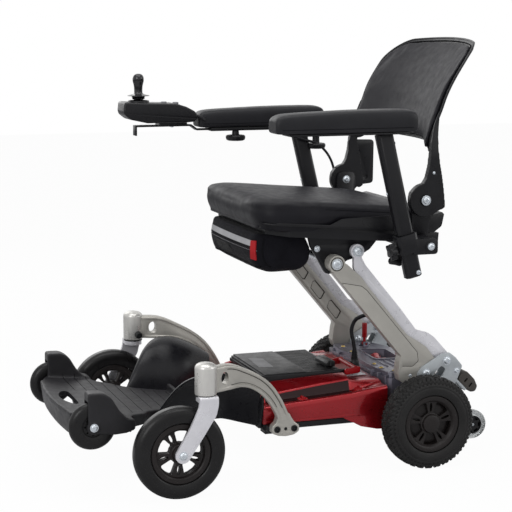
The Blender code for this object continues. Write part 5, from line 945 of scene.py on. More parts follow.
def make_arch():
    """The arch with its foot and the head that the caster swivels in."""
    shift = ARCH_OUTER - 0.01 - ARCH_STATIONS[-1][4]
    stations = [(*s[:4], s[4] + shift * index / 7, *s[5:]) for index, s in enumerate(ARCH_STATIONS)]
    stations = spline_through(stations, 8)
    arch = loft("arch", [arch_section(s) for s in stations])
    foot = rounded(
        [
            (-0.045, 0.133, 0.0), (-0.048, 0.124, 0.008), (-0.056, 0.118, 0.008), (-0.0575, 0.103, 0.01),
            (-0.042, 0.0965, 0.016), (-0.026, 0.0945, 0.02), (-0.008, 0.0965, 0.016), (0.0045, 0.104, 0.01),
            (0.005, 0.1165, 0.01), (-0.006, 0.124, 0.008), (-0.012, 0.133, 0.004), (-0.018, 0.144, 0.0),
            (-0.044, 0.14, 0.0),
        ],
        0.008,
    )
    pad = soften(plate("foot", foot, ARCH_OUTER - 0.0195, ARCH_OUTER - 0.0002), 0.0022, 3)
    head = lathe(
        "head",
        [
            (0.0, HEAD_TOP + 0.008), (HEAD_RADIUS * 0.35, HEAD_TOP + 0.0076),
            (HEAD_RADIUS * 0.65, HEAD_TOP + 0.006), (HEAD_RADIUS * 0.86, HEAD_TOP + 0.0032),
            (HEAD_RADIUS * 0.97, HEAD_TOP - 0.0002), (HEAD_RADIUS, HEAD_TOP - 0.0035),
            (HEAD_RADIUS, HEAD_LOW + 0.0022), (HEAD_RADIUS - 0.002, HEAD_LOW), (0.009, HEAD_LOW),
            (0.009, HEAD_LOW + 0.003), (0.0, HEAD_LOW + 0.003),
        ],
        (*SWIVEL, 0.0), "Z", 72,
    )
    eye = [(-0.1775 + 0.0092 * math.cos(t), 0.243 + 0.0135 * math.sin(t)) for t in on_circle(32)]
    arch = cut(join(arch, pad), plate("eye", eye, 0.2, 0.33))
    holes = [
        plate("bolt_hole", circle(y, z, r), ARCH_OUTER - 0.004, ARCH_OUTER + 0.01)
        for y, z, r in ((-0.045, 0.1105, 0.0072), (-0.007, 0.1105, 0.0072), (-0.0262, 0.111, 0.0038))
    ]
    arch = soften(cut(arch, *holes), 0.0007, 2, 38)
    pair_wear(arch, "front_arch", "champagne", "base", smooth=32)
    head = soften(head, 0.0005, 2, 40)
    # the head wears a lighter copy of the champagne finish, a painted highlight
    pair_wear(head, "caster_head", "smooth_champagne_painted_highlight", "base", nodes=False, smooth=32)
    arch_trim(stations)


def arch_trim(stations):
    """The arch's painted shade lines along its recess, the plugs in its foot with a dark disc of painted
    shade in the hole between them, and the knob of the swivel's lock.
    """
    lines = []
    for edge, start, end in ((0.0, 6, 46), (1.0, 8, 44)):
        places = []
        # the ends are counted in 57 stations, as many as the arch's spline gives
        for station in stations[start * len(stations) // 57: end * len(stations) // 57]:
            top, low = Vector(station[0:2]), Vector(station[2:4])
            rib = min(0.22, 0.0062 / (low - top).length)
            share = rib * 1.25 if edge == 0.0 else 1 - rib * 1.6
            y, z = top.lerp(low, share)
            places.append((station[4] + station[5] * (1 - 0.42 * station[6]) - 0.0002, y, z))
        lines.append(strip("line", places, [(1, 0, 0)] * len(places), 0.0013, 0.0007))
    # painted shade: dark strips along the recess's edges stand for the shade on its walls
    pair_of("arch_shade_lines", "groove_painted_shade", "base", *lines, smooth=0)
    plug = [
        (0.0, 0.0008), (0.0026, 0.001), (0.0034, 0.0002), (0.0042, 0.0026), (0.0064, 0.0022), (0.007, 0.0006),
        (0.007, -0.003), (0.0, -0.003),
    ]
    plugs = [lathe("plug", plug, (ARCH_OUTER - 0.0006, y, 0.1105), "X", 36) for y in (-0.045, -0.007)]
    dark = [(0.0, 0.0), (0.0037, 0.0), (0.0037, -0.001), (0.0, -0.001)]
    # painted shade: a dark disc at the bottom of the small hole between the plugs
    plugs.append(lathe("hole_painted_shade", dark, (ARCH_OUTER - 0.0028, -0.0262, 0.111), "X", 24))
    pair_of("arch_plugs", "moulded", "base", *plugs)
    knob = [
        (0.0, -0.015), (0.0062, -0.0148), (0.0072, -0.0135), (0.0082, -0.004), (0.0086, 0.004), (0.0, 0.004),
    ]
    knob = lathe("lock_knob", knob, (SWIVEL[0] - HEAD_RADIUS, SWIVEL[1] + 0.006, HEAD_LOW + 0.014), "X", 24)
    pair_wear(knob, "lock_knob", "moulded", "base", nodes=False)


def make_fork():
    """The caster's fork: a crown under the head, a bend and one blade outside the wheel."""
    crown_top = HEAD_LOW - GAP
    crown_low = crown_top - 0.0117
    y, z = CASTER_PLACE[1:]
    outer = 0.311  # the blade's outer face
    tip = [
        (y + 0.0155 * math.cos(math.radians(a)), z + 0.0155 * math.sin(math.radians(a)), 0)
        for a in range(-33, -225, -8)
    ]
    sweep = [
        (SWIVEL[1] + 0.02, 0.203, 0), (SWIVEL[1] + 0.0195, 0.193, 0.02), (SWIVEL[1] + 0.015, 0.174, 0.03),
        (SWIVEL[1] - 0.012, 0.132, 0.03), *tip, (SWIVEL[1] - 0.039, 0.153, 0.03),
        (SWIVEL[1] - 0.0215, 0.191, 0.02), (SWIVEL[1] - 0.0195, 0.203, 0),
    ]
    blade = plate("blade", rounded(sweep, 0.02), outer - 0.007, outer)
    bend = plate(
        "bend",
        rounded(
            [
                (SWIVEL[0], crown_top, 0), (outer, crown_top, 0.013), (outer, 0.199, 0),
                (outer - 0.007, 0.199, 0), (outer - 0.007, crown_low, 0.003), (SWIVEL[0], crown_low, 0),
            ],
            0.003, 8,
        ),
        SWIVEL[1] - 0.0195, SWIVEL[1] + 0.02, "Y",
    )
    crown = rod("crown", (*SWIVEL, crown_low), (*SWIVEL, crown_top), 0.0198, sides=64)
    collar = rod("collar", (outer - 0.006, y, z), (CASTER_PLACE[0] + 0.0208, y, z), 0.012, sides=40)
    fork = join(blade, bend, crown, collar)
    fork = soften(fork, 0.0016, 3, 40)
    pair_wear(fork, "caster_fork", "silver", "fork_SIDE", smooth=32)
    # painted shadow: a black ring where the crown meets the head stands for the shadow in the gap
    ring = lathe(
        "stem_gap_shade_ring", [(0.0175, 0.0), (0.0215, 0.0), (0.0215, 0.0022), (0.0175, 0.0022)],
        (*SWIVEL, crown_top - 0.002), "Z", 48, closed=True,
    )
    pair_of("fork_bolt", "bolt", "fork_SIDE", bolt_head((outer, y, z), (1, 0, 0), 0.0082, 0.0045))
    pair_wear(ring, "stem_gap_shade_ring", "moulded", "fork_SIDE", nodes=False)


GUARD_STATIONS = (
    # top x, y and z, then low x, y and z
    (0.125, -0.277, 0.136, 0.121, -0.277, 0.119), (0.145, -0.248, 0.184, 0.121, -0.256, 0.119),
    (0.17, -0.223, 0.214, 0.121, -0.23, 0.119), (0.195, -0.192, 0.229, 0.121, -0.2, 0.119),
    (0.2, -0.155, 0.231, 0.121, -0.165, 0.119), (0.2, -0.12, 0.22, 0.128, -0.13, 0.116),
    (0.199, -0.09, 0.204, 0.146, -0.098, 0.11), (0.195, -0.064, 0.186, 0.168, -0.064, 0.104),
)


def make_guard():
    """The leg guard: a curved skin with a flange to the chassis."""
    rows = []
    for top_x, top_y, top_z, low_x, low_y, low_z in spline_through(GUARD_STATIONS, 8):
        row = []
        for step in range(19):
            turn = step / 18 * math.pi / 2
            row.append(
                (
                    low_x + (top_x - low_x) * (1 - math.cos(turn)), low_y + (top_y - low_y) * math.sin(turn),
                    low_z + (top_z - low_z) * math.sin(turn),
                )
            )
        rows.append(row)
    skin = grid_sheet("guard", rows, 0.0032)
    skin = soften(skin, 0.0012, 2, 50)
    flange = soften(
        plate(
            "flange",
            rounded(
                [(0.15, 0.101), (0.178, 0.101), (0.197, 0.15), (0.1965, 0.183), (0.188, 0.172), (0.15, 0.13)],
                0.004,
            ),
            -0.067, -0.0623, "Y",
        ),
        0.0008,
    )
    guard = merge("leg_guard", skin, flange)
    pair_wear(guard, "leg_guard", "glossy_shell", "base", smooth=50)


DECK_SLOPE = math.atan2(0.03, 0.275)
DECK_OUTLINE = (
    # the left half: x, y and the corner's radius
    (0.0, -0.482, 0), (0.08, -0.478, 0), (0.15, -0.466, 0.02), (0.186, -0.452, 0.01), (0.197, -0.43, 0.01),
    (0.197, -0.352, 0.01), (0.16, -0.34, 0.02), (0.143, -0.311, 0.02), (0.12, -0.295, 0.02),
    (0.103, -0.263, 0.02), (0.095, -0.231, 0.02), (0.085, -0.185, 0.01),
)
APRON_LINE = (
    (0.1935, -0.352), (0.159, -0.342), (0.141, -0.313), (0.118, -0.296), (0.101, -0.264), (0.094, -0.236),
)


def deck_top(y):
    """The height of the sloping deck."""
    return 0.163 - (y + 0.465) * math.tan(DECK_SLOPE)


def deck_half(y):
    """Half the deck's width at a place along it."""
    for (x0, y0, _), (x1, y1, _) in zip(DECK_OUTLINE[3:], DECK_OUTLINE[4:]):
        if y0 <= y <= y1:
            return x0 + (x1 - x0) * (y - y0) / (y1 - y0)
    return 0.15


def make_skirt():
    """The footplate's front skirt, bent to the deck's front edge."""
    half = 0.152
    profile = [(-0.479, 0.164), (-0.4725, 0.118), (-0.464, 0.1055), (-0.454, 0.108), (-0.46, 0.16)]
    skirt = plate("skirt", rounded(profile, 0.004), -half, half)
    shape = bmesh.new()
    shape.from_mesh(skirt.data)
    for index in range(-11, 12):
        bmesh.ops.bisect_plane(
            shape, geom=shape.verts[:] + shape.edges[:] + shape.faces[:], plane_co=(index * 0.013, 0, 0),
            plane_no=(1, 0, 0),
        )
    for vertex in shape.verts:
        vertex.co.y += 0.011 * (abs(vertex.co.x) / half) ** 2 - 0.0015
    shape.to_mesh(skirt.data)
    shape.free()
    return skirt


def deck_cutters():
    """The spaces for the wheels, the hand slot and the grooves across the deck."""
    space = [
        (-0.5, 0.08, 0), (-0.5, 0.1975, 0), (-0.415, 0.1975, 0.02), (-0.392, 0.185, 0.02),
        (-0.379, 0.163, 0.02), (-0.379, 0.08, 0),
    ]
    cutters = [
        plate("wheel_space", rounded(space, 0.01), side * 0.198 - 0.0138, side * 0.198 + 0.0138)
        for side in BOTH
    ]
    lens_line = [
        (0.012 + 0.06 * math.cos(t), -0.4405 + 0.0155 * math.sin(t) + 0.004 * math.cos(2 * t))
        for t in on_circle(40)
    ]
    cutters.append(plate("hand_slot", lens_line, 0.1, 0.2, "Z"))
    for index in range(9):
        y = -0.412 + 0.0262 * index
        top = deck_top(y)
        reach = deck_half(y) - 0.016
        # the first groove leaves the hand slot clear
        for low, high in [(-reach, reach)] if index else [(-reach, -0.062), (0.086, reach)]:
            cutters.append(box("groove", (low, y, top - 0.0013), (high, y + 0.0016, top + 0.01)))
    return cutters


def make_footplate():
    """The deck with its fenders, aprons, skirt and rear rim, its hinge lugs and the wheels' pins."""
    wheel = FRONT_WHEEL_PLACE[1:]
    whole = list(DECK_OUTLINE) + [(-p[0], *p[1:]) for p in reversed(DECK_OUTLINE[1:])]
    slab = plate("slab", rounded(whole, 0.01), -0.0105, 0.0, "Z")
    for vertex in slab.data.vertices:
        vertex.co.z += deck_top(vertex.co.y)
    fender_line = [
        (-0.4455, 0.136, 0), (-0.4455, 0.215, 0.006), (-0.412, 0.214, 0.03), (-0.395, 0.202, 0.03),
        (-0.38, 0.176, 0.03), (-0.364, 0.158, 0.02), (-0.346, 0.1545, 0.01), (-0.346, 0.133, 0.006),
        (-0.364, 0.127, 0.01), (-0.389, 0.125, 0.01), (-0.424, 0.129, 0.002),
    ]
    parts = []
    for side in BOTH:
        fender = plate("fender", rounded(fender_line, 0.01, 10), *span(side, 0.179, 0.216))
        parts.append(soften(fender, 0.0085, 4, 45))
        wall = [
            [(side * x, y, deck_top(y) - 0.004), (side * x, y, 0.1212)]
            for x, y in spline_through(APRON_LINE, 4)
        ]
        parts.append(grid_sheet("apron", wall, 0.005))
    skirt = make_skirt()
    rim_low = deck_top(-0.196) - 0.004
    rim = box("rear_rim", (-0.083, -0.196, rim_low), (0.083, -0.187, rim_low + 0.02))
    body = remesh(join(slab, *parts, skirt, rim), 0.0024, 7)
    body = cut(body, *deck_cutters())
    lug_line = [(-0.206, 0.128, 0), (-0.156, 0.108), (-0.14, 0.11), (-0.142, 0.128), (-0.206, 0.1315, 0)]
    lugs = []
    for side in BOTH:
        lug = plate("lug", rounded(lug_line, 0.005), *span(side, 0.0725, 0.0825))
        lugs.append(soften(lug, 0.001))
        hinge = (-0.15, 0.118)
        lugs.append(rod("hinge_pin", (side * 0.0825, *hinge), (side * 0.0605, *hinge), 0.004, sides=24))
        low, high = span(side, 0.2115, 0.2168)
        lugs.append(soften(rod("boss", (low, *wheel), (high, *wheel), 0.0145, sides=48), 0.001))
    node_body = BODY_OF["footplate"]
    wear(merge("footplate_form", body, *lugs), "deck", node_body, "footplate", smooth=40)
    screws = [((side * 0.2166, *wheel), (side, 0, 0), 0.0078) for side in BOTH]
    bolts("footplate_wheel_bolts", screws, node_body)
    spacers = [
        rod("spacer", (side * 0.185, *wheel), (side * 0.212, *wheel), 0.0042, sides=24)
        for side in BOTH
    ]
    wear(merge("footplate_wheel_pins", *spacers), "zinc", node_body)


make_arch()
make_fork()
make_guard()
make_footplate()


# Base: cover, battery, casting, brackets, lift arms and links

PAN_TOP = 0.1125
COVER_HALF = 0.193
COVER_WELLS = ((0.17, 0.035, 0.15), (0.168, 0.168, 0.161))  # the left wells' floors
COVER_STATIONS = (
    # y, shoulder z, channel floor z, wall top z, bezel z
    (-0.062, 0.15, 0.148, 0.158, 0.164),
    (-0.045, 0.152, 0.1505, 0.166, 0.179),
    (-0.013, 0.154, 0.153, 0.1705, 0.187),
    (0.089, 0.161, 0.1575, 0.1825, 0.1925),
    (0.1485, 0.166, 0.1615, 0.1885, 0.1945),
    (0.1525, 0.167, 0.1625, 0.182, 0.1835),
    (0.17, 0.17, 0.165, 0.179, 0.18),
    (0.2235, 0.176, 0.174, 0.179, 0.18),
)


def cover_section(y, shoulder, floor, wall, bezel):
    """A section of the cover: side, shoulder, channel, wall and bezel, and the same mirrored."""
    low = PAN_TOP + GAP
    half = [
        (COVER_HALF - 0.001, low), (COVER_HALF, low + 0.0015), (COVER_HALF, shoulder - 0.011),
        (COVER_HALF - 0.0008, shoulder - 0.006), (COVER_HALF - 0.0028, shoulder - 0.0024),
        (COVER_HALF - 0.0058, shoulder - 0.0004), (COVER_HALF - 0.009, shoulder),
        (COVER_HALF - 0.012, shoulder - 0.001), (COVER_HALF - 0.015, floor + 0.0008),
        (COVER_HALF - 0.017, floor), (0.16, floor), (0.157, floor + 0.001), (0.1545, floor + 0.0045),
        (0.15, wall - 0.0035), (0.1478, wall - 0.0008), (0.145, wall + 0.001),
        (0.132, (wall + bezel) / 2 + 0.0012), (0.122, bezel - 0.0004), (0.119, bezel),
        (0.1175, bezel - 0.001),
    ]
    ring = [(x, y, z) for x, z in half]
    return ring + [(-x, y, z) for x, z in reversed(half)]


def make_cover():
    """The red cover over the pan, with its knobs, its channels' floors painted dark as shade and dark
    reflection, and the cable's gland.
    """
    stations = []
    for here, after in zip(COVER_STATIONS, COVER_STATIONS[1:]):
        steps = 2 if after[0] - here[0] < 0.01 else 5
        for step in range(steps):
            t = step / steps
            stations.append(tuple(a + (b - a) * t for a, b in zip(here, after)))
    stations.append(COVER_STATIONS[-1])
    cover = loft("cover", [cover_section(*s) for s in stations])
    low = PAN_TOP + GAP
    flare = rounded(
        [
            (0.116, low + 0.006, 0), (0.124, low - 0.003, 0.006), (0.142, 0.101), (0.162, 0.09), (0.2, 0.081),
            (0.2235, 0.08, 0.003), (0.2235, low + 0.006, 0),
        ],
        0.012,
    )
    skirts = [plate("skirt", flare, *span(side, 0.1865, COVER_HALF - 0.0002)) for side in (1, -1)]
    well = box("well", (-0.113, -0.04, low - 0.01), (0.113, 0.151, 0.25))
    rear_tray = box("rear_tray", (-0.1, 0.156, 0.1788), (0.1, 0.216, 0.2))
    cover = cut(join(cover, *skirts), well, rear_tray)
    side_line = []
    for side in BOTH:
        x = side * COVER_HALF
        side_line.append(box("seam", (x - 0.001, -0.07, 0.1185), (x + 0.001, 0.118, 0.1197)))
        for (x, y, z), top in zip(COVER_WELLS, (0.165, 0.185)):
            side_line.append(rod("well_ring", (side * x, y, z), (side * x, y, top), 0.0125))
    cover = soften(cut(cover, *side_line), 0.0008, 2, 40)
    wear(cover, "red_paint", "base", "base_cover", smooth=34)
    cup = [(0.0, 0.0085), (0.0085, 0.0085), (0.0112, 0.0072), (0.012, 0.005), (0.012, 0.0), (0.0, -0.001)]
    knobs = []
    for side in BOTH:
        for x, y, z in COVER_WELLS:
            x *= side
            grip = box("grip", (x - 0.0095, y - 0.003, z + 0.006), (x + 0.0095, y + 0.003, z + 0.0118))
            knobs += [lathe("knob", cup, (x, y, z), "Z", 40), soften(grip, 0.0016, 2)]
    wear(merge("cover_knobs", *knobs), "red_plastic", "base")
    # painted shade: dark red sheets on the channels' floors stand for their shade and dark reflection
    for side in BOTH:
        rows = []
        for y, _, floor, wall, _ in spline_through(COVER_STATIONS[1:5], 6):
            rows.append(
                [
                    (side * 0.1508, y, wall - 0.0045), (side * 0.1552, y, floor + 0.005),
                    (side * 0.158, y, floor + 0.0016), (side * 0.1755, y, floor + 0.0009),
                ]
            )
        wear(grid_sheet("channel_floor", rows, 0.0008), "red_painted_shade", "base", smooth=40)
    gland = soften(box("gland", (0.045, 0.16, 0.1789), (0.098, 0.214, 0.1806)), 0.0008)
    wear(gland, "silver", "base")


def make_battery():
    """The battery with its grooved top, its latch and the handle that releases it."""
    low = PAN_TOP + GAP
    pack = soften(box("pack", (-0.112, -0.03, low), (0.112, 0.15, 0.1985)), 0.0035, 4)
    lid = soften(box("lid", (-0.1095, -0.029, 0.196), (0.1095, 0.0665, 0.2)), 0.001, 3)
    ridges = [
        soften(box("ridge", (-0.108, fore, foot), (0.108, aft, top)), 0.0012, 2)
        for fore, foot, aft, top in ((-0.0382, 0.1855, -0.025, 0.193), (-0.0345, 0.1915, -0.024, 0.1972))
    ]
    handle_x = 0.0665
    ears = []
    for side in BOTH:
        x = handle_x + side * 0.0405
        ears.append(soften(box("ear", (x - 0.004, 0.144, 0.188), (x + 0.004, 0.1665, 0.199)), 0.0008))
    pack = join(pack, lid, *ridges, *ears)
    cutters = []
    for index in range(20):
        y = 0.0725 + index * 0.0036
        cutters.append(box("slit", (-0.1035, y, 0.1973), (0.1035, y + 0.0015, 0.203)))
    for index in range(16):
        y = 0.074 + index * 0.0045
        for side in BOTH:
            low_x, high_x = span(side, 0.105, 0.1088)
            cutters.append(box("notch", (low_x, y, 0.1968), (high_x, y + 0.0022, 0.203)))
    for index in range(9):
        x = -0.1 + index * 0.0245
        cutters.append(box("rail", (x, 0.072, 0.1971), (x + 0.0012, 0.1445, 0.203)))
    wear(cut(pack, *cutters), "battery", "battery", "battery_pack", smooth=34)
    emblem = rounded([(-0.056, -0.0115), (-0.043, 0.0195), (0.045, 0.014), (0.039, -0.018)], 0.002)
    wear(plate("bare_plate", emblem, 0.1999, 0.2003, "Z"), "plain_plate", "battery")
    latch = soften(box("latch", (0.02, 0.1215, 0.2003), (0.087, 0.1435, 0.214)), 0.0032, 4)
    dip = rod("finger", (0.01, 0.1205, 0.2165), (0.1, 0.1205, 0.2165), 0.0075, sides=48)
    side_dip = [rod("scoop", (x, 0.133, 0.202), (x, 0.133, 0.22), 0.004) for x in (0.0205, 0.0865)]
    latch = soften(cut(latch, dip, *side_dip), 0.0006, 2, 40)
    wear(latch, "moulded", BODY_OF["battery_latch"], "battery_latch", smooth=34)
    bar_y, bar_z = 0.1825, 0.199
    bail = [rod("bar", (0.0185, bar_y, bar_z), (0.1145, bar_y, bar_z), 0.0056, sides=36)]
    for side in BOTH:
        x = handle_x + side * 0.048
        outline = rounded([(0.1545, 0.187), (0.1905, 0.191), (0.1905, 0.206), (0.1545, 0.2)], 0.0055)
        arm = plate("bail_arm", outline, *sorted((x - side * 0.0032, x + side * 0.0052)))
        bail.append(soften(arm, 0.0014, 3))
        bail.append(rod("pin", (x, 0.1605, 0.193), (x - side * 0.0105, 0.1605, 0.193), 0.0025, sides=20))
    wear(
        merge("release_bail", *bail), "red_plastic", BODY_OF["battery_release_handle"],
        "battery_release_handle", smooth=34,
    )


CASTING_BOSSES = (
    # x, y and radius, each with a brass screw
    (0.075, 0.243, 0.0085), (0.15, 0.258, 0.009), (0.15, 0.316, 0.009), (-0.06, 0.245, 0.0085),
    (0.113, 0.243, 0.008), (-0.118, 0.247, 0.008),
)


def make_casting():
    """The gearbox casting with its webs, bosses, ribs, window rim, screws and red drum."""
    casting = copy_of("fold_gearbox", "casting_body")
    modify(casting, "BEVEL", width=0.0016, segments=3, limit_method="ANGLE", angle_limit=math.radians(32))
    casting = settle(casting, False)
    extra = []
    for x, y, angle in (
        (0.156, 0.24, 20), (0.128, 0.2345, 8), (0.098, 0.2325, -6), (-0.096, 0.2345, 10),
        (-0.138, 0.238, -10),
    ):
        web = box("web", (-0.0022, -0.0085, 0.139), (0.0022, 0.0085, 0.19))
        web.data.transform(Matrix.Translation((x, y, 0)) @ Matrix.Rotation(math.radians(angle), 4, "Z"))
        extra.append(soften(web, 0.001))
    for x, y, size in CASTING_BOSSES:
        boss = [(0.0, 0.1965), (size - 0.0012, 0.1965), (size, 0.1955), (size + 0.002, 0.17), (0.0, 0.17)]
        extra.append(lathe("boss", boss, (x, y, 0.0), "Z", 36))
    ribs = []
    for index in range(4):
        y = 0.262 + index * 0.0155
        ribs.append(soften(box("rib", (0.045, y, 0.19), (0.103, y + 0.0035, 0.1975)), 0.001))
    rim = rounded([(-0.081, 0.267), (0.033, 0.2625), (0.0395, 0.327), (-0.065, 0.3335)], 0.016)
    hole = rounded([(-0.076, 0.2715), (0.0285, 0.2675), (0.0345, 0.3225), (-0.0605, 0.3285)], 0.013)
    ribs.append(plate("window_rim", rim, 0.194, 0.1975, "Z", holes=(hole,)))
    wear(merge("casting_body", casting, *extra, *ribs), "casting", "base", "fold_gearbox", smooth=32)
    drum = lathe(
        "drum",
        [
            (0.0, 0.0), (0.015, 0.0), (0.0165, 0.004), (0.015, 0.008), (0.012, 0.018), (0.0115, 0.034),
            (0.013, 0.048), (0.0165, 0.056), (0.0165, 0.062), (0.0, 0.062),
        ],
        (-0.052, 0.298, 0.176), "X", 48,
    )
    wear(drum, "red_paint", "base", smooth=40)
    screws = [((x, y, 0.1964), (0, 0, 1), 0.0048) for x, y, _ in CASTING_BOSSES]
    bolts("casting_screws", screws, "base", look="brass")


# the linkage's pivots in side view: A and B on the base, U and V under the seat
PIVOT_A = Vector((0.309, 0.2))
LIFT_LENGTH, LIFT_ANGLE = 0.3268, math.radians(130.1)
LINK_OFFSET = Vector((0.0492, 0.0245))


def arm_point(along, across):
    """From places along and across the lift arm to y and z."""
    up = Vector((math.cos(LIFT_ANGLE), math.sin(LIFT_ANGLE)))
    return tuple(PIVOT_A + up * along + Vector((up.y, -up.x)) * across)


def arm_outline(points, radius=0.004):
    return rounded([(*arm_point(*p[:2]), *p[2:]) for p in points], radius)


PIVOT_U = Vector(arm_point(LIFT_LENGTH, 0.0))
PIVOT_B = PIVOT_A + LINK_OFFSET
PIVOT_V = PIVOT_U + LINK_OFFSET
ARM_INNER, ARM_OUTER = 0.177, 0.2025
ARM_POCKETS = (0.098, 0.163, 0.228)
ARM_BODY = BODY_OF["lift_arm_left"]


def pocket_line(place, inset):
    """The outline of a pocket in the arm's inner face, drawn in by an inset."""
    low, high = place - 0.024 + inset, place + 0.024 - inset
    return [
        (low, -0.007), (low + 0.006, 0.011 - inset), (high - 0.002, 0.011 - inset), (high, 0.004),
        (high - 0.008, inset - 0.01), (low + 0.003, inset - 0.011),
    ]


def make_lift_arm():
    """The lift arm with its boss, the slot for the link, its pockets and its panel line."""
    corners = [
        (0.07, -0.0184, 0.006), (0.062, -0.029, 0.008), (0.043, -0.049, 0.01), (0.027, -0.056, 0.01),
        (0.009, -0.046, 0.012), (-0.014, -0.022, 0.014), (-0.022, 0.002, 0.014), (-0.014, 0.026, 0.01),
        (0.006, 0.036, 0.006), (0.044, 0.0373, 0.01), (0.07, 0.03, 0.01), (0.094, 0.0215, 0.01),
        (0.24, 0.0215, 0), (0.266, 0.0235, 0.004), (LIFT_LENGTH - 0.016, 0.017, 0), (LIFT_LENGTH, 0.01, 0),
        (LIFT_LENGTH, -0.01, 0), (LIFT_LENGTH - 0.012, -0.0184, 0),
    ]
    inner, outer = ARM_INNER, ARM_OUTER
    arm = plate("arm", arm_outline(corners), inner, outer)
    boss = rod("boss", (inner - 0.0004, *PIVOT_U), (outer + 0.0004, *PIVOT_U), 0.0185, sides=72)
    arm = join(arm, boss)
    slot = [
        (-0.07, 0.013), (0.015, 0.013), (0.042, -0.005), (0.262, -0.005), (0.284, 0.013), (0.38, 0.013),
        (0.38, 0.06), (-0.07, 0.06),
    ]
    cutters = [plate("link_slot", [arm_point(*p) for p in slot], 0.184, 0.198)]
    for place in ARM_POCKETS:
        pocket = arm_outline(pocket_line(place, 0.0), 0.003)
        cutters.append(plate("pocket", pocket, inner - 0.01, inner + 0.0035))
    line = [
        (0.293, -0.03, 0), (0.284, -0.015, 0.002), (0.252, 0.0105, 0.005), (0.236, 0.014, 0.006),
        (0.05, 0.014, 0.008), (0.033, 0.0035, 0.005), (0.033, -0.013, 0.008), (0.05, -0.03, 0),
    ]
    inner_line = [
        (0.2943, -0.03, 0), (0.2851, -0.0144, 0.002), (0.2527, 0.0116, 0.005), (0.2362, 0.0152, 0.006),
        (0.0496, 0.0152, 0.008), (0.0317, 0.004, 0.005), (0.0317, -0.0134, 0.008), (0.0495, -0.0312, 0),
    ]
    groove = arm_outline(line) + list(reversed(arm_outline(inner_line)))
    cutters.append(plate("panel_line", groove, outer - 0.0011, outer + 0.01))
    ring = [(0.0128, 0.0), (0.015, 0.0), (0.015, 0.004), (0.0128, 0.004)]
    cutters.append(lathe("boss_ring", ring, (outer - 0.0012, *PIVOT_U), "X", 72, closed=True))
    screw = arm_point(0.02, -0.03)
    cutters.append(rod("screw_dip", (outer - 0.002, *screw), (outer + 0.01, *screw), 0.0048))
    arm = soften(cut(arm, *cutters), 0.0009, 3, 38)
    pair_wear(arm, "lift_arm", "champagne", ARM_BODY, smooth=32)
    pair_of("arm_screw", "bolt", ARM_BODY, bolt_head((outer - 0.0019, *screw), (1, 0, 0), 0.004))
    # painted shade: a dark strip sunk in the panel groove
    seam = plate("arm_groove_painted_shade", groove, outer - 0.0014, outer - 0.0006)
    slab = plate("arm_slab", arm_outline(corners), outer - 0.002, outer)
    arm_lining(combine(seam, (slab,), "INTERSECT"))


def arm_lining(seam):
    """Painted shade in the arm's panel groove, boss ring and pockets, the pockets' bright floors and the
    shaft across.
    """
    ring = [(0.0129, 0.0), (0.0149, 0.0), (0.0149, 0.0007), (0.0129, 0.0007)]
    ring = lathe("ring", ring, (ARM_OUTER - 0.0011, *PIVOT_U), "X", 72, closed=True)
    walls, floors = [], []
    for place in ARM_POCKETS:
        outline = arm_outline(pocket_line(place, 0.0), 0.003)
        within = arm_outline(pocket_line(place, 0.0019), 0.003)
        walls.append(plate("pocket_wall", outline, ARM_INNER + 0.0024, ARM_INNER + 0.0036, holes=(within,)))
        floors.append(plate("pocket_floor", within, ARM_INNER + 0.0026, ARM_INNER + 0.0036))
    # painted shade: the groove's strip, the ring in the boss groove and the rings round the pockets' walls
    pair_of("arm_shade_lines", "groove_painted_shade", ARM_BODY, seam, ring, *walls)
    pair_of("arm_floors", "champagne", ARM_BODY, *floors)
    reach = ARM_OUTER + 0.001
    forms = [rod("shaft", (-reach, *PIVOT_U), (reach, *PIVOT_U), 0.008, sides=48)]
    for side in BOTH:
        forms.append(bolt_head((side * (ARM_OUTER + 0.0007), *PIVOT_U), (side, 0, 0), 0.0105, 0.0042))
    wear(merge("cross_shaft", *forms), "bolt", BODY_OF["lift_cross_shaft"], "lift_cross_shaft", smooth=38)


def make_rear_link():
    outer_edge = [
        (-0.0134, 0.068), (0.044, 0.066), (0.061, 0.062), (0.087, 0.045), (0.148, 0.0475), (0.277, 0.048),
    ]
    inner_edge = [(0.272, 0.019), (0.097, 0.019), (0.074, 0.0215), (0.046, 0.0375), (-0.0134, 0.0384)]
    upper = [
        (LIFT_LENGTH - 0.03, 0.0515), (LIFT_LENGTH - 0.013, 0.0675), (LIFT_LENGTH - 0.017, 0.039),
        (0.291, 0.024),
    ]
    link = plate("link", arm_outline(outer_edge + upper + inner_edge, 0.012), 0.186, 0.196)
    pivots = (PIVOT_B, PIVOT_V)
    lugs = [rod("lug", (0.1858, *pivot), (0.1962, *pivot), 0.015, sides=60) for pivot in pivots]
    holes = [rod("hole", (0.17, *pivot), (0.21, *pivot), 0.0056, sides=36) for pivot in pivots]
    link = cut(join(link, *lugs), *holes)
    dimple = arm_point(0.26, 0.033)
    dimple = rod("dimple", (0.1955, *dimple), (0.2, *dimple), 0.0016, sides=16)
    link = soften(cut(link, dimple), 0.0012, 3, 38)
    pair_wear(link, "rear_link", "silver", BODY_OF["rear_link_left"], smooth=32)


BRACKET_CORNERS = (
    (0.288, 0.2), (0.297, 0.2135), (0.344, 0.24), (0.364, 0.242), (0.379, 0.23), (0.396, 0.21),
    (0.386, 0.186), (0.374, 0.16), (0.3, 0.158), (0.289, 0.176),
)
BAR_START, BAR_END = Vector((0.372, 0.188)), Vector((0.406, 0.1545))


def bar_point(along, above):
    direction = (BAR_END - BAR_START).normalized()
    return tuple(BAR_START + direction * along + Vector((-direction.y, direction.x)) * above)


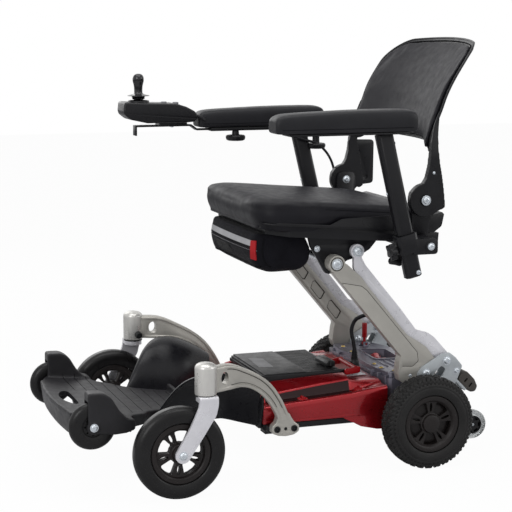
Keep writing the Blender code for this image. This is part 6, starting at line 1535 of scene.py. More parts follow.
def make_bracket():
    """The lower bracket: two cheeks, a bar, the pins and their bolts, and the grey bumper."""
    inner, outer = 0.1735, 0.203
    teardrop = rounded([(0.322, 0.192), (0.345, 0.214), (0.356, 0.206), (0.347, 0.188)], 0.0065)
    outline = rounded(BRACKET_CORNERS, 0.007)
    parts = []
    for low in (inner, outer):
        parts.append(soften(plate("cheek", outline, low, low + 0.003, holes=(teardrop,)), 0.0006, 2))
    far = outer + 0.003
    bar = [bar_point(a, b) for a, b in ((0.0, -0.003), (0.047, -0.003), (0.047, 0.003), (0.0, 0.003))]
    parts.append(soften(plate("bar", rounded(bar, 0.0012), inner + 0.001, far - 0.0005), 0.0006))
    spacer = (0.382, 0.2)
    parts.append(rod("spacer", (inner + 0.001, *spacer), (outer + 0.001, *spacer), 0.006, sides=30))
    for pivot, radius in ((PIVOT_A, 0.006), (PIVOT_B, 0.005)):
        parts.append(rod("pin", (inner + 0.001, *pivot), (far, *pivot), radius, sides=30))
    pair_wear(merge("bracket", *parts), "lower_bracket", "zinc", "base", smooth=34)
    heads = [
        bolt_head((far, *place), (1, 0, 0), radius)
        for place, radius in ((PIVOT_A, 0.0088), (PIVOT_B, 0.0088), (spacer, 0.0062))
    ]
    heads += [bolt_head((inner - 0.0002, *pivot), (-1, 0, 0), 0.0085) for pivot in (PIVOT_A, PIVOT_B)]
    pair_of("bracket_bolts", "bolt", "base", *heads)
    seat = 0.0033
    corners = [
        bar_point(a, b)
        for a, b in (
            (0.0145, seat), (0.015, 0.031), (0.046, 0.0305), (0.0625, 0.024), (0.067, 0.0125), (0.058, seat),
        )
    ]
    slots = []
    for a in (0.032, 0.048):
        slot = [
            bar_point(a + p, q)
            for p, q in ((-0.0022, 0.0095), (0.0022, 0.0095), (0.0022, 0.021), (-0.0022, 0.021))
        ]
        slots.append(rounded(slot, 0.0021))
    bumper = soften(plate("bumper", rounded(corners, 0.008), inner + 0.002, far, holes=slots), 0.0022, 3)
    pair_wear(bumper, "rear_bumper", "bumper", "base", smooth=34)


make_cover()
make_battery()
make_casting()
make_lift_arm()
make_rear_link()
make_bracket()


# Seat: upholstery, shell, pouch and backrest

SEAT_TILT = math.radians(4.7)
SEAT_FOOT = Vector((0.0, 0.08, 0.528))
CUSHION_HALF = 0.2037
CUSHION_FRONT, CUSHION_REAR = -0.164, 0.2225
CUSHION_FLOOR, CUSHION_CREASE = 0.0036, 0.048
NOSE_DROOP = 0.018
POUCH_HALF = 0.168
BACK_HALF = 0.2155
BACK_LOW, BACK_TOP = 0.7, 0.92
CORNER_DROP = 0.034
BACK_PIN = (0.288, 0.582)
LEG_OUTLINE = (
    # the back's legs in side view: y, z and the corner's radius
    (0.253, 0.592, 0.004), (0.256, 0.6, 0.006), (0.266, 0.609, 0.012), (0.283, 0.617, 0.01),
    (0.2905, 0.629, 0.014), (0.2968, 0.654, 0.03), (0.2995, 0.678, 0.02), (0.3025, 0.702, 0.02),
    (0.312, 0.74, 0.03), (0.3235, 0.767, 0.004), (0.3262, 0.77, 0.002), (0.3235, 0.745, 0.04),
    (0.319, 0.715, 0.03), (0.3172, 0.688, 0.03), (0.3205, 0.66, 0.03), (0.3262, 0.632, 0.03),
    (0.331, 0.6, 0.03), (0.3345, 0.566, 0.005), (0.325, 0.56, 0.006),
)
BRACKET_OUTLINE = (
    # the plate inside the right leg
    (0.296, 0.6765, 0.004), (0.361, 0.6745, 0.01), (0.36, 0.5705, 0.01), (0.32, 0.567, 0.006),
    (0.296, 0.6, 0.004),
)


def seat_turn():
    """From seat coordinates (across, along, above) to world ones."""
    return Matrix.Translation(SEAT_FOOT) @ Matrix.Rotation(-SEAT_TILT, 4, "X")


def seat_point(along, above):
    place = seat_turn() @ Vector((0, along, above))
    return place.y, place.z


def block_grid(name, cells, place):
    """A block gridded with its cells each way, whose points (-1 to 1 each way) a rule moves into place."""
    shape = bmesh.new()
    bmesh.ops.create_cube(shape, size=2.0)
    for axis, count in enumerate(cells):
        along = [e for e in shape.edges if abs(e.verts[0].co[axis] - e.verts[1].co[axis]) > 0.01]
        bmesh.ops.subdivide_edges(shape, edges=along, cuts=count - 1, use_grid_fill=True)
    for vertex in shape.verts:
        vertex.co = place(*vertex.co)
    return from_bmesh(name, shape)


def held_in(value):
    """A value kept from 0 to 1."""
    return max(0.0, min(1.0, value))


def round_corner(u, v, share_u, share_v):
    """Rounds the corners of a square, each over its own share of the sides."""
    reach_u = (abs(u) - 1 + share_u) / share_u
    reach_v = (abs(v) - 1 + share_v) / share_v
    if reach_u <= 0 or reach_v <= 0:
        return u, v
    new_u = reach_u * math.sqrt(1 - reach_v * reach_v / 2)
    new_v = reach_v * math.sqrt(1 - reach_u * reach_u / 2)
    return (math.copysign(1 - share_u + share_u * new_u, u), math.copysign(1 - share_v + share_v * new_v, v))


def swell(obj, limit, held, voxel, pressure, frames):
    """Lets a padded form swell under its own pressure, each point by no more than a limit."""
    obj = remesh(obj, voxel)
    start = [vertex.co.copy() for vertex in obj.data.vertices]
    group = obj.vertex_groups.new(name="held")
    group.add([i for i, place in enumerate(start) if held(place)], 1.0, "REPLACE")
    cloth = modify(obj, "CLOTH")
    for name, value in (
        ("quality", 4), ("mass", 0.3), ("tension_stiffness", 30), ("compression_stiffness", 30),
        ("bending_stiffness", 2.0), ("use_pressure", True), ("uniform_pressure_force", pressure),
        ("vertex_group_mass", "held"),
    ):
        setattr(cloth.settings, name, value)
    cloth.settings.effector_weights.gravity = 0.0
    cloth.collision_settings.use_collision = False
    cloth.point_cache.frame_start = 1
    cloth.point_cache.frame_end = frames
    for number in range(1, frames + 1):
        bpy.context.scene.frame_set(number)
    graph = bpy.context.evaluated_depsgraph_get()
    blown = obj.evaluated_get(graph)
    moved = [vertex.co.copy() for vertex in blown.data.vertices]
    obj.modifiers.remove(cloth)
    bpy.context.scene.frame_set(1)
    for vertex, old, new in zip(obj.data.vertices, start, moved):
        step = new - old
        vertex.co = old + step.normalized() * min(step.length, limit)
    modify(obj, "SMOOTH", factor=0.5, iterations=8)
    modify(obj, "SUBSURF", levels=1, render_levels=1)
    return settle(obj, False)


def surface_tree(obj):
    return BVHTree.FromObject(obj, bpy.context.evaluated_depsgraph_get())


def laid_strip(name, tree, starts, direction, width, thickness):
    """A ribbon on a surface, where rays from the starts meet it, sunk in by a little."""
    direction = Vector(direction)
    places, normals = [], []
    for start in starts:
        hit, normal, _, _ = tree.ray_cast(Vector(start), direction)
        if hit is None:
            continue
        if normal.dot(direction) > 0:
            normal = -normal
        places.append(hit + normal * -0.0004)
        normals.append(normal)
    return strip(name, places, normals, width, thickness)


def run(first, length, count):
    """Evenly spaced values over a length, the first and the last among them."""
    return [first + index * length / (count - 1) for index in range(count)]


def upholster(obj, look, body, node_name):
    wear(obj, look, body, node_name, smooth=0)
    shade(obj, 60)


def bulge_side(height):
    """How far the cushion's side stands in from its widest line, from its foot (0) to its top (1)."""
    stops = (
        (0.0, 0.0075), (0.12, 0.004), (0.3, 0.001), (0.52, 0.0), (0.68, 0.0008), (0.76, 0.003), (0.8, 0.0036),
        (0.85, 0.0018), (0.93, 0.0032), (1.0, 0.0078),
    )
    for (low, inset_low), (high, inset_high) in zip(stops, stops[1:]):
        if height <= high:
            return inset_low + (inset_high - inset_low) * (height - low) / (high - low)
    return stops[-1][1]


def make_cushion():
    """The seat's cushion, wider and hanging lower toward its front, with a seam along each side."""
    half_length = (CUSHION_REAR - CUSHION_FRONT) / 2
    middle = (CUSHION_REAR + CUSHION_FRONT) / 2
    turn = seat_turn()

    def place(u, v, w):
        share = 0.124 if v < 0 else 0.05
        a, b = round_corner(u, v, share / CUSHION_HALF / 2, share / half_length / 2)
        height = (w + 1) / 2
        inset = bulge_side(height) + 0.0005
        waist = 0.003 * (1 - v * v) * abs(u) ** 3
        edge = max(abs(u), abs(v))
        drawn = inset if edge > 0.99 else inset * edge**12
        side_x = a * (CUSHION_HALF + 0.005 * held_in((-0.05 - v) / 0.35) - drawn) - math.copysign(waist, u)
        tuck = 0.014 * (1 - height) ** 1.4 * max(0.0, (-b - 0.7) / 0.3) ** 1.5 * (edge > 0.99)
        side_y = middle + b * (half_length - drawn) + tuck
        crown = 0.0095 * (1 - abs(u) ** 4) * (1 - abs(v) ** 5)
        dish = 0.005 * (1 - u * u) * (1 - v * v)
        roll = 0.0015 * max(0.0, -v) ** 6
        top = CUSHION_CREASE - 0.001 - roll + (crown - dish) * (w > 0.99)
        reach = held_in((edge - 0.86) / 0.08)
        foot = CUSHION_FLOOR - NOSE_DROOP * reach * held_in((0.03 - side_y) / 0.06)
        return turn @ Vector((side_x, side_y, foot + height * (top - foot)))

    form = block_grid("cushion", (48, 44, 14), place)
    lowest = CUSHION_FLOOR - 0.01
    back_turn = turn.inverted()
    cushion = swell(form, 0.0022, lambda p: (back_turn @ p).z < lowest, 0.0038, 3.0, 14)
    upholster(cushion, "vinyl", "seat", "seat_cushion")
    seams = []
    tree = surface_tree(cushion)
    for side in BOTH:
        places = run(-0.01, CUSHION_REAR - 0.002, 60)
        starts = [turn @ Vector((side * 0.3, along, CUSHION_CREASE * 0.79)) for along in places]
        seams.append(laid_strip("seam", tree, starts, (-side, 0, 0), 0.0012, 0.0007))
    wear(merge("cushion_seams", *seams), "webbing", "seat")


def make_pouch():
    """The pouch under the seat's front, with its band, bindings, patch, tab and stitches."""
    top = -0.0233
    near = rounded(
        [
            (*seat_point(-0.146, top), 0.006), (-0.0745, 0.478, 0.014), (-0.067, 0.4445, 0.014),
            (-0.037, 0.431, 0.018), (0.03, 0.432, 0.014), (0.048, 0.444, 0.01), (0.05, 0.48, 0.006),
            (*seat_point(-0.04, top), 0.004),
        ],
        0.01,
    )
    sections = []
    half = POUCH_HALF - 0.0015
    for index in range(37):
        x = -half + 2 * half * index / 36
        near_end = max(0.0, abs(x) - half + 0.034) / 0.034
        inset = 0.034 * (1 - math.sqrt(max(0.0, 1 - near_end * near_end)))
        bow = 0.004 * (1 - (x / half) ** 2)
        section = []
        for y, z in near:
            front = held_in((0.02 - y) / 0.08)
            low = held_in((0.5 - z) / 0.06)
            section.append((x, y + (inset - bow) * front + 0.002, z + 0.34 * inset * low))
        sections.append(section)
    form = loft("pouch", sections)
    pouch = swell(form, 0.005, lambda p: p.z > 0.503, 0.0046, 6.0, 16)
    upholster(pouch, "pouch", "seat", "seat_pouch")
    tree = surface_tree(pouch)
    rearward = (0, 1, 0)

    def across(first, length, count, height):
        return [(x, -0.3, height) for x in run(first, length, count)]

    band = laid_strip("pouch_band", tree, across(-0.15, 0.288, 60, 0.4935), rearward, 0.0125, 0.0011)
    wear(band, "reflective", "seat")
    zips = [
        laid_strip("zip", tree, across(-0.15, 0.288, 60, 0.4845), rearward, 0.0022, 0.0012),
        laid_strip("piping", tree, across(-0.15, 0.3, 60, 0.4445), rearward, 0.0028, 0.0022),
    ]
    for side in BOTH:
        rise = [(side * 0.1595, -0.3, z) for z in run(0.444, 0.062, 20)]
        zips.append(laid_strip("piping", tree, rise, rearward, 0.0026, 0.002))
    wear(merge("pouch_binding", *zips), "webbing", "seat")
    patch = laid_strip("pouch_patch", tree, across(-0.092, 0.1, 30, 0.464), rearward, 0.023, 0.0009)
    wear(patch, "patch", "seat")
    tab = [(0.25, -0.164, 0.5 - index * 0.04 / 19) for index in range(20)]
    wear(laid_strip("pouch_tab", tree, tab, (-0.74, 0.67, 0), 0.017, 0.0026), "red_cloth", "seat")
    stitches = []
    for x in run(-0.15, 0.3, 36):
        line = [(x + step * 0.0012, -0.3, 0.4795) for step in range(4)]
        stitches.append(laid_strip("stitch", tree, line, rearward, 0.0008, 0.001))
    wear(merge("pouch_stitches", *stitches), "reflective", "seat")


BACK_LINE = (
    # height, y of the shell's front face at its side edges
    (0.68, 0.301), (0.7, 0.302), (0.72, 0.3065), (0.742, 0.315), (0.768, 0.326), (0.8, 0.338),
    (0.83, 0.353), (0.864, 0.374), (0.904, 0.402), (0.93, 0.419),
)
BACK_CURVE = spline_through(BACK_LINE, 8)


def back_y(x, z):
    """The shell's front face: the side edges' line, wrapped rearward toward the middle."""
    y = BACK_CURVE[-1][1]
    for (low, y_low), (high, y_high) in zip(BACK_CURVE, BACK_CURVE[1:]):
        if z <= high:
            y = y_low + (y_high - y_low) * (z - low) / (high - low)
            break
    share = min(1.0, abs(x) / BACK_HALF)
    return y + 0.045 * (1 - share**2.2)


def back_outline(u, v, inset):
    """From a place on the back (-1 to 1 each way) to x and z, its corners rounded and its foot drooping."""
    a, b = round_corner(u, v, 0.3 if v > 0 else 0.16, 0.5 if v > 0 else 0.2)
    half = BACK_HALF - inset
    low, high = BACK_LOW + inset, BACK_TOP - inset
    x = a * (half - 0.006 * max(0.0, b))
    z = (low + high) / 2 + b * (high - low) / 2
    corner = max(0.0, (abs(a) - 0.66) / 0.34) * max(0.0, -b) ** 2
    return x, z - 0.012 * max(0.0, b) * (x / half) ** 2 - CORNER_DROP * corner**1.5


def square_edge(count):
    """Places round a square from -1 to 1, from its low left corner."""
    line = [-1 + 2 * index / count for index in range(count)]
    ring = [(t, -1) for t in line] + [(1, t) for t in line]
    return ring + [(-t, 1) for t in line] + [(-1, -t) for t in line]


def back_ring(count, name, share, inset, rearward, radius, sides):
    """A bead round the back at a share of its size, off the shell's front face."""
    ring = []
    for u, v in square_edge(count):
        x, z = back_outline(u * share, v * share, inset)
        ring.append(Vector((x, back_y(x, z) + rearward, z)))
    return tube(name, [*ring, ring[0]], radius, sides)


def make_back_shell():
    """The back's skin with its beads, its two legs and the plate inside the right leg."""
    shape = bmesh.new()
    bmesh.ops.create_grid(shape, x_segments=48, y_segments=40, size=1.0)
    for vertex in shape.verts:
        x, z = back_outline(vertex.co.x, vertex.co.y, 0.0005)
        vertex.co = (x, back_y(x, z) + 0.0015, z)
    skin = from_bmesh("back_skin", shape, outward=False)
    modify(skin, "SOLIDIFY", thickness=0.003, offset=0.0)
    skin = settle(skin, False)
    rings = (("lip", 1.0, 0.0022, 0.0008, 0.0024, 10), ("rib", 0.93, 0.0, 0.003, 0.0016, 8))
    beads = [back_ring(40, *ring) for ring in rings]
    horns = []
    for side in BOTH:
        low, high = span(side, 0.2145, 0.231)
        horn = plate("horn", rounded(LEG_OUTLINE, 0.004), low, high)
        lobe = rod("lobe", (low, *BACK_PIN), (high, *BACK_PIN), 0.0358, sides=72)
        bore = rod("bore", (side * 0.2, *BACK_PIN), (side * 0.25, *BACK_PIN), 0.0102, sides=48)
        horn = remesh(cut(join(horn, lobe), bore), 0.0015)
        for vertex in horn.data.vertices:
            rise = held_in((vertex.co.z - 0.672) / 0.085)
            slim = 1 - 0.9 * rise * rise * (3 - 2 * rise)
            vertex.co.x = side * (0.2125 + (abs(vertex.co.x) - 0.2125) * slim)
        modify(horn, "SMOOTH", factor=0.5, iterations=3)
        horns.append(settle(horn, False))
    plate_form = plate("bracket", rounded(BRACKET_OUTLINE, 0.004), -0.22, -0.215)
    dimples = [
        rod("dimple", (-0.218, y, z), (-0.21, y, z), 0.0052, sides=32)
        for y, z in ((0.3165, 0.6504), (0.34, 0.586))
    ]
    plate_form = soften(cut(plate_form, *dimples), 0.001, 2)
    shell = merge("back_shell_form", skin, *beads, *horns, plate_form)
    wear(shell, "satin_shell", BODY_OF["back_shell"], "back_shell", smooth=38)
    spots = [((side * 0.2312, 0.306, 0.64), (side, 0, 0), 0.0028) for side in BOTH]
    bolts("back_screws", spots, BODY_OF["back_shell"])


def make_back_cushion():
    """The back's cushion with a dark ring round it, painted shade in the gap between cushion and shell lip.
    """
    def place(u, v, w):
        height = (w + 1) / 2
        x, z = back_outline(u, v, 0.0075)
        edge = (1 - abs(u) ** 6) * (1 - abs(v) ** 6)
        thin = 0.45 + 0.55 * min(1.0, (1 - v) / 0.9)
        crown = (0.0105 * edge + 0.002) * thin * (w > 0.99)
        drawn = 0.0025 * math.sin(math.pi * height)
        if abs(u) > 0.99:
            x -= math.copysign(drawn + 0.0025 * (1 - v * v), u)
        if abs(v) > 0.99:
            z -= math.copysign(drawn, v)
        depth = 0.002 + height * (0.006 + crown)
        return Vector((x, back_y(x, z) - depth, z))

    form = block_grid("back_pad", (56, 36, 3), place)

    def held(place):
        return place.y > back_y(place.x, place.z) - 0.0045

    cushion = swell(form, 0.0014, held, 0.0038, 3.0, 14)
    upholster(cushion, "back_skin", BODY_OF["back_cushion"], "back_cushion")
    # painted shade: a dark tube in the gap between the cushion and the shell's lip
    piping = back_ring(60, "back_gap_shade_ring", 1.0, 0.0078, -0.002, 0.0012, 8)
    wear(piping, "webbing", BODY_OF["back_cushion"])


def make_seat_fittings():
    """The seat's shell and frame, the screws in them and the washers behind the back's pins."""
    shell = soften(copy_of("seat_shell", "seat_shell_form"), 0.001, 2, 32)
    wear(shell, "satin_shell", "seat", "seat_shell", smooth=40)
    frame_form = copy_of("seat_frame", "seat_frame_form")
    corners = []
    for side in BOTH:
        turned = Matrix.Translation((side * 0.205, -0.132, -0.012)) @ Matrix.Rotation(math.pi / 4, 4, "Z")
        corners.append(box("corner", (-0.036, -0.036, -0.03), (0.036, 0.036, 0.0112), seat_turn() @ turned))
    frame_form = soften(cut(frame_form, *corners), 0.001, 2, 32)
    wear(frame_form, "black_paint", "seat", "seat_frame", smooth=34)
    spots = []
    for side in BOTH:
        spots += [
            ((side * 0.1789, 0.062, 0.4815), (side, 0, 0), 0.006),
            ((side * 0.1992, *PIVOT_V), (side, 0, 0), 0.01),
            ((side * 0.2342, *BACK_PIN), (side, 0, 0), 0.0085),
            ((side * 0.2078, *BACK_PIN), (-side, 0, 0), 0.008),
        ]
    bolts("seat_screws", spots, "seat")
    ring = [(0.0, 0.0), (0.0105, 0.0), (0.011, 0.0004), (0.0105, 0.0009), (0.0, 0.0009)]
    washers = [
        lathe("washer", ring, (side * 0.2338 - (0.0004 if side > 0 else 0.0005), *BACK_PIN), "X", 40)
        for side in BOTH
    ]
    wear(merge("back_washers", *washers), "bolt", "seat")


make_cushion()
make_pouch()
make_back_shell()
make_back_cushion()
make_seat_fittings()


# Arms: clamps, posts, pads, controller and joystick

POST_X, POST_HALF, POST_DEPTH_HALF = 0.258, 0.013, 0.018
POST_FOOT = Vector((0.0, 0.226, 0.52))
POST_TILT = math.radians(13.5)
RIGHT_DROP = 0.023
PAD_X, PAD_HALF, PAD_LOW = 0.262, 0.03, 0.733
STICK_X, STICK_Y, STICK_TOP = -0.251, -0.21, 0.836
EAR_X, BAR_LENGTH = 0.2142, 0.12
BAR_Y, BAR_Z, BAR_HALF = 0.282, 0.4885, 0.011


def post_turn():
    """From post coordinates (across, fore and aft, along the post) to world ones."""
    return Matrix.Translation(POST_FOOT) @ Matrix.Rotation(POST_TILT, 4, "X")


def on_post(across, fore, along):
    return post_turn() @ Vector((across, fore, along))


def post_axis(across, fore):
    return (post_turn().to_3x3() @ Vector((across, fore, 0))).normalized()


def post_section(half, depth, chamfer, z):
    """An oblong with cut corners."""
    corners = [
        (half, depth - chamfer), (half - chamfer, depth), (chamfer - half, depth), (-half, depth - chamfer),
        (-half, chamfer - depth), (chamfer - half, -depth), (half - chamfer, -depth), (half, chamfer - depth),
    ]
    return [(x, y, z) for x, y in corners]


def make_post(side, drop):
    """An armrest's post with the plate under its pad, the right one set lower by a drop."""
    shift = Matrix.Translation((0, drop * math.tan(POST_TILT), -drop))
    low = (0.425 - POST_FOOT.z) / math.cos(POST_TILT)
    high = (PAD_LOW - 0.009 - POST_FOOT.z + 0.004) / math.cos(POST_TILT)
    post = loft(
        "post",
        [
            post_section(POST_HALF - inset, POST_DEPTH_HALF - inset, 0.0062, z)
            for z, inset in ((low, 0.0012), (low + 0.0012, 0.0), (high, 0.0))
        ],
    )
    post.data.transform(Matrix.Translation((side * POST_X, 0, 0)))
    grooves = []
    for x in (-0.0065, 0.0065):
        x_low, x_high = side * POST_X + x - 0.0006, side * POST_X + x + 0.0006
        for fore, aft in ((-0.0185, -0.0174), (0.0174, 0.0185)):
            grooves.append(box("groove", (x_low, fore, low - 0.01), (x_high, aft, high)))
    post = soften(cut(post, *grooves), 0.001, 2, 25)
    post.data.transform(shift @ post_turn())
    plate_top = PAD_LOW - drop - GAP
    thick, rear = (0.0045, 0.224) if side > 0 else (0.008, 0.238)
    slab = box(
        "slab", (side * PAD_X - 0.025, -0.04, plate_top - thick), (side * PAD_X + 0.025, rear, plate_top),
    )
    slab = soften(slab, 0.0016, 2)
    if side < 0:
        slot = box(
            "slot", (STICK_X - 0.0115, -0.07, plate_top - 0.006), (STICK_X + 0.0115, 0.1, plate_top - 0.0015),
        )
        slab = cut(slab, slot)
    screws = []
    for x in (-0.012, 0.012):
        spot = shift @ on_post(side * POST_X + x * 0.5, POST_DEPTH_HALF, 0.19)
        screws.append(bolt_head(spot, post_axis(0, 1), 0.0024))
    spot = shift @ on_post(side * POST_X - 0.004, -POST_DEPTH_HALF, 0.088)
    screws.append(bolt_head(spot, post_axis(0, -1), 0.0028))
    name = "left" if side > 0 else "right"
    body = BODY_OF[f"armrest_post_{name}"]
    wear(merge(f"post_{name}", post, slab), "black_paint", body, f"armrest_post_{name}", smooth=34)
    spot = shift @ on_post(side * (POST_X + POST_HALF), 0.009, low + 0.0085)
    screws.append(bolt_head(spot, (side, 0, 0), 0.0046))
    wear(merge(f"post_screws_{name}", *screws), "bolt", body, smooth=40)


def make_pad_knobs():
    """The two hand nuts that hold the controller's strip under the right pad."""
    plate_low = PAD_LOW - RIGHT_DROP - GAP - 0.008
    profile = [
        (0.0, 0.002), (0.0075, 0.002), (0.0075, -0.01), (0.0125, -0.0104), (0.018, -0.0112), (0.02, -0.0135),
        (0.02, -0.018), (0.0186, -0.0222), (0.015, -0.024), (0.0, -0.0244),
    ]
    forms = []
    for y, reach_down in ((0.024, 0.0), (0.226, 0.024)):
        knob = lathe("knob", profile, (0, 0, 0), "Z", 112)
        for vertex in knob.data.vertices:
            if vertex.co.z < -0.005:
                vertex.co.xy *= 1.15
                vertex.co.z -= reach_down
            reach = vertex.co.xy.length
            if reach > 0.02:
                wave = 1 - 0.035 * (0.5 + 0.5 * math.cos(14 * math.atan2(vertex.co.y, vertex.co.x)))
                vertex.co.x *= wave
                vertex.co.y *= wave
        knob.data.transform(Matrix.Translation((STICK_X, y, plate_low)))
        forms.append(knob)
    wear(merge("pad_knobs", *forms), "moulded", BODY_OF["armrest_post_right"], smooth=34)


def make_clamp():
    """The armrest's clamp: a block on its bar, a sleeve round the post and the knob that holds it."""
    inner, outer = 0.215, POST_X + POST_HALF + 0.005
    depth = POST_DEPTH_HALF
    sleeve = loft(
        "sleeve", [post_section(POST_HALF + 0.005, depth + 0.005, 0.007, z) for z in (-0.044, -0.004)],
    )
    sleeve.data.transform(post_turn() @ Matrix.Translation((POST_X, 0, 0)))
    web = soften(
        box("web", (POST_X - POST_HALF - 0.012, -depth, -0.04), (POST_X, depth, -0.008), post_turn()), 0.002,
    )
    block_line = rounded([(0.24, 0.4735), (0.297, 0.4735), (0.297, 0.5065), (0.24, 0.5065)], 0.008)
    block = plate("block", block_line, inner, outer - 0.0004)
    bolt = (0.281, 0.49)
    boss = rod("boss", (outer - 0.004, *bolt), (outer + 0.0012, *bolt), 0.0128, sides=60)
    bar = box(
        "bar", (EAR_X - BAR_LENGTH, BAR_Y - BAR_HALF, BAR_Z - BAR_HALF),
        (inner + 0.01, BAR_Y + BAR_HALF, BAR_Z + BAR_HALF),
    )
    clamp = join(block, sleeve, web, boss, bar)
    reach = 0.0006
    hole = box(
        "hole", (POST_X - POST_HALF - reach, -depth - reach, -0.1),
        (POST_X + POST_HALF + reach, depth + reach, 0.1), post_turn(),
    )
    split = box("split", (POST_X - 0.0012, depth, -0.1), (POST_X + 0.0012, depth + 0.0055, 0.0), post_turn())
    clamp = soften(cut(clamp, hole, split), 0.0014, 2, 30)
    pair_wear(clamp, "armrest_clamp", "black_paint", "clamp_SIDE", smooth=34)
    make_t_knob()
    pair_of("clamp_bolt", "bolt", "clamp_SIDE", bolt_head((outer + 0.0012, *bolt), (1, 0, 0), 0.0072))


def make_t_knob():
    """The knob that holds the clamp on its bar."""
    stem = [(0.0, 0.0), (0.0052, 0.0), (0.0052, 0.024), (0.0075, 0.026), (0.0, 0.028)]
    stem = lathe("stem", stem, (0, 0, 0), "Z", 28)
    stem.data.transform(Matrix.Translation((0.235, 0.2215, 0.453)) @ toward((0, 0.007, 0.028)))
    grip = [
        (0.0, -0.015), (0.005, -0.0146), (0.0072, -0.0125), (0.0076, -0.009), (0.007, 0.0), (0.0076, 0.009),
        (0.0072, 0.0125), (0.005, 0.0146), (0.0, 0.015),
    ]
    grip = lathe("grip", grip, (0, 0, 0), "Z", 36)
    grip.data.transform(Matrix.Translation((0.235, 0.218, 0.4545)) @ toward((0, 0.03, -0.007)))
    pair_of("t_knob", "moulded", "clamp_SIDE", stem, grip)


def make_star_knob():
    """The five-lobed knob that clamps the post."""
    neck = 0.0035
    seated = post_turn() @ Matrix.Translation((POST_X, -POST_DEPTH_HALF - 0.005 - GAP - neck, -0.0324))
    outline = []
    for turn in on_circle(90):
        radius = 0.016 + 0.0026 * math.cos(5 * turn)
        outline.append((radius * math.cos(turn), radius * math.sin(turn)))
    knob = soften(plate("knob", outline, -0.0145, -0.0015, "Y"), 0.0018, 3)
    hub = rod("hub", (0, -0.003, 0), (0, neck, 0), 0.007, sides=36)
    cap = [(0.0, 0.0), (0.006, 0.0), (0.0075, -0.0006), (0.0075, -0.002), (0.0, -0.002)]
    cap = lathe("cap", cap, (0, 0, 0), "Z", 36)
    cap.data.transform(Matrix.Translation((0, -0.015, 0)) @ Matrix.Rotation(math.pi / 2, 4, "X"))
    knob = merge("knob", knob, hub, cap)
    knob.data.transform(seated)
    pair_wear(knob, "clamp_knob", "moulded", "knob_SIDE", smooth=36)


PAD_RIGHT = [
    # share of the half width, share of the height
    (0.84, 0.0), (0.95, 0.03), (0.985, 0.12), (1.0, 0.34), (1.0, 0.56), (0.985, 0.7), (0.94, 0.82),
    (0.86, 0.91), (0.74, 0.96), (0.56, 0.985), (0.3, 1.0),
]
PAD_LEFT = [(-share, rise) for share, rise in reversed(PAD_RIGHT)]
PAD_PROFILE = [PAD_LEFT[-1], *PAD_RIGHT, (0.0, 1.006), *PAD_LEFT[:-1]]
PAD_STATIONS = (
    # y, foot, top, share of the half width
    (-0.07, 0.01, 0.023, 0.6),
    (-0.0695, 0.005, 0.0275, 0.74),
    (-0.0665, 0.0015, 0.0325, 0.86),
    (-0.06, 0.0002, 0.037, 0.945),
    (-0.048, 0.0, 0.04, 0.985),
    (-0.025, 0.0, 0.0418, 1.0),
    (0.03, 0.0, 0.044, 1.0),
    (0.1, 0.0, 0.0462, 1.0),
    (0.175, 0.0, 0.0468, 1.0),
    (0.215, 0.0, 0.0462, 0.995),
    (0.23, 0.0002, 0.044, 0.97),
    (0.2385, 0.0015, 0.04, 0.91),
    (0.2418, 0.006, 0.034, 0.8),
    (0.242, 0.011, 0.028, 0.7),
)


def make_pad(side, drop):
    """An armrest's pad with a seam along each side."""
    low = PAD_LOW - drop
    sections = [
        [
            (side * PAD_X + share * PAD_HALF * min(width, 1.0), y, low + foot + rise * (top - foot))
            for share, rise in PAD_PROFILE
        ]
        for y, foot, top, width in spline_through(PAD_STATIONS, 4)
    ]
    pad = loft("pad", sections)
    modify(pad, "SUBSURF", levels=1, render_levels=1)
    pad = settle(pad, False)
    name = "left" if side > 0 else "right"
    body = BODY_OF[f"armrest_pad_{name}"]
    wear(pad, "pad_skin", body, f"armrest_pad_{name}", smooth=0)
    shade(pad, 50)
    tree = surface_tree(pad)
    seams = []
    for out in BOTH:
        line = [(side * PAD_X + out * 0.1, y, low + 0.0092) for y in run(-0.058, 0.288, 70)]
        seams.append(laid_strip("seam", tree, line, (-out, 0, 0), 0.0011, 0.0006))
    wear(merge(f"pad_seam_{name}", *seams), "webbing", body)


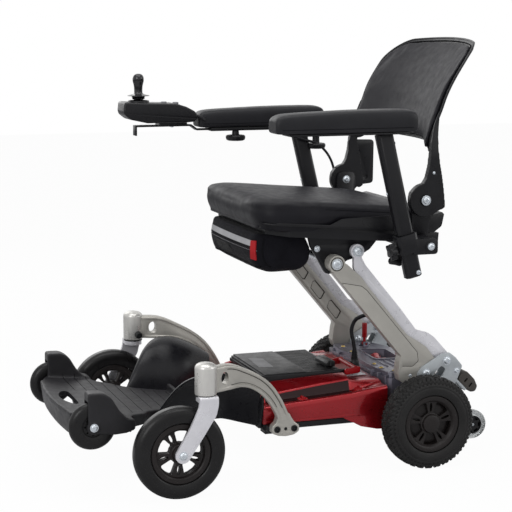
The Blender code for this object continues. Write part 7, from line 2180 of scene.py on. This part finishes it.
def make_controller():
    """The control box with its buttons, lamps and the gland of its lead."""
    stick = (STICK_X, STICK_Y)
    top = [
        (-0.25, 0.773, 0.006), (-0.203, 0.7706, 0.01), (-0.128, 0.768, 0.012), (-0.104, 0.7605, 0.01),
        (-0.084, 0.75, 0.01), (-0.0752, 0.738, 0.006),
    ]
    low = [
        (-0.084, 0.7257, 0.006), (-0.104, 0.7241, 0.01), (-0.196, 0.7242, 0.014), (-0.236, 0.733, 0.014),
        (-0.25, 0.744, 0.01), (-0.2522, 0.7522, 0.006),
    ]
    half = 0.0318
    case = plate("case", rounded(top + low, 0.006), STICK_X - half, STICK_X + half)
    case = soften(case, 0.0048, 5, 40)
    cup = [(0.0, 0.764), (0.0258, 0.764), (0.0252, 0.7715), (0.024, 0.7745), (0.0225, 0.7755), (0.0, 0.7755)]
    case = join(case, lathe("cup", cup, (*stick, 0), "Z", 72))
    cutters = [rod("hollow", (*stick, 0.752), (*stick, 0.8), 0.0195, sides=72)]
    for y in (-0.15, -0.122):
        cutters.append(rod("hole", (STICK_X, y, 0.7602), (STICK_X, y, 0.79), 0.0078, sides=48))
    seam = rounded([(-0.26, 0.7478), (-0.07, 0.733), (-0.07, 0.7341), (-0.26, 0.7489)], 0)
    for side in BOTH:
        x = STICK_X + side * half
        cutters.append(plate("seam", seam, *sorted((x - side * 0.0008, x + side * 0.002))))
    lamp_x = STICK_X - 0.0175
    for y in (-0.136, -0.108, -0.164):
        cutters.append(rod("mark", (lamp_x, y, 0.7655), (lamp_x, y, 0.79), 0.0022, sides=20))
    case = soften(cut(case, *cutters), 0.0005, 2, 40)
    body = BODY_OF["controller_case"]
    wear(case, "satin_shell", body, "controller_case", smooth=34)
    lamp = [(0.0, 0.0012), (0.0012, 0.0009), (0.0018, 0.0), (0.0, -0.001)]
    lights = [
        lathe("lamp", lamp, (lamp_x, y, z), "Z", 20)
        for y, z in ((-0.108, 0.7625), (-0.136, 0.7672), (-0.164, 0.7682))
    ]
    wear(merge("status_lamps", *lights), "keypad", body)
    for name, y, high in (("power_button", -0.15, 0.7715), ("horn_button", -0.122, 0.77)):
        button = [
            (0.0, high - 0.0006), (0.004, high - 0.0003), (0.0056, high), (0.0066, high - 0.0006),
            (0.007, high - 0.0018), (0.007, 0.7625), (0.0, 0.7625),
        ]
        button = lathe("button", button, (STICK_X, y, 0), "Z", 48)
        wear(button, "keypad", BODY_OF[name], name, smooth=40)
    line = [(STICK_X + 0.018, y, z) for y, z in ((-0.0765, 0.7375), (-0.066, 0.7345), (-0.058, 0.7275))]
    wear(tube("gland", line, 0.0044, 18), "cable", body)


def make_bracket_strip():
    """The strip that carries the controller out from under the right pad, with its holes and screws."""
    body = BODY_OF["controller_bracket"]
    strip_form = soften(copy_of("controller_bracket", "strip"), 0.0005, 2, 35)
    holes = [
        rod("hole", (STICK_X, y, 0.7), (STICK_X, y, 0.735), 0.0028, sides=24)
        for y in (-0.205, -0.19, -0.095)
    ]
    wear(cut(strip_form, *holes), "black_steel", body, "controller_bracket", smooth=32)
    spots = [((STICK_X + x, -0.132, 0.7143), (0, 0, -1), 0.0036) for x in (-0.006, 0.006)]
    bolts("strip_screws", spots, body)


def make_joystick():
    """The stick: a mushroom knob over a bellows, on its cross pin."""
    knob = [
        (0.0, 0.0), (0.0045, -0.0004), (0.0085, -0.0021), (0.0112, -0.0052), (0.0127, -0.0095),
        (0.013, -0.013), (0.0126, -0.0172), (0.0116, -0.0215), (0.0104, -0.0262), (0.0098, -0.031),
        (0.0096, -0.04), (0.0101, -0.044), (0.013, -0.0462), (0.019, -0.0478), (0.0246, -0.049),
        (0.0254, -0.0497), (0.0248, -0.0505), (0.016, -0.0507), (0.014, -0.0515), (0.0158, -0.053),
        (0.014, -0.0548), (0.015, -0.0562), (0.0126, -0.058), (0.008, -0.0605), (0.005, -0.064),
        (0.005, -0.077), (0.0, -0.077),
    ]
    fine = spline_through([(r, STICK_TOP + z) for r, z in knob], 3)
    fine = [(max(0.0, r), z) for r, z in fine]
    stick = lathe("stick", fine, (STICK_X, STICK_Y, 0), "Z", 80)
    cross = rod("cross", (STICK_X, STICK_Y - 0.014, 0.764), (STICK_X, STICK_Y + 0.014, 0.764), 0.0015)
    wear(merge("joystick_form", stick, cross), "gloss_black", BODY_OF["joystick"], "joystick", smooth=50)


make_post(1, 0.0)
make_post(-1, RIGHT_DROP)
make_pad_knobs()
make_clamp()
make_star_knob()
make_pad(1, 0.0)
make_pad(-1, RIGHT_DROP)
make_controller()
make_bracket_strip()
make_joystick()


# Cables: each a smooth tube along its route, with its plug or end

CABLE_RADIUS, THIN_RADIUS = 0.0045, 0.003
POWER_STOPS = (
    (0.06, 0.201, 0.23), (0.06, 0.1975, 0.25), (0.06, 0.193, 0.275), (0.07, 0.199, 0.3), (0.1, 0.215, 0.318),
    (0.135, 0.213, 0.337), (0.158, 0.19, 0.362), (0.162, 0.16, 0.396), (0.16, 0.133, 0.43),
    (0.152, 0.122, 0.46), (0.145, 0.123, 0.485), (0.143, 0.125, 0.5003),
)
CLIP_STOP = 6
CONTROL_STOPS = (
    (-0.237, 0.135, 0.6985), (-0.236, 0.15, 0.69), (-0.236, 0.185, 0.678), (-0.237, 0.22, 0.668),
    (-0.239, 0.243, 0.651), (-0.241, 0.26, 0.628), (-0.242, 0.27, 0.6), (-0.243, 0.277, 0.56),
    (-0.243, 0.279, 0.53), (-0.243, 0.279, 0.5072),
)


def path_length(points):
    return sum((Vector(a) - Vector(b)).length for a, b in zip(points, points[1:]))


def make_cable(name, node_name, stops, radius, body_a, body_b):
    """One length of a cable along its stops; the bodies at its ends are not used."""
    points = spline_through(stops, 8)
    piece = tube(name, points, radius, 16)
    material, slot = LOOKS["cable"]
    piece.data.materials.append(material)
    shade(piece, 60)
    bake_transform(piece)
    path_length(points)
    [tuple(p) for p in points]
    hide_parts(node_name)


def make_plug():
    """The power cable's plug with its ribbed sleeve, in its socket."""
    place = (*POWER_STOPS[0][:2], 0)
    profile = [
        (0.0, 0.1803), (0.0105, 0.1803), (0.0112, 0.1812), (0.0104, 0.204), (0.0092, 0.2056),
        (0.0086, 0.2062),
    ]
    for index in range(6):
        z = 0.208 + index * 0.0036
        size = 0.0083 - index * 0.00045
        profile += [(size, z), (size, z + 0.0016), (size - 0.0014, z + 0.002), (size - 0.0014, z + 0.0032)]
    profile += [(0.005, 0.2306), (0.0047, 0.232), (0.0, 0.232)]
    wear(lathe("power_plug", profile, place, "Z", 48), "cable", "base", smooth=40)
    ring = [(0.0115, 0.1802), (0.015, 0.1802), (0.015, 0.1828), (0.0135, 0.1836), (0.0115, 0.1836)]
    wear(lathe("socket", ring, place, "Z", 48, closed=True), "silver", "base", smooth=40)


def make_clip():
    """The clip that holds the power cable to the left lift arm."""
    before, place, after = (Vector(stop) for stop in POWER_STOPS[CLIP_STOP - 1: CLIP_STOP + 2])
    ring = [
        (0.0047, -0.005), (0.0066, -0.005), (0.007, -0.004), (0.007, 0.004), (0.0066, 0.005), (0.0047, 0.005),
    ]
    ring = lathe("ring", ring, (0, 0, 0), "Z", 32, closed=True)
    ring.data.transform(Matrix.Translation(place) @ toward((after - before).normalized()))
    x, y, z = place
    foot = soften(box("foot", (x + 0.005, y - 0.006, z - 0.005), (0.1772, y + 0.006, z + 0.005)), 0.001)
    wear(merge("cable_clip", ring, foot), "moulded", ARM_BODY, smooth=38)


make_plug()
make_clip()
make_cable("power_cable_lower", "power_cable", POWER_STOPS[: CLIP_STOP + 1], CABLE_RADIUS, "base", ARM_BODY)
make_cable("power_cable_upper", "power_cable", POWER_STOPS[CLIP_STOP:], CABLE_RADIUS, ARM_BODY, "seat")
make_cable(
    "control_lead", "control_cable", CONTROL_STOPS, THIN_RADIUS, BODY_OF["armrest_post_right"],
    BODY_OF["armrest_clamp_right"],
)


# The pan, and the CAD nodes whose own shape is right

def make_chassis():
    """The pan, its lugs trimmed level with the feet of the arches."""
    pan = copy_of("base_chassis", "chassis_form")
    trims = []
    for side in BOTH:
        low, high = span(side, 0.187, 0.216)
        trims.append(box("trim", (low, -0.08, 0.06), (high, 0.03, 0.0985)))
    pan = soften(cut(pan, *trims), 0.0009, 2, 32)
    wear(pan, "black_paint", "base", "base_chassis", smooth=34)


make_chassis()
for node_name, look, bevel in (
    ("drive_unit", "motor", 0.0009), ("anti_tip_frame", "zinc", 0.0009),
    ("joystick_gimbal", "silver", 0.0003), ("neutral_lever_left", "red_plastic", 0.0009),
    ("neutral_lever_right", "red_plastic", 0.0009),
):
    dress(node_name, look, bevel)
